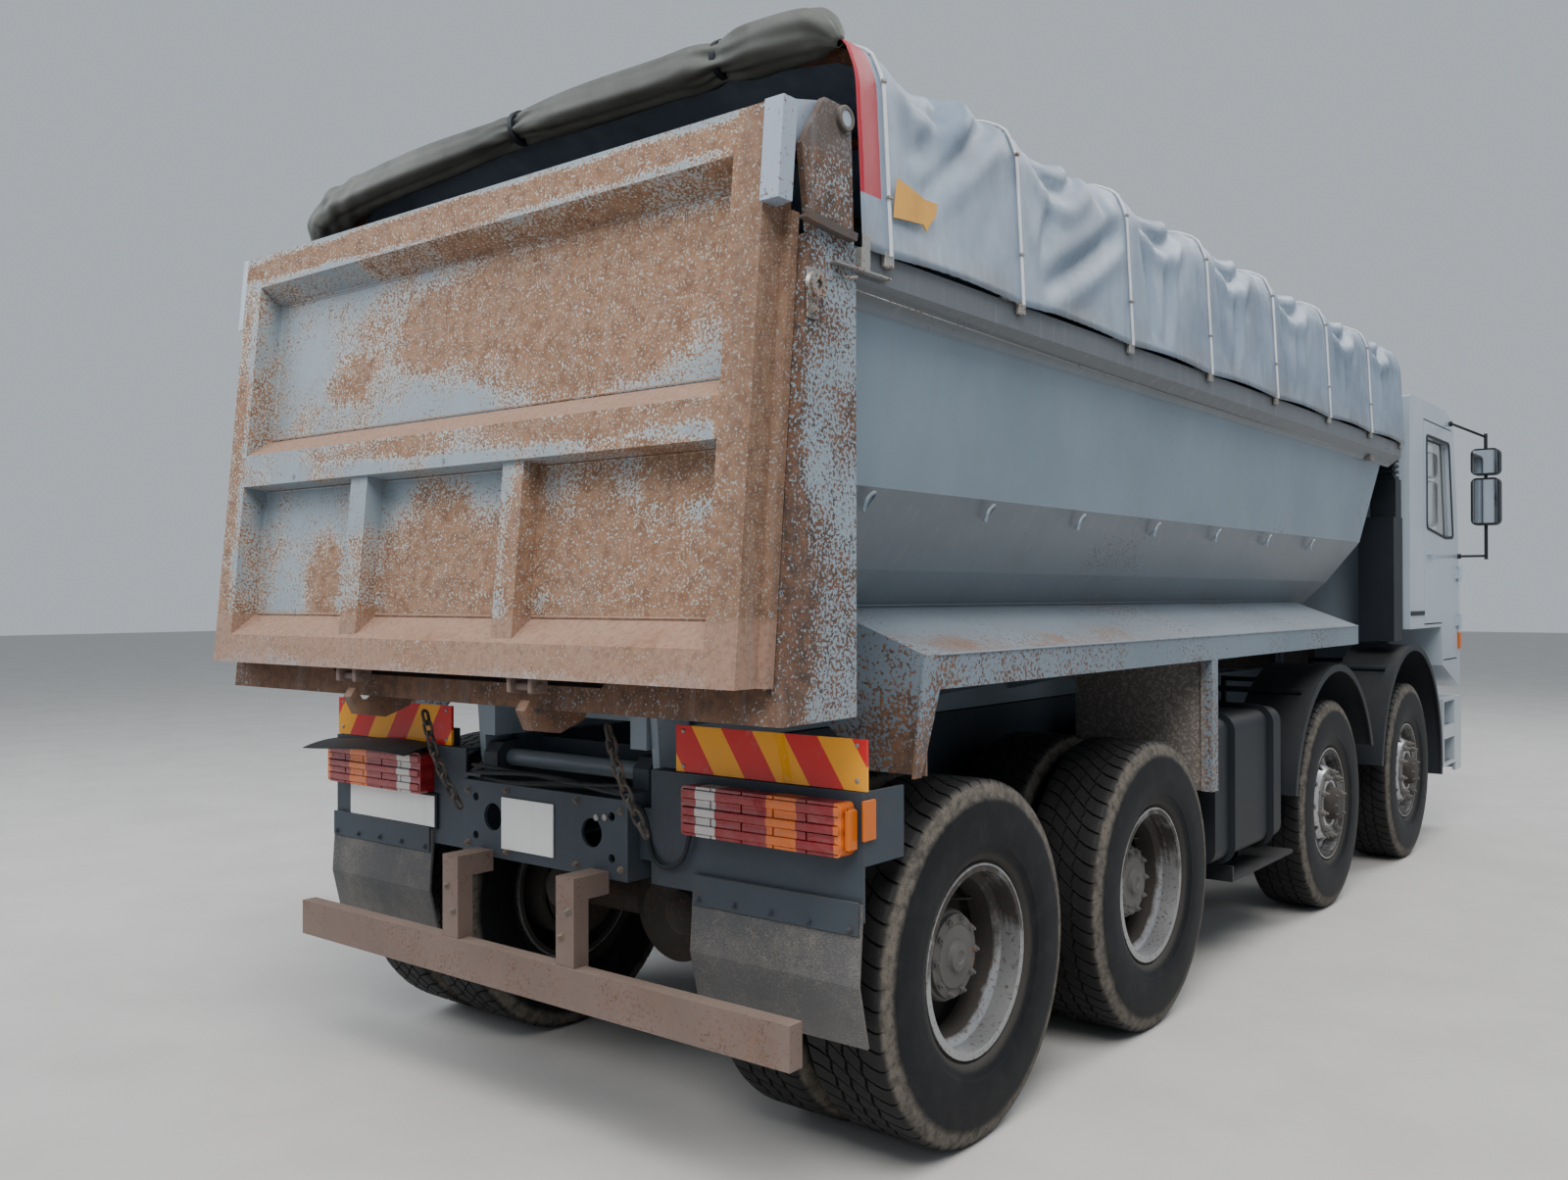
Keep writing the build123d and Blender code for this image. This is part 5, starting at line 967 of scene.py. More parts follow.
CHASSIS = Weathered(
    "chassis_paint", (0.036, 0.050, 0.068), 0.5, shine=0.3, shade=(0.026, 0.037, 0.050),
    rust=(0.075, 0.048, 0.034), fineness=105.0, specks=0.16, breadth=4.0, patches=0.02,
    dust=(0.085, 0.078, 0.068), up=0.5, low=0.24, floor=0.3, ceiling=1.3, streaks=0.3, relief=0.0008)
IRON = Weathered(
    "axle_iron", (0.038, 0.034, 0.031), 0.75, shine=0.3, shade=(0.025, 0.023, 0.021),
    rust=(0.09, 0.052, 0.032), fineness=80.0, specks=0.3, breadth=5.0, patches=0.2,
    dust=(0.11, 0.093, 0.075), up=0.6, low=0.30, floor=0.2, ceiling=1.2, streaks=0.1, grain=160.0,
    relief=0.002)
BLACK_PLASTIC = Weathered(
    "moulded_black_plastic", (0.013, 0.017, 0.023), 0.5, shine=0.22, shade=(0.010, 0.013, 0.017),
    dust=(0.075, 0.070, 0.062), up=0.3, low=0.16, floor=0.3, ceiling=1.4, streaks=0.25, grain=700.0,
    relief=0.0005)
FLAP = Weathered(
    "mud_flap_rubber", (0.062, 0.065, 0.071), 0.8, shade=(0.046, 0.049, 0.054), rust=(0.155, 0.145, 0.13),
    deep=(0.10, 0.095, 0.09), fineness=260.0, specks=0.46, breadth=5.0, patches=0.0,
    dust=(0.135, 0.125, 0.115), up=0.4, low=0.6, floor=0.45, ceiling=0.85, streaks=0.4, relief=0.0004)
CAB_WHITE = Weathered(
    "cab_paint", (0.345, 0.415, 0.490), 0.28, shade=(0.315, 0.38, 0.45), dust=(0.30, 0.28, 0.25), up=0.2,
    low=0.35, floor=0.9, ceiling=1.8, streaks=0.16, gloss=0.6, relief=0.0002)
HOIST_BLACK = Weathered(
    "hoist_paint", (0.03, 0.03, 0.033), 0.4, shade=(0.022, 0.022, 0.025), fineness=80.0, specks=0.12,
    breadth=5.0, patches=0.05, up=0.6, low=0.2, streaks=0.2)
HOIST_CHROME = Weathered(
    "hoist_chrome", (0.62, 0.62, 0.63), 0.14, 1.0, shade=(0.55, 0.55, 0.56), dust=(0.12, 0.10, 0.085),
    up=0.5, low=0.1, streaks=0.25, relief=0.0001)
RUSTY_STEEL = Weathered(
    "rusted_bare_steel", (0.13, 0.085, 0.06), 0.85, shade=(0.09, 0.055, 0.04), fineness=85.0, specks=0.6,
    breadth=6.0, patches=0.5, relief=0.0012)
ZINC = Weathered(
    "dull_zinc", (0.33, 0.33, 0.32), 0.45, 0.7, shade=(0.24, 0.235, 0.22), fineness=120.0, specks=0.25,
    breadth=9.0, patches=0.1, relief=0.0005)
CAB_TRIM = Weathered(
    "cab_trim_plastic", (0.085, 0.087, 0.092), 0.6, shade=(0.07, 0.072, 0.077), up=0.15, low=0.0,
    streaks=0.0, grain=900.0, relief=0.0004)
TINTED = Weathered(
    "tinted_visor", (0.028, 0.032, 0.036), 0.2, shade=(0.022, 0.026, 0.03), up=0.25, low=0.0, streaks=0.1,
    gloss=0.5, relief=0.0001)
SIGN_WHITE = Weathered(
    "blank_plate_white", (0.72, 0.73, 0.73), 0.35, shade=(0.66, 0.67, 0.67), up=0.2, low=0.3, floor=0.5,
    ceiling=1.3, streaks=0.2, relief=0.0001)
AMBER_CAP = Weathered(
    "amber_reflector", (0.56, 0.125, 0.002), 0.35, shine=0.1, shade=(0.50, 0.10, 0.002), up=0.1, low=0.05,
    streaks=0.05, gloss=0.5, grain=250.0, relief=0.0006)
MIRROR_FACE = Weathered(
    "mirror_face", (0.75, 0.77, 0.80), 0.04, 1.0, shade=(0.72, 0.74, 0.77), up=0.0, low=0.0, streaks=0.05,
    relief=0.00002)
CAST_SILVER = Weathered(
    "dirty_silver_casting", (0.135, 0.132, 0.128), 0.6, 0.3, shade=(0.072, 0.070, 0.068), fineness=90.0,
    specks=0.12, breadth=8.0, patches=0.08, dust=(0.18, 0.165, 0.15), up=0.4, low=0.3, streaks=0.1,
    grain=120.0, relief=0.002)
TYRE = Rubber("tyre_rubber", (0.0065, 0.0075, 0.0095), 0.6, shine=0.15)
TARP = CoatedCloth(
    "sheet_cloth", (0.222, 0.288, 0.378), 0.42, shine=0.35, shade=(0.150, 0.198, 0.268), banded=True)
ROLL = CoatedCloth("gathered_cloth", (0.105, 0.112, 0.105), 0.5, shine=0.3, shade=(0.066, 0.071, 0.067))
PIPING = CoatedCloth("piping_cloth", (0.60, 0.62, 0.65), 0.45, shade=(0.50, 0.52, 0.55), threads=1500.0)
PATCH = CoatedCloth("repair_patch", (0.60, 0.30, 0.035), 0.6, shade=(0.46, 0.23, 0.035))
LENS = LampLens("ribbed_lamp_lens", (0.235, 0.004, 0.010), 0.2, shine=0.25)
BOARD = StripedBoard("striped_reflector", (0.56, 0.008, 0.009), 0.4, shine=0.15)
GLASS = Glazing("cab_glass", (0.86, 0.90, 0.90), 0.03)
SEAT = Upholstery("seat_cloth", (0.09, 0.10, 0.125), 0.85)
FLOOR = Weathered(
    "pale_floor", (0.50, 0.49, 0.475), 0.85, shade=(0.46, 0.45, 0.435), up=0.0, low=0.0, streaks=0.0,
    grain=60.0)


# Sub-assemblies

@dataclass
class RoadTyre:
    """A worn block-tread tyre that keeps the plain solid's outline."""
    radius: float = 0.560
    pitches: int = 58
    groove_depth: float = 0.009
    slant_pitches: float = 1.3
    zigzag: float = 0.0045
    groove_half: float = 0.0032
    groove_wall: float = 0.0015
    groove_places: tuple[float, ...] = (-0.056, 0.0, 0.056)
    side_x: float = 0.138
    # Where each pitch's cuts lie as shares of the pitch, and whether the surface is down there
    pitch_shares: tuple[float, ...] = (0.0, 0.025, 0.135, 0.16, 0.45, 0.74)
    pitch_down: tuple[float, ...] = (0.0, 1.0, 1.0, 0.0, 0.0, 0.0)
    # Half section outside the tread: place across, distance from the axle, how deep the cross cuts run
    side: tuple[Point, ...] = (
        (0.118, 0.5592, 1.0), (0.128, 0.5560, 0.7), (0.1345, 0.5490, 0.4), (0.1410, 0.5380, 0.15),
        (0.1455, 0.5230, 0.0), (0.1480, 0.5080, 0.0), (0.1520, 0.4980, 0.0), (0.1535, 0.4820, 0.0),
        (0.1560, 0.4500, 0.0), (0.1570, 0.4150, 0.0), (0.1555, 0.3850, 0.0), (0.1505, 0.3560, 0.0),
        (0.1470, 0.3520, 0.0), (0.1440, 0.3400, 0.0), (0.1370, 0.3220, 0.0), (0.1290, 0.3115, 0.0),
        (0.1190, 0.3060, 0.0), (0.1165, 0.3015, 0.0), (0.1160, 0.2870, 0.0))

    def stations(self) -> np.ndarray:
        """Across the whole tyre: place, distance from the axle, cross cut depth, ring groove depth."""
        edge = self.groove_half + self.groove_wall
        marks = ((-edge, 0.0), (-self.groove_half, 1.0), (self.groove_half, 1.0), (edge, 0.0))
        tread = [(centre + x, ring) for centre in self.groove_places for x, ring in marks]
        tread += [(x, 0.0) for x in (-0.088, -0.030, 0.030, 0.088)]
        middle = [(x, self.radius - 0.0008 * (x / 0.118) ** 2, 1.0, ring) for x, ring in sorted(tread)]
        right = [(x, r, cut, 0.0) for x, r, cut in self.side]
        left = [(-x, r, cut, 0.0) for x, r, cut in reversed(self.side)]
        return np.array(left + middle + right)

    def surface(self, centre: Point) -> Surface:
        """The closed tyre about a crosswise axis.

        Round the tyre the angle is the pitch number plus its share, over all pitches, turned further by a
        slant that follows the sine of the place across. The distance from the axle is the section's, less the
        groove depth times the greater of the cross cut's and the ring groove's depth.

        Args:
            centre: the middle of the wheel.
        Returns:
            The surface, whose second pattern number is the distance from the axle.
        """
        table = self.stations()
        x, r, cut, ring = (table[:, i][None] for i in range(4))
        shares = (np.arange(self.pitches)[:, None] + np.array(self.pitch_shares)[None]).reshape(-1, 1)
        down = np.tile(self.pitch_down, self.pitches)[:, None]
        slant = self.slant_pitches * np.sin(np.pi * np.clip(x, -0.135, 0.135) / 0.27)
        turn = 2 * np.pi * (shares + slant) / self.pitches
        depth = np.maximum(down * cut, ring * (r > 0)) * self.groove_depth
        side_cut = np.where(np.abs(x) > self.side_x, depth * 0.5 * np.sign(x), 0.0)
        across = x + np.where(np.abs(x) < 0.062, self.zigzag * np.sin(2 * np.pi * shares), 0.0) - side_cut
        radius = r - np.where(np.abs(x) > self.side_x, depth * 0.4, depth)
        points = np.array(centre) + np.stack([across, radius * np.cos(turn), radius * np.sin(turn)], -1)
        uv = np.stack([turn * 0.5 + 0 * r, r + 0 * turn], -1)
        return grid(points, round_u=True, round_v=True, uv=uv)


@dataclass
class Wheels:
    """Tyres and the loose hardware on every wheel."""
    front_x: float = 1.043
    rear_x: float = 0.907
    twin_half: float = 0.175
    nut_circle: float = 0.1675
    front_face: float = 0.128
    rear_face: float = 0.014
    hub_nut_circle: float = 0.118
    hub_face: float = 0.219
    front_silver: Colour = (0.41, 0.415, 0.425)
    rear_silver: Colour = (0.31, 0.315, 0.325)
    # Rear hub drum: place across from the wheel's middle, distance from the axle
    hub_drum: tuple[Pair, ...] = (
        (0.020, 0.0), (0.020, 0.150), (0.150, 0.146), (0.196, 0.143), (0.203, 0.138), (0.205, 0.132),
        (0.219, 0.130), (0.221, 0.102), (0.226, 0.097), (0.226, 0.052), (0.231, 0.047), (0.240, 0.044),
        (0.243, 0.022), (0.238, 0.018), (0.238, 0.0))

    def hardware(self, axle: int) -> Surface:
        """Wheel nuts, the hub's bolts and the valve on a right-hand wheel."""
        y = AXLES[axle]
        front = axle <= 2
        face = self.front_x + self.front_face if front else self.rear_x + self.rear_face
        nuts = bolt(0.0165, 0.026).at(round_places(self.nut_circle, 10, (face, y, AXLE_Z), 0.2), (1, 0, 0))
        if front:
            cap = bolt(0.007, 0.007).at(round_places(0.068, 8, (face + 0.053, y, AXLE_Z)), (1, 0, 0))
            profile = ((0, 0.150), (0.006, 0.148), (0.008, 0.185), (0.0, 0.187))
            ring = lathe(profile, (face, y, AXLE_Z), close=True)
            valve = rod([(face - 0.01, y + 0.2, AXLE_Z + 0.09), (face + 0.02, y + 0.215, AXLE_Z + 0.097)],
                        0.005)
            return nuts + cap + ring + valve
        x = self.rear_x
        places = round_places(self.hub_nut_circle, 10, (x + self.hub_face, y, AXLE_Z))
        cap = bolt(0.0105, 0.012).at(places, (1, 0, 0))
        boss = lathe(self.hub_drum, (x, y, AXLE_Z))
        valve = rod([(x + 0.03, y + 0.18, AXLE_Z + 0.12), (x + 0.16, y + 0.205, AXLE_Z + 0.135)], 0.0045)
        return nuts + cap + boss + valve

    def build(self) -> None:
        """Makes every wheel's tyres and hardware and dresses the rims."""
        tyre = RoadTyre()
        for axle, y in AXLES.items():
            front = axle <= 2
            xs = (self.front_x,) if front else (self.rear_x + self.twin_half, self.rear_x - self.twin_half)
            shape = joined(tyre.surface((x, y, AXLE_Z)) for x in xs)
            more, silver = ("", self.front_silver) if front else ("s", self.rear_silver)
            steel = WheelSteel(f"wheel_steel_{axle}", silver, 0.4, axle=axle)
            for side, sign in SIDES:
                body, end = f"wheel{more}_{axle}_{side}", f"{more}_{axle}_{side}"
                made = piece(f"tread_{axle}_{side}", shape.sided(sign), body, TYRE, 30.0)
                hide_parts(f"tyre{end}")
                piece(f"nuts_{axle}_{side}", self.hardware(axle).sided(sign), body, CAST_SILVER)
                dress((f"rim{end}",), steel)


@dataclass
class LoadSheet:
    """The cloth over the load space, its seams, its hem and the roll gathered at the rear."""
    half_w: float = 1.2915
    top_z: float = 3.2945
    foot_z: float = 2.606
    rear_y: float = -0.725
    front_y: float = 5.020
    hoop_half: float = 0.020
    across: int = 132
    lengthwise: int = 300
    ease: float = 0.070
    seed: int = 11
    side_run: float = 0.60
    tie_runs: tuple[float, ...] = (1.36, 2.30)
    roll_length: float = 2.75
    roll_points: int = 260
    roll_start: float = 2.4
    # Corners of half the arch over a hoop: inward from the side and down from the top, then the part of a sag
    # that draws the corner inwards and down
    corners: tuple[tuple[float, ...], ...] = (
        (0.024, 0.215, 0.35, 0.0), (0.063, 0.121, 0.5, 0.45), (0.154, 0.074, 0.2, 1.0),
        (0.580, 0.018, 0.0, 1.0))
    # The sag's marks, shares of the bay and metres: the deep first bay, then all others
    deep_sag: tuple[Pair, ...] = ((0.0, 0.0), (0.34, 0.092), (0.57, 0.010), (0.78, 0.020), (1.0, 0.0))
    even_sag: tuple[Pair, ...] = ((0.0, 0.0), (0.30, 0.064), (0.56, 0.022), (0.76, 0.026), (1.0, 0.0))
    # Folds of the first bay, the second and the others: three places that bend the fold's line, each a share
    # of the bay and metres up from the foot, then half width, depth and the lip's height as a share of it
    folds: tuple[tuple[tuple[float, ...], ...], ...] = (
        ((0.02, 0.62, 0.42, 0.32, 0.60, 0.66, 0.036, 0.030, 0.5),
         (0.54, 0.62, 0.50, 0.38, 0.12, 0.28, 0.036, 0.021, 0.8),
         (0.98, 0.60, 0.64, 0.42, 0.20, 0.18, 0.036, 0.018, 0.8),
         (0.08, 0.46, 0.14, 0.32, 0.09, 0.14, 0.030, 0.008, 0.4),
         (0.90, 0.34, 0.76, 0.22, 0.68, 0.06, 0.050, 0.007, 0.5)),
        ((0.03, 0.62, 0.44, 0.28, 0.64, 0.66, 0.036, 0.026, 0.5),
         (1.00, 0.46, 0.62, 0.24, 0.12, 0.08, 0.036, 0.018, 0.8),
         (0.32, 0.44, 0.22, 0.28, 0.14, 0.16, 0.030, 0.012, 0.6),
         (0.72, 0.62, 0.76, 0.48, 0.84, 0.34, 0.030, 0.009, 0.5)),
        ((0.05, 0.64, 0.40, 0.26, 0.82, 0.68, 0.034, 0.028, 0.6),
         (0.10, 0.58, 0.24, 0.34, 0.24, 0.05, 0.030, 0.018, 0.7),
         (0.44, 0.46, 0.50, 0.26, 0.38, 0.05, 0.032, 0.017, 0.7),
         (0.93, 0.62, 0.86, 0.40, 0.92, 0.10, 0.028, 0.014, 0.6),
         (0.74, 0.56, 0.66, 0.40, 0.60, 0.28, 0.030, 0.011, 0.6)))

    def corner_places(self, sag: np.ndarray, inset: float = 0.0) -> np.ndarray:
        """The arch's corners from the right foot to the left, for each value of a sag.

        Args:
            sag: how far the cloth is let down, one number for each place along.
            inset: how far inside the outer face.
        Returns:
            Array of shape (len(sag), 11, 2) of place across and height.
        """
        half = [np.stack([0 * sag + self.half_w - inset, 0 * sag + self.foot_z], -1)]
        for inward, down, pull, drop in self.corners:
            half.append(np.stack([self.half_w - inset - inward - pull * sag,
                                  self.top_z - inset - down - drop * sag], -1))
        middle = np.stack([0 * sag, self.top_z - inset - sag], -1)
        return np.stack(half + [middle] + [point * (-1, 1) for point in reversed(half)], 1)

    def blend(self, count: int) -> np.ndarray:
        """How much each corner counts at each of the evenly spaced points round the arch.

        Points at the ease's distance on both sides of each corner hold the straight runs, the corners between
        are cut three times, and the result is spaced evenly. All of it is linear in the corners, so it is
        worked out once on their unit weights.

        Args:
            count: how many points.
        Returns:
            Array of shape (count, 11).
        """
        places = self.corner_places(np.zeros(1))[0]
        w = np.eye(len(places))
        gap = np.linalg.norm(np.diff(places, axis=0), axis=1)
        rows = [w[0]]
        for i in range(1, len(places) - 1):
            back, ahead = (min(0.5, self.ease / g) for g in gap[i - 1:i + 1])
            rows += [(1 - back) * w[i] + back * w[i - 1], w[i], (1 - ahead) * w[i] + ahead * w[i + 1]]
        path = corners_cut(np.array(rows + [w[-1]]), 3)
        run = distances(path @ places)
        want = np.linspace(0, run[-1], count) * (1 - 1e-9)
        at = np.searchsorted(run, want, side="right") - 1
        part = ((want - run[at]) / (run[at + 1] - run[at]))[:, None]
        return (1 - part) * path[at] + part * path[at + 1]

    def arch(self, inset: float = 0.0, count: int | None = None) -> np.ndarray:
        """Evenly spaced points over a hoop, from the right foot to the left, of shape (count, 2)."""
        return self.blend(count or self.across) @ self.corner_places(np.zeros(1), inset)[0]

    def sag(self, ys: np.ndarray, bay: np.ndarray, share: np.ndarray) -> np.ndarray:
        """How far the cloth is let down at each place along: eased steps between the marks of its bay."""
        pick = np.random.default_rng(self.seed)
        total = np.zeros(len(ys))
        for number in range(len(HOOP_YS) - 1):
            marks = np.array(self.deep_sag if number == 0 else self.even_sag)
            marks[1:-1, 1] *= pick.uniform(0.85, 1.15)
            marks[1:-1, 0] += pick.normal(0, 0.02)
            at = np.clip(np.searchsorted(marks[:, 0], share, side="right") - 1, 0, len(marks) - 2)
            part = np.clip((share - marks[at, 0]) / (marks[at + 1, 0] - marks[at, 0]), 0, 1)
            level = marks[at, 1] + (marks[at + 1, 1] - marks[at, 1]) * part ** 2 * (3 - 2 * part)
            total = np.where(bay == number, level, total)
        return total

    def creases(self, share: np.ndarray, down: np.ndarray, wide: float, rows: tuple[tuple[float, ...], ...],
                pick: np.random.Generator) -> np.ndarray:
        """Folds of one bay on one side.

        A fold's line is the parabola bent by its three places. Across the line its depth is the Gaussian of
        the distance, with a raised lip beside it, and along the line the depth fades to nothing at both ends.

        Args:
            share: each column's share of the bay.
            down: each row's distance from the foot.
            wide: the bay's length.
            rows: the folds.
            pick: shifts and strengthens each fold a little.
        Returns:
            How far the cloth stands out, of shape (rows, columns).
        """
        total = np.zeros((len(down), len(share)))
        shift, drop, force = pick.normal(0, 0.02), pick.normal(0, 0.015), pick.uniform(0.85, 1.15)
        u = np.linspace(0, 1, 28)[:, None]
        for row in rows:
            marks = np.array(row[:6]).reshape(3, 2) + (shift, drop)
            half, depth, lip = row[6:]
            line = (1 - u) ** 2 * marks[0] + 2 * u * (1 - u) * marks[1] + u ** 2 * marks[2]
            far = np.hypot((share[None, :, None] - line[:, 0]) * wide, down[:, None, None] - line[:, 1])
            near = far.argmin(-1)
            off, at = np.take_along_axis(far, near[..., None], -1)[..., 0], u[near, 0]
            fade = np.clip(np.sin(np.pi * at), 0, 1) ** 0.6
            shape = -np.exp(-(off / half) ** 2) + lip * np.exp(-((off - 2.0 * half) / (1.2 * half)) ** 2)
            total = total + depth * force * pick.uniform(0.85, 1.15) * fade * shape
        return total

    def surface(self) -> Surface:
        """The sheet as one table of points, across by lengthwise.

        Each column starts on the arch of its own sag, and the folds of its bay are laid on it along the
        arch's normal. Slow sines make the cloth uneven, and short waves run down to the hem. All of it fades
        at the hoops and at both ends.

        Returns:
            The surface, with metres as pattern places.
        """
        hoops = np.array(HOOP_YS)
        edges = np.concatenate([hoops - self.hoop_half, hoops + self.hoop_half])
        ys = np.sort(np.concatenate([np.linspace(self.rear_y, self.front_y, self.lengthwise), edges]))
        bay = np.clip(np.searchsorted(hoops, ys, side="right") - 1, 0, len(hoops) - 2)
        low, high = hoops[bay] + self.hoop_half, hoops[bay + 1] - self.hoop_half
        share = np.clip((ys - low) / (high - low), 0, 1)
        path = np.einsum("ac,ncd->and", self.blend(self.across), self.corner_places(self.sag(ys, bay, share)))
        rest = self.arch()
        run = distances(rest)
        ahead = unit(np.gradient(path, axis=0))
        out = np.stack([ahead[..., 1], -ahead[..., 0]], -1)
        s = run[:, None]
        down = np.minimum(s, run[-1] - s)
        lift = 0.0022 * np.sin(ys * 6.1 + 2.0 * down) * np.sin(down * 9.0 + 1.3 * ys) + 0 * s
        pick = np.random.default_rng(self.seed)
        half = self.across // 2
        for number in range(len(hoops) - 1):
            here = bay == number
            for side in (slice(0, half), slice(half, None)):
                wide = float(hoops[number + 1] - hoops[number])
                rows = self.folds[min(number, 2)]
                lift[side, here] += self.creases(share[here], down[side, 0], wide, rows, pick)
        hem = np.exp(-(down / 0.085) ** 2)
        ripple = np.sin(ys * 150.0 + 4.0 * np.sin(ys * 13.0)) * (0.35 + 0.65 * np.abs(np.sin(ys * 7.1 + 0.6)))
        lift = lift + 0.0030 * hem * ripple[None]
        hold = 1 - np.exp(-(np.abs(ys[:, None] - hoops).min(-1) / 0.045) ** 2)
        lift = lift * (0.05 + 0.95 * hold[None])
        edge = np.clip((self.front_y - ys) / 0.05, 0, 1) * np.clip((ys - self.rear_y) / 0.05, 0, 1)
        lift = lift * (0.3 + 0.7 * edge[None])
        x = path[..., 0] + out[..., 0] * lift
        z = path[..., 1] + out[..., 1] * lift
        tuck = np.clip((-0.640 - ys) / 0.08, 0, 1)[None] ** 1.5
        z = z - 0.045 * (tuck * np.clip((down - self.side_run - 0.05) / 0.2, 0, 1))
        z = z + 0.012 * np.sin(np.pi * share)[None] * np.clip(1 - down / 0.08, 0, 1)
        points = np.stack([x, ys[None] + 0 * x, z], -1)
        uv = np.stack([s + 0 * x, ys[None] + 0 * x], -1)
        return grid(points, uv=uv)

    def seams(self) -> Surface:
        """White piping over each hoop, standing just off the cloth."""
        path = self.arch(-0.0045, 110)
        lines = (np.stack([path[:, 0], np.full(len(path), y), path[:, 1]], -1) for y in HOOP_YS[:-1])
        return joined(carried(line, circle(0.0055, 8), (0, 1, 0)) for line in lines)

    def clips(self) -> Surface:
        """Small clips that hold the piping, and the slider under each hoop's foot."""
        path = self.arch(-0.008, 24)
        small = slab((-0.006, -0.009, -0.005), (0.006, 0.009, 0.005), 0.002)
        places = np.array([(x, y, z) for y in HOOP_YS[:-1] for x, z in path[[1, 3, 5, -2, -4, -6]]])
        made = [small.copies(frames_of(*np.eye(3), places))]
        for y in HOOP_YS:
            foot = slab((1.225, y - 0.035, 2.612), (1.272, y + 0.035, 2.640), 0.004)
            shoe = slab((1.276, y - 0.022, 2.575), (1.292, y + 0.022, 2.618), 0.003)
            made.append((foot + shoe).both())
        return joined(made)

    def bundle_line(self) -> np.ndarray:
        """The gathered roll's middle, from the left corner over the rear of the sheet to the right shoulder.

        Returns:
            Array of shape (n, 3), evenly spaced by a smooth curve through the measured places.
        """
        marks = np.array([(-1.250, 2.990), (-1.238, 3.060), (-1.180, 3.145), (-1.020, 3.185), (-0.60, 3.215),
                          (0.017, 3.232), (0.50, 3.228), (0.80, 3.226), (1.05, 3.228), (1.165, 3.215),
                          (1.215, 3.165)])
        marks = corners_cut(marks, 4)
        run = distances(marks)
        want = np.linspace(0, run[-1], self.roll_points)
        x, z = np.interp(want, run, marks[:, 0]), np.interp(want, run, marks[:, 1])
        return np.stack([x, np.full(self.roll_points, -0.722), z], -1)

    def roll(self) -> Surface:
        """The rear flap gathered along the last hoop.

        The section is a spiral of one and a half turns. Long folds are sines of the angle that wander slowly
        along the roll; the spiral is drawn in at the ties and thins towards both ends.

        Returns:
            The surface.
        """
        line = self.bundle_line()
        n, sides = len(line), 96
        run = np.linspace(0, self.roll_length, n)[:, None]
        turns = 2 * np.pi * 1.5
        turn = np.linspace(self.roll_start, turns + self.roll_start, sides)[None]
        swell = 0.066 + 0.006 * np.sin(run * 3.1 + 0.6) + 0.003 * np.sin(run * 7.7 + 1.0)
        pinch, near = (sum(np.exp(-((run - tie) / reach) ** 2) for tie in self.tie_runs)
                       for reach in (0.05, 0.16))
        swell = swell * (1 - 0.24 * pinch)
        end = np.clip(run / 0.16, 0, 1) * np.clip((self.roll_length - run) / 0.10, 0, 1)
        swell = swell * np.sqrt(np.clip(end, 0.04, 1))
        drift = 0.8 * np.sin(run * 1.3) + 0.35 * np.sin(run * 3.3 + 0.8)
        long = 0.0055 * np.sin(3 * turn + 1.6 * drift) + 0.0040 * np.sin(5 * turn - 2.1 * drift + 1.0)
        fans = 0.0055 * pinch * np.sin(9 * turn + 1.0) + 0.0012 * np.sin(11 * turn + 5 * run + 3 * drift)
        tucks = near * (0.0030 * np.sin(7 * turn + 24 * run) + 0.0020 * np.sin(12 * turn - 15 * run))
        rumpled = np.exp(-(run / 0.42) ** 2) * (0.0060 * np.sin(2 * turn + 36 * run)
                                                + 0.0042 * np.sin(5 * turn - 52 * run + 1.0))
        folds = (long + fans + tucks + rumpled) * np.clip(end * 1.5, 0.1, 1)
        radius = swell * (0.80 + 0.20 * (turn - self.roll_start) / turns) + folds
        section = np.stack([radius * np.cos(turn), radius * np.sin(turn)], -1)
        points = carried(line, section, (0, 1, 0), Ends.OPEN).points
        return grid(points.reshape(n, sides, 3), uv=np.stack([run + 0 * turn, turn * 0.06 + 0 * run], -1))

    def patch(self) -> Surface:
        """A plain patch stuck low on the first bay, its outline eased and lifted a little off the cloth."""
        outline = np.array([(-0.567, 2.826), (-0.500, 2.815), (-0.430, 2.800), (-0.366, 2.803),
                            (-0.372, 2.770), (-0.423, 2.713), (-0.440, 2.728), (-0.520, 2.722),
                            (-0.587, 2.715), (-0.580, 2.770)])
        low = np.stack([np.full(len(outline), 1.2935), outline[:, 0], outline[:, 1]], -1)
        return lidded(np.stack([low, low + np.array([0.0035, 0, 0])]))

    def ties(self) -> Surface:
        """Straps round the roll."""
        line = self.bundle_line()
        middles = (int(tie / self.roll_length * (len(line) - 1)) for tie in self.tie_runs)
        return joined(carried(line[i - 1:i + 2], circle(0.056, 24), (0, 1, 0)) for i in middles)

    def build(self) -> None:
        """Makes the sheet, seams, clips, roll and ties."""
        cloth = piece("sheet_over_hoops", self.surface(), "tipper", TARP, 60.0, closed=False)
        thick = cloth.modifiers.new("thickness", "SOLIDIFY")
        thick.thickness = 0.0025
        thick.offset = 1.0
        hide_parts("tarpaulin")
        width = float(distances(self.arch(0.0, 400))[-1])
        piece("hoop_piping", self.seams(), "tipper", PIPING)
        piece("sheet_clips", self.clips(), "tipper", ZINC)
        bundle = piece("gathered_roll", self.roll(), "tipper", ROLL, 60.0, closed=False)
        skin = bundle.modifiers.new("thickness", "SOLIDIFY")
        skin.thickness = 0.002
        piece("sheet_patch", self.patch(), "tipper", PATCH)
        piece("roll_straps", self.ties(), "tipper", BLACK_PLASTIC)
        dress(("tarp_hoops",), RUSTY_STEEL)


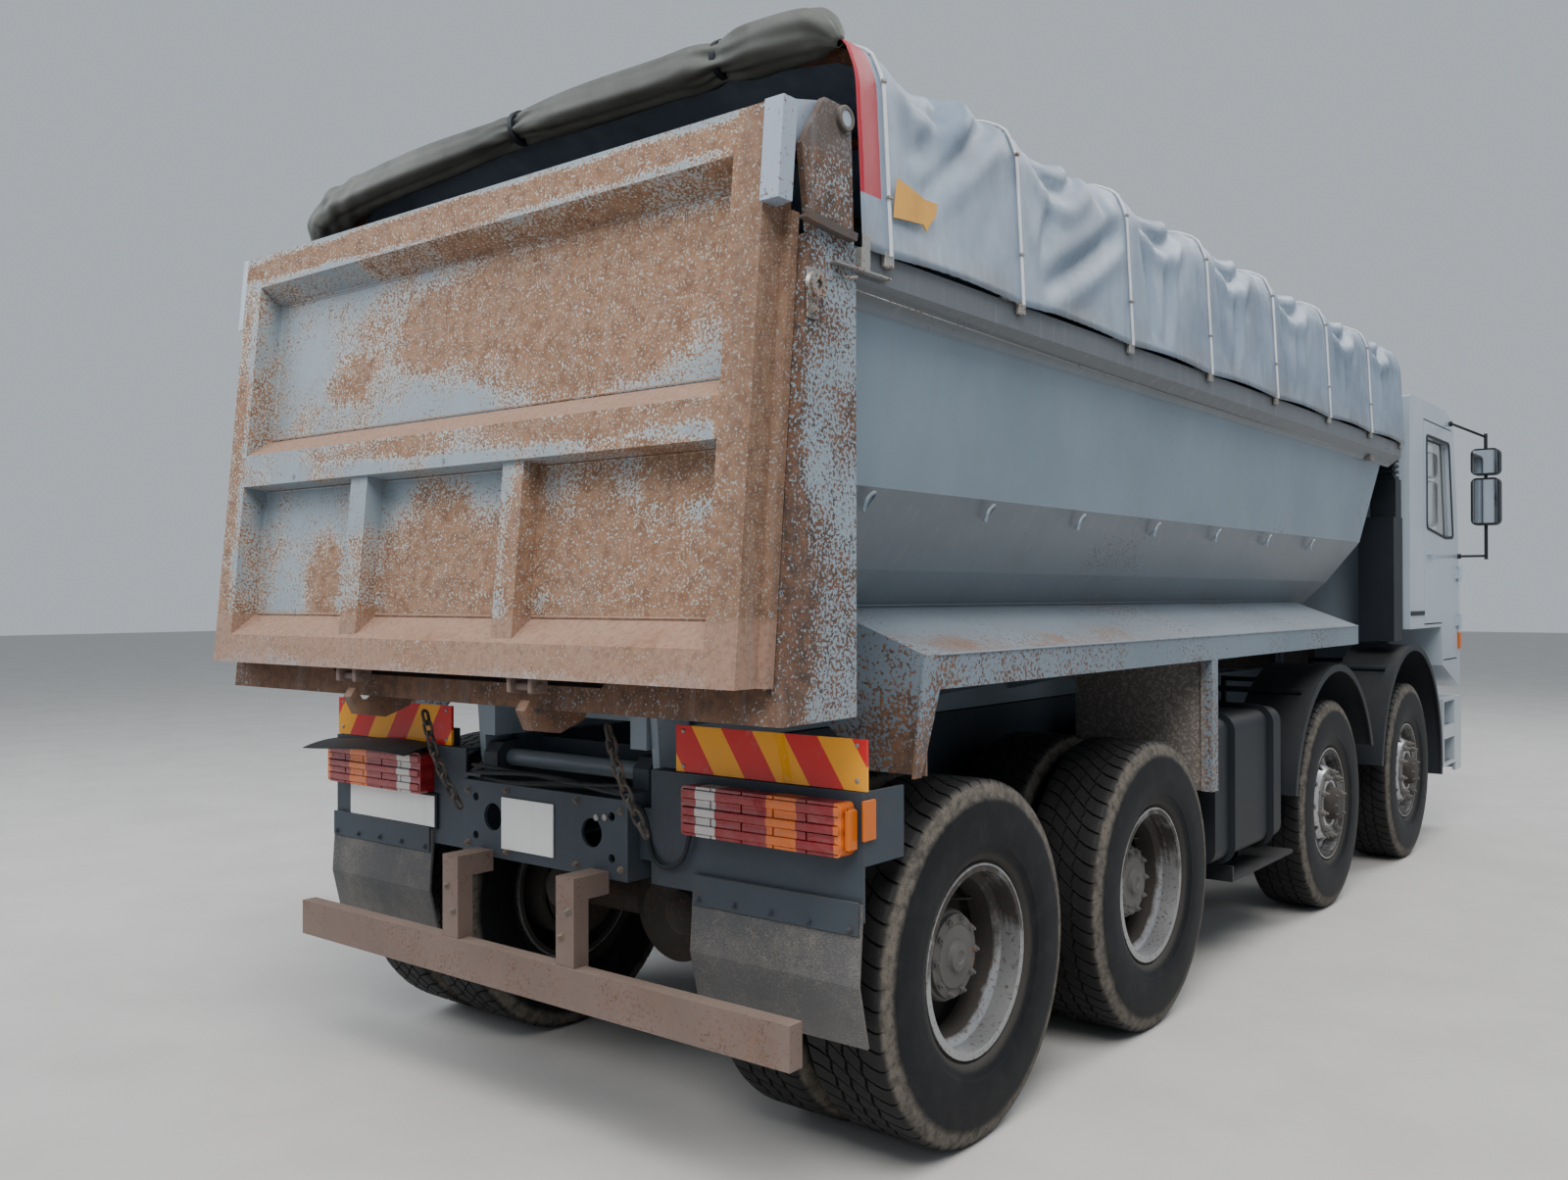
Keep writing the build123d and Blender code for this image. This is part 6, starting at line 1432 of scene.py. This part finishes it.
@dataclass
class TippingBody:
    """Trim on the hull, its rear frame and the guards over the wheels."""
    hook_ys: tuple[float, ...] = (-0.518, 0.162, 0.825, 1.513, 2.193, 2.880, 3.571)
    hook_x: float = 1.150
    hook_z: float = 1.965
    pillar_y: float = -0.738
    # Top and foot of each chain
    chain_ends: tuple[tuple[Point, Point], ...] = (
        ((-0.205, -1.010, 1.325), (-0.085, -0.965, 1.030)), ((0.625, -1.010, 1.330), (0.730, -0.965, 1.030)))

    def hooks(self) -> Surface:
        """Sheet hooks along the hull's fold, each a bent bar with its tip turned up."""
        bend = np.array([(-0.028, 0.035, -0.03), (0.016, 0.030, 0.012), (0.030, 0.004, 0.018),
                         (0.026, -0.030, -0.004), (0.020, -0.036, -0.040)])
        places = ((self.hook_x, y, self.hook_z) for y in self.hook_ys)
        return joined(rod(bend + np.array(place), 0.0055, 8, 3) for place in places).both()

    def cable(self) -> Surface:
        """The thin wire along the hull's top edge, from the pulley to the front bracket."""
        wire = rod([(1.284, -0.930, 2.500), (1.262, -0.70, 2.497), (1.236, 0.6, 2.492),
                    (1.228, 2.2, 2.490), (1.226, 4.43, 2.496)], 0.0014, 6, 2)
        front = slab((1.205, 4.43, 2.470), (1.245, 4.52, 2.525), 0.004)
        return (wire + front).both()

    def pulleys(self) -> Surface:
        """A grooved wheel in a bracket on each pillar, with its bolt."""
        wheel = lathe([(-0.010, 0.012), (-0.010, 0.034), (-0.003, 0.028), (0.003, 0.028), (0.010, 0.034),
                       (0.010, 0.012)], (1.292, -0.930, 2.470), 28, close=True)
        plate = slab((1.276, -0.955, 2.385), (1.281, -0.905, 2.515), 0.002)
        stud = bolt(0.011, 0.010).at([(1.281, -0.930, 2.470),
                                                          (1.281, -0.930, 2.405)], (1, 0, 0))
        return (wheel + plate + stud).both()

    def corner_brackets(self) -> Surface:
        """Angle brackets that hold the sheet's lower rear corners."""
        leg = slab((1.293, -0.735, 2.545), (1.297, -0.700, 2.640), 0.001)
        foot = slab((1.256, -0.850, 2.541), (1.297, -0.600, 2.547), 0.001)
        web = slab((1.256, -0.738, 2.545), (1.295, -0.734, 2.604), 0.001)
        eye = rod([(1.270, -0.80, 2.541), (1.276, -0.80, 2.520), (1.290, -0.79, 2.512),
                   (1.296, -0.76, 2.520)], 0.004, 8, 2)
        return (leg + foot + web + eye).both()

    def welds(self) -> Surface:
        """Weld runs down the joint of hull and pillar and along the guard's shelf."""
        fold = ((1.206, 2.50), (1.206, 2.42), (1.156, 2.00), (1.006, 1.77), (0.905, 1.655))
        down = rod([(x, self.pillar_y, z) for x, z in fold], 0.005, 6, 1)
        shelf = rod([(0.900, -0.36, 1.660), (0.900, 4.10, 1.660)], 0.005, 6)
        lip = rod([(1.2555, -0.30, 1.5195), (1.2555, 4.11, 1.5195)], 0.004, 6)
        return (down + shelf + lip).both()

    def hinge_bolts(self) -> Surface:
        """A bent ledge under each hinge plate, and a small bolt at its end."""
        bent = np.array([(0.0, 0.0), (0.024, 0.0), (0.027, 0.020), (0.023, 0.020), (0.020, 0.005),
                         (0.0, 0.005)])
        line = np.array([(1.2755, -0.985, 2.628), (1.2755, -0.88, 2.618), (1.2755, -0.765, 2.612)])
        ledge = carried(line, bent, (0, 0, 1))
        small = rivet(0.008).at([(1.2755, -0.95, 2.66)], (1, 0, 0))
        return (ledge + small).both()

    def hinge_rings(self) -> Surface:
        """Thick rings round the ends of the tailgate's hinge pins."""
        profile = ((0.0, 0.0225), (0.0, 0.034), (0.010, 0.034), (0.013, 0.031), (0.013, 0.0225))
        return lathe(profile, (1.2765, -0.792, 2.927), 32, close=True).both()

    def chains(self) -> Surface:
        """Two chains that hang under the sill, every second link turned a quarter.

        A link is a stadium-shaped ring: two half circles joined by straight sides, of a round bar.

        Returns:
            The surface.
        """
        turn = np.linspace(0, 2 * np.pi, 20, endpoint=False)
        rise = 0.013 * np.sin(turn) + np.sign(np.sin(turn)) * 0.010
        ring = np.stack([0.013 * np.cos(turn), 0 * turn, rise], -1)
        link = carried(ring, circle(0.0052, 6), (0, 1, 0), Ends.JOINED)
        made = []
        for ends in self.chain_ends:
            a, b = np.array(ends)
            count = int(np.linalg.norm(b - a) / 0.0355)
            share = (np.arange(count) + 0.5) / count
            line = a[None] + (b - a)[None] * share[:, None]
            line[:, 1] -= 0.02 * np.sin(np.pi * share)
            ahead = unit(np.gradient(line, axis=0))
            odd = (np.arange(count) % 2)[:, None]
            side = np.where(odd, np.array([[1.0, 0.3, 0.0]]), np.array([[0.3, -1.0, 0.0]]))
            side = unit(side - (side * ahead).sum(1, keepdims=True) * ahead)
            made.append(link.copies(frames_of(side, np.cross(ahead, side), ahead, line)))
        return joined(made)

    def build(self) -> None:
        """Makes the trim and dresses the body's nodes."""
        piece("sheet_hooks", self.hooks(), "tipper", HULL)
        piece("sheet_cable", self.cable(), "tipper", ZINC)
        piece("cable_pulleys", self.pulleys(), "tipper", ZINC)
        piece("sheet_corner_brackets", self.corner_brackets(), "tipper", ZINC)
        piece("body_welds", self.welds(), "tipper", HULL)
        piece("hinge_plate_ledges", self.hinge_bolts(), "tipper", HINGE_STEEL)
        piece("hinge_pin_rings", self.hinge_rings(), "tailgate", HINGE_STEEL)
        piece("latch_chains", self.chains(), "tipper", IRON)
        dress(("tipper_hull", "front_wall"), HULL)
        dress(("rear_frame",), FRAME_PAINT)
        dress(("wheel_guards",), GUARD_PAINT)


@dataclass
class Tailgate:
    """Trim on the top-hung tailgate."""
    lean: float = 0.0915
    face_y: float = -1.063
    foot_z: float = 1.369
    depth: float = 0.113
    panel: float = 0.030

    def face(self, z: float, depth: float) -> float:
        """The y of a point of the tailgate at a height and a depth behind its inner face."""
        return self.face_y + self.lean * (z - self.foot_z) - depth

    def hooks(self) -> Surface:
        """Three small hooks under the middle rail."""
        z = 2.112
        y = self.face(z, self.depth - 0.03)
        bend = np.array([(0, 0.02, 0), (0, 0.008, -0.022), (0, -0.012, -0.036), (0, -0.030, -0.026),
                         (0, -0.034, -0.008)])
        return joined(rod(bend + np.array([x, y, z]), 0.0045, 8, 3) for x in (-0.795, 0.024, 0.894))

    def welds(self) -> Surface:
        """Weld runs round the three lower panels and the upper panel."""
        made = []
        boxes = ((-1.091, -0.475, 1.632, 2.064), (-0.385, 0.285, 1.632, 2.064), (0.375, 1.091, 1.632, 2.064),
                 (-1.091, 1.091, 2.252, 2.738))
        for x0, x1, z0, z1 in boxes:
            y0, y1 = self.face(z0, self.panel), self.face(z1, self.panel)
            a, b, c, d = (x0, y0, z0), (x1, y0, z0), (x0, y1, z1), (x1, y1, z1)
            made += [rod(ends, 0.0045, 6) for ends in ((a, b), (c, d), (a, c), (b, d))]
        return joined(made)

    def lugs(self) -> Surface:
        """Two pairs of latch ears under the bottom rail with a pin across each."""
        made = []
        for x in (-0.42, 0.42):
            for dx in (-0.045, 0.045):
                y, middle = self.face(1.47, self.depth), x + dx
                made.append(slab((middle - 0.008, y + 0.010, 1.420), (middle + 0.008, y + 0.075, 1.466), 0.004))
            y = self.face(1.44, self.depth) + 0.042
            made.append(rod([(x - 0.062, y, 1.438), (x + 0.062, y, 1.438)], 0.011, 12))
        return joined(made)

    def build(self) -> None:
        """Makes the trim and dresses the tailgate's nodes."""
        piece("gate_hooks", self.hooks(), "tailgate", GATE)
        piece("gate_welds", self.welds(), "tailgate", GATE)
        piece("gate_latch_ears", self.lugs(), "tailgate", CLAY_STEEL)
        dress(("tailgate",), GATE)
        dress(("tailgate_brackets",), BRACKET)


@dataclass
class RearEquipment:
    """Plates, clamps, reflectors and fastenings on the rear panels and the underrun bar."""
    panel_y: float = -0.660
    beam_y: float = -0.712

    def clamps(self) -> Surface:
        """The strips that clamp the mud flaps, with their bolts."""
        strip = slab((0.636, self.panel_y - 0.0185, 0.776), (1.236, self.panel_y - 0.0105, 0.868), 0.002)
        xs = (0.66, 0.80, 0.935, 1.07, 1.21)
        places = np.array([(x, self.panel_y - 0.0185, 0.796 + 0.003 * math.sin(9 * x)) for x in xs])
        return (strip + bolt(0.008, 0.007).at(places, (0, -1, 0))).both()

    def plates(self) -> Surface:
        """The blank registration plate on the left and the blank square sign on the cross member."""
        plate = slab((-1.130, -0.6745, 0.868), (-0.612, -0.6705, 0.980), 0.0015)
        sign = slab((-0.190, self.beam_y - 0.006, 0.850), (0.066, self.beam_y - 0.0005, 1.022), 0.001)
        return plate + sign

    def plate_carrier(self) -> Surface:
        """The black frame behind the registration plate."""
        return slab((-1.138, -0.6705, 0.860), (-0.604, -0.6600, 0.988), 0.003)

    def hood(self) -> Surface:
        """A bent sheet standing out over the left lamp.

        Rows run along the sheet and columns out from the panel; the height drops with the square of the
        way out.

        Returns:
            The sheet as a thin closed slab.
        """
        x = np.linspace(-1.235, -0.600, 24)[:, None]
        out = np.linspace(0, 0.150, 10)[None]
        droop = 1.158 - 1.1 * out ** 2 + 0.012 * np.sin(6 * x)
        top = np.stack([x + 0 * out, self.panel_y - out + 0 * x, droop], -1)
        low = top - np.array([0, 0, 0.003])
        return lidded(np.concatenate([top, low[:, ::-1]], 1))

    def side_reflectors(self) -> Surface:
        """The amber reflectors on the panels' outer returns and the amber ends of the lamps."""
        edge = slab((1.241, -0.668, 1.030), (1.250, -0.610, 1.140), 0.002)
        cap = slab((1.2105, self.panel_y - 0.050, 1.005), (1.2300, self.panel_y - 0.006, 1.120), 0.006)
        return (edge + cap).both()

    def lens_steps(self) -> Surface:
        """Three raised ribs along each tail lamp."""
        rows = ((0.998, 1.026, 0.064), (1.048, 1.076, 0.066), (1.098, 1.127, 0.064))
        return joined(slab((0.638, self.panel_y - out, low), (1.204, self.panel_y - 0.058, high), 0.004)
                      for low, high, out in rows).both()

    def rivets(self) -> Surface:
        """Bright rivets on the cross member and smaller ones on the boards."""
        bright = ((0.262, self.beam_y, 1.000), (0.300, self.beam_y, 1.004))
        corners = ((0.575, 1.18), (1.215, 1.19), (0.575, 1.285), (1.215, 1.285))
        boards = [(s * x, -0.650, z) for s in (1, -1) for x, z in corners]
        return rivet(0.011).at(bright, (0, -1, 0)) + rivet(0.007).at(boards, (0, -1, 0))

    def beam_bolts(self) -> Surface:
        """Bolts round the cross member's edges and on the underrun bar's uprights."""
        beam = ((0.37, 0.850), (0.37, 1.03), (0.17, 0.842), (0.17, 1.045))
        places = [(s * x, self.beam_y, z) for s in (1, -1) for x, z in beam]
        places += [(s * x, -0.8585, z) for s in (1, -1) for x, z in ((0.262, 0.66), (0.294, 0.74))]
        return bolt(0.0085, 0.008).at(places, (0, -1, 0))

    def cable_loops(self) -> Surface:
        """A fixed bundle of cables tied along the cross member's top."""
        made = []
        for k, (r, lift) in enumerate(((0.011, 0.0), (0.008, 0.014), (0.006, 0.026))):
            xs = np.linspace(-0.36, 0.37, 9)
            path = [(x, -0.690 + 0.012 * math.sin(11 * x + k), 1.078 + lift + 0.012 * math.sin(7 * x + 2 * k))
                    for x in xs]
            made.append(rod(path, r, 8, 2))
        made.append(rod([(0.37, -0.690, 1.080), (0.43, -0.655, 1.02), (0.455, -0.672, 0.90),
                         (0.52, -0.676, 0.862), (0.60, -0.676, 0.90), (0.625, -0.676, 0.985)], 0.007, 8, 3))
        return joined(made)

    def build(self) -> None:
        """Makes the pieces and dresses the rear nodes."""
        piece("flap_clamps", self.clamps(), "chassis", CHASSIS)
        piece("blank_plates", self.plates(), "chassis", SIGN_WHITE)
        piece("plate_carrier", self.plate_carrier(), "chassis", BLACK_PLASTIC)
        piece("left_lamp_hood", self.hood(), "chassis", BLACK_PLASTIC)
        piece("side_reflectors", self.side_reflectors(), "chassis", AMBER_CAP)
        piece("lens_ribs", self.lens_steps(), "chassis", LENS)
        piece("rear_rivets", self.rivets(), "chassis", ZINC)
        piece("rear_bolts", self.beam_bolts(), "chassis", HINGE_STEEL)
        piece("tied_cables", self.cable_loops(), "chassis", BLACK_PLASTIC)
        dress(("lamp_panels",), CHASSIS)
        dress(("lamps",), LENS)
        dress(("reflector_boards",), BOARD)
        dress(("mud_flaps",), FLAP)
        dress(("underrun_bar",), CLAY_STEEL)


@dataclass
class Chassis:
    """Trim on the frame, axles, springs, tanks, bumper and hoist."""
    spring_x: float = 0.460
    front_spring_x: float = 0.405

    def u_bolts(self) -> Surface:
        """Bolts bent over each spring pack."""
        made = []
        groups = ((self.spring_x, 0.675, 0.100, 0.765, 0.555, 0.052),
                  *((self.front_spring_x, AXLES[axle], 0.060, 0.600, 0.440, 0.046) for axle in (1, 2)))
        for x, y, half_y, top, low, reach in groups:
            for at in (y + half_y, y - half_y):
                made.append(rod([(x - reach, at, low), (x - reach, at, top), (x + reach, at, top),
                                 (x + reach, at, low)], 0.010, 8, 2))
        return joined(made).both()

    def brake_chambers(self) -> Surface:
        """A round air chamber behind each axle end with its push rod."""
        pot = turned_up([(0, 0), (0.0, 0.050), (0.018, 0.074), (0.060, 0.078), (0.064, 0.086), (0.078, 0.086),
                         (0.082, 0.078), (0.130, 0.072), (0.150, 0.045), (0.150, 0)], 26)
        push = turned_up([(-0.10, 0), (-0.10, 0.009), (0.0, 0.009), (0.0, 0)], 10)
        places = [(s * 0.300, y - 0.235, 0.640) for s in (1, -1) for y in (AXLES[3], AXLES[4])]
        return (pot + push).at(places, (0, -1, 0))

    def air_tanks(self) -> Surface:
        """Air cylinders slung inside the frame between the axles, with domed ends."""
        drum = turned_up([(0, 0), (0.006, 0.06), (0.025, 0.105), (0.05, 0.118), (0.75, 0.118), (0.775, 0.105),
                          (0.794, 0.06), (0.80, 0)], 30)
        places = [(s * 0.235, 2.05, 0.755) for s in (1, -1)]
        return drum.at(places, (0, 1, 0))

    def frame_bolts(self) -> Surface:
        """Rows of bolts on the rails' outer faces at the cross members."""
        places = []
        for y in (-0.04, 1.9, 3.0, 4.4, 6.5):
            places += [(0.4005, y + dy, z) for dy in (-0.05, 0.05) for z in (0.88, 0.96, 1.03)]
        return bolt(0.010, 0.010).at(places, (1, 0, 0)).both()

    def tank_straps(self) -> Surface:
        """Steel bands round the tanks and a filler cap on the right one.

        Each band follows the tank's rounded section just outside its wall.

        Returns:
            The surface.
        """
        turn = np.linspace(0, 2 * np.pi, 64, endpoint=False)
        half_x, half_z, r = 0.3175, 0.320, 0.070
        c, s = np.cos(turn), np.sin(turn)
        x = np.sign(c) * (half_x - r) + (r + 0.003) * c
        z = np.sign(s) * (half_z - r) + (r + 0.003) * s
        made = []
        section = np.array([(-0.022, -0.0015), (0.022, -0.0015), (0.022, 0.0015), (-0.022, 0.0015)])
        for y in (2.255, 2.780):
            path = np.stack([0.8775 + x, np.full(64, y), 0.825 + z], -1)
            made.append(carried(path, section, (0, 1, 0), Ends.JOINED))
        band = joined(made).both()
        cap = turned_up([(0, 0.052), (0.012, 0.054), (0.035, 0.050), (0.040, 0.044), (0.040, 0)], 24)
        return band + cap.at([(1.02, 2.45, 1.144)], (0, 0, 1))

    def hoist_collars(self) -> Surface:
        """The gland nut on the hoist's barrel."""
        ring = turned_up([(0, 0.101), (0.004, 0.110), (0.045, 0.110), (0.050, 0.104), (0.050, 0.101)], 40)
        return ring.at([(0, 4.900, 1.88)], (0, 0, 1))

    def front_lights(self) -> Surface:
        """Rims of the inner reflectors and the indicators in the bumper."""
        bowl = turned_up([(0, 0.072), (0.003, 0.076), (0.006, 0.072), (0.002, 0.066)], 30)
        return bowl.at([(x, 6.9825, 0.70) for x in (0.845, 1.035)], (0, 1, 0)).both()

    def step_treads(self) -> Surface:
        """Rows of small raised studs on the entry steps."""
        x, y = np.meshgrid(np.arange(0.985, 1.20, 0.028), np.arange(6.46, 6.76, 0.028), indexing="ij")
        low = np.stack([x.ravel(), y.ravel(), np.full(x.size, 0.5100)], -1)
        high = low + np.array([0, 0, 0.26])
        return rivet(0.006).at(np.vstack([low, high]), (0, 0, 1)).both()

    def build(self) -> None:
        """Makes the trim and dresses the chassis and hoist nodes."""
        piece("spring_u_bolts", self.u_bolts(), "chassis", RUSTY_STEEL)
        piece("brake_chambers", self.brake_chambers(), "chassis", IRON)
        piece("air_tanks", self.air_tanks(), "chassis", CHASSIS)
        piece("frame_bolts", self.frame_bolts(), "chassis", IRON)
        piece("tank_straps", self.tank_straps(), "chassis", BLACK_PLASTIC)
        piece("hoist_gland", self.hoist_collars(), "hoist_barrel", HOIST_CHROME)
        piece("headlamp_rims", self.front_lights(), "chassis", ZINC)
        piece("step_studs", self.step_treads(), "chassis", BLACK_PLASTIC)
        dress(("chassis_frame", "subframe"), CHASSIS)
        dress(("axles", "engine_block", "leaf_springs"), IRON)
        dress(("side_tanks", "front_mudguards", "air_intake"), BLACK_PLASTIC)
        dress(("bumper_and_steps",), CAB_WHITE)
        dress(tuple(f"knuckle_{axle}_{side}" for axle in (1, 2) for side, _ in SIDES), IRON)
        dress(("hoist_barrel",), HOIST_BLACK)
        dress(tuple(f"hoist_stage_{number}" for number in (1, 2, 3, 4)), HOIST_CHROME)


@dataclass
class Cab:
    """The cab's rubber seals, wipers, glass faces and seats."""
    half_w: float = 1.215
    screen_low: Pair = (6.918, 2.100)
    screen_high: Pair = (6.796, 2.790)
    screen_half: float = 1.080
    # Soft parts of a seat: name, half width, rear and front, foot and top, lean
    cushions: tuple[tuple[str, float, Pair, Pair, float], ...] = (
        ("cushion", 0.25, (5.74, 6.238), (1.770, 1.898), 0.0),
        ("back", 0.238, (5.735, 5.865), (1.885, 2.440), 0.16),
        ("head_rest", 0.14, (5.655, 5.745), (2.455, 2.588), 0.1))

    def on_screen(self, x: float, z: float, out: float = 0.006) -> Point:
        """A point standing off the windscreen at a place across and a height."""
        (y0, z0), (y1, z1) = self.screen_low, self.screen_high
        slope = (y1 - y0) / (z1 - z0)
        return (x, y0 + slope * (z - z0) + out, z)

    def seals(self) -> Surface:
        """Rubber strips round the windscreen and the door windows."""
        w, z0, z1 = self.screen_half + 0.004, self.screen_low[1] - 0.002, self.screen_high[1] + 0.004
        corners = ((w, z0), (w, z1), (-w, z1), (-w, z0))
        path = np.array([self.on_screen(x, z, 0.001) for x, z in self.eased(corners, 0.03)])
        strip = carried(path, circle(0.013, 8) * np.array([1.0, 0.6]), (0, 1, 0.17), Ends.JOINED)
        window = ((5.950, 2.140), (5.950, 2.760), (6.625, 2.760), (6.745, 2.100), (6.500, 2.090))
        line = np.array([(self.half_w + 0.001, y, z) for y, z in self.eased(window, 0.03)])
        door = carried(line, circle(0.011, 8) * np.array([1.0, 0.5]), (1, 0, 0), Ends.JOINED)
        return strip + door.both()

    def eased(self, corners: Iterable[Pair], r: float) -> list[np.ndarray]:
        """A closed outline with its corners rounded by short steps.

        Args:
            corners: the outline's corners.
            r: how far each corner is cut back along its sides.
        Returns:
            The eased outline's points.
        """
        made = []
        for i, here in enumerate(corners):
            before, after = np.array(corners[i - 1]), np.array(corners[(i + 1) % len(corners)])
            here = np.array(here)
            a = here + (before - here) / np.linalg.norm(before - here) * r
            b = here + (after - here) / np.linalg.norm(after - here) * r
            for t in (0.0, 0.25, 0.5, 0.75, 1.0):
                made.append((1 - t) ** 2 * a + 2 * t * (1 - t) * here + t ** 2 * b)
        return made

    def wipers(self) -> Surface:
        """Two parked wiper arms and blades low on the windscreen."""
        made = []
        for x in (-0.30, 0.42):
            foot = self.on_screen(x, 2.075, 0.035)
            hand = self.on_screen(x + 0.36, 2.190, 0.030)
            made.append(rod([foot, self.on_screen(x + 0.06, 2.10, 0.040), hand], 0.007, 8, 1))
            ends = self.on_screen(x - 0.02, 2.145, 0.012), self.on_screen(x + 0.62, 2.225, 0.012)
            made.append(rod([ends[0], hand, ends[1]], 0.006, 8, 1))
        return joined(made)

    def mirror_faces(self) -> Surface:
        """The glass faces of both mirror pairs."""
        faces = ((2.205, 2.515), (2.562, 2.728))
        return joined(slab((1.320, 6.8785, low), (1.476, 6.8805, high), 0.0008) for low, high in faces).both()

    def side_lamps(self) -> Surface:
        """Amber repeaters low on the cab's flanks."""
        return slab((1.2155, 6.895, 1.300), (1.228, 6.955, 1.420), 0.004).both()

    def panel_lines(self) -> Surface:
        """Dark rubber strips low along the doors and the fixing bolts of the visor."""
        strip = slab((1.2145, 5.50, 1.555), (1.221, 5.86, 1.585), 0.002)
        bolts = rivet(0.012).at([(x, 6.957, 2.8705) for x in (-0.9, -0.3, 0.3, 0.9)],
                                           (0, 0.3, 0.95))
        return strip.both() + bolts

    def cushion(self, low: Point, high: Point, lean: float) -> Surface:
        """A stuffed cushion.

        A block's surface from rounded powers of sine and cosine over a globe's two angles, its face drawn in
        along three seams, then leant back about its foot.

        Args:
            low: lowest corner.
            high: highest corner.
            lean: how far back it goes for each metre of height.
        Returns:
            The closed surface.
        """
        u = np.linspace(-np.pi / 2, np.pi / 2, 34)[:, None]
        v = np.linspace(0, 2 * np.pi, 72, endpoint=False)[None]

        def power(value: np.ndarray, share: float) -> np.ndarray:
            """The value's size raised to a share, its sign kept."""
            return np.sign(value) * np.abs(value) ** share

        mid, half = (np.array(high) + np.array(low)) / 2, (np.array(high) - np.array(low)) / 2
        x = power(np.cos(u), 0.34) * power(np.cos(v), 0.34)
        y = power(np.cos(u), 0.34) * power(np.sin(v), 0.34)
        z = power(np.sin(u), 0.34) + 0 * v
        seams = sum(np.exp(-((x - s) / 0.05) ** 2) for s in (-0.45, 0.0, 0.45))
        swell = 1 - 0.035 * seams
        points = np.stack([x * half[0], y * half[1] * swell, z * half[2] * swell], -1) + mid
        points[..., 1] -= lean * (points[..., 2] - low[2])
        return grid(points, round_v=True, uv=np.stack([x, y + z], -1))

    def seats(self) -> None:
        """Two sprung seats: box base, cushion, back and head rest."""
        bases = []
        for side, sign in SIDES[::-1]:
            middle = sign * 0.62
            for name, half, (y0, y1), (z0, z1), lean in self.cushions:
                shape = self.cushion((middle - half, y0, z0), (middle + half, y1, z1), lean)
                soft = piece(f"seat_{name}_{side}", shape, "cab", SEAT, 60.0)
                if name == "cushion":
                    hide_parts("seats")
            bases.append(slab((middle - 0.19, 5.80, 1.531), (middle + 0.19, 6.19, 1.772), 0.012))
            for x in (middle - 0.06, middle + 0.06):
                bases.append(rod([(x, 5.705, 2.38), (x, 5.700, 2.50)], 0.006))
        piece("seat_bases", joined(bases), "cab", CAB_TRIM)

    def build(self) -> None:
        """Makes the trim and dresses the cab's nodes."""
        piece("window_seals", self.seals(), "cab", BLACK_PLASTIC)
        piece("wipers", self.wipers(), "cab", BLACK_PLASTIC)
        piece("mirror_faces", self.mirror_faces(), "cab", MIRROR_FACE)
        piece("cab_side_lamps", self.side_lamps(), "cab", AMBER_CAP)
        piece("cab_trim_strips", self.panel_lines(), "cab", BLACK_PLASTIC)
        self.seats()
        dress(("cab_shell", "door_right", "door_left"), CAB_WHITE)
        dress(("windscreen", "door_glass_right", "door_glass_left"), GLASS)
        dress(("grille", "dashboard", "steering_wheel", "seats"), CAB_TRIM)
        dress(("mirrors",), BLACK_PLASTIC)
        dress(("sun_visor",), TINTED)


# Camera, light and floor

@dataclass
class Studio:
    """A plain pale floor, soft light and the camera."""
    place: Point = (3.2439, -6.4327, 1.6895)
    right: Point = (0.78303796, 0.62197076, -0.00198268)
    up: Point = (0.0045577, -0.00255029, 0.99998636)
    ahead: Point = (-0.62195722, 0.78303632, 0.00483173)
    lens_mm: float = 29.788
    sensor_mm: float = 36.0
    floor_half: float = 60.0

    def camera(self) -> None:
        """The camera at the place and turn that were solved."""
        held = bpy.data.cameras.new("camera")
        held.sensor_width = self.sensor_mm
        held.lens = self.lens_mm
        held.clip_end = 300.0
        made = placed("camera", held)
        axes = np.eye(4)
        axes[:3, 0], axes[:3, 1], axes[:3, 2] = self.right, self.up, -np.array(self.ahead)
        axes[:3, 3] = self.place
        made.matrix_world = Matrix(axes.tolist())
        bpy.context.scene.camera = made

    def lamp(self, name: str, place: Point, size: float, watts: float,
             colour: Point) -> None:
        """One large soft light that faces the truck's middle."""
        held = bpy.data.lights.new(name, "AREA")
        held.shape = "DISK"
        held.size, held.energy, held.color = size, watts, colour
        made = placed(name, held)
        made.location = place
        made.rotation_euler = (Vector((0, 0, 1.2)) - Vector(place)).to_track_quat("-Z", "Y").to_euler()

    def floor(self) -> None:
        """The floor as one large square."""
        h = self.floor_half
        table = np.array([[(-h, -h, 0), (-h, h, 0)], [(h, -h, 0), (h, h, 0)]], float)
        mesh = bpy.data.meshes.new("floor")
        shape = grid(table)
        mesh.from_pydata(shape.points.tolist(), [], shape.quads.tolist())
        mesh.materials.append(FLOOR.material())
        placed("floor", mesh)

    def build(self) -> None:
        """Sets up the camera, the floor, the sky and the lights."""
        self.camera()
        self.floor()
        world = bpy.data.worlds.new("sky")
        world.use_nodes = True
        back = world.node_tree.nodes["Background"]
        back.inputs["Color"].default_value = (0.84, 0.92, 1.0, 1.0)
        back.inputs["Strength"].default_value = 0.55
        bpy.context.scene.world = world
        self.lamp("key", (5.0, -9.0, 12.0), 9.0, 2300.0, (1.0, 0.97, 0.93))
        self.lamp("fill", (-9.0, -9.0, 8.0), 10.0, 900.0, (0.93, 0.96, 1.0))
        self.lamp("back", (4.0, 9.0, 12.0), 8.0, 1300.0, (1.0, 1.0, 1.0))


def main() -> None:
    """Builds every sub-assembly in order, then the studio."""
    logging.basicConfig(level=logging.INFO, format="%(name)s %(message)s")
    for part in (Wheels, Chassis, RearEquipment, TippingBody, Tailgate, LoadSheet, Cab, Studio):
        log.info("building %s", part.__name__)
        part().build()


if __name__ == "__main__":
    main()
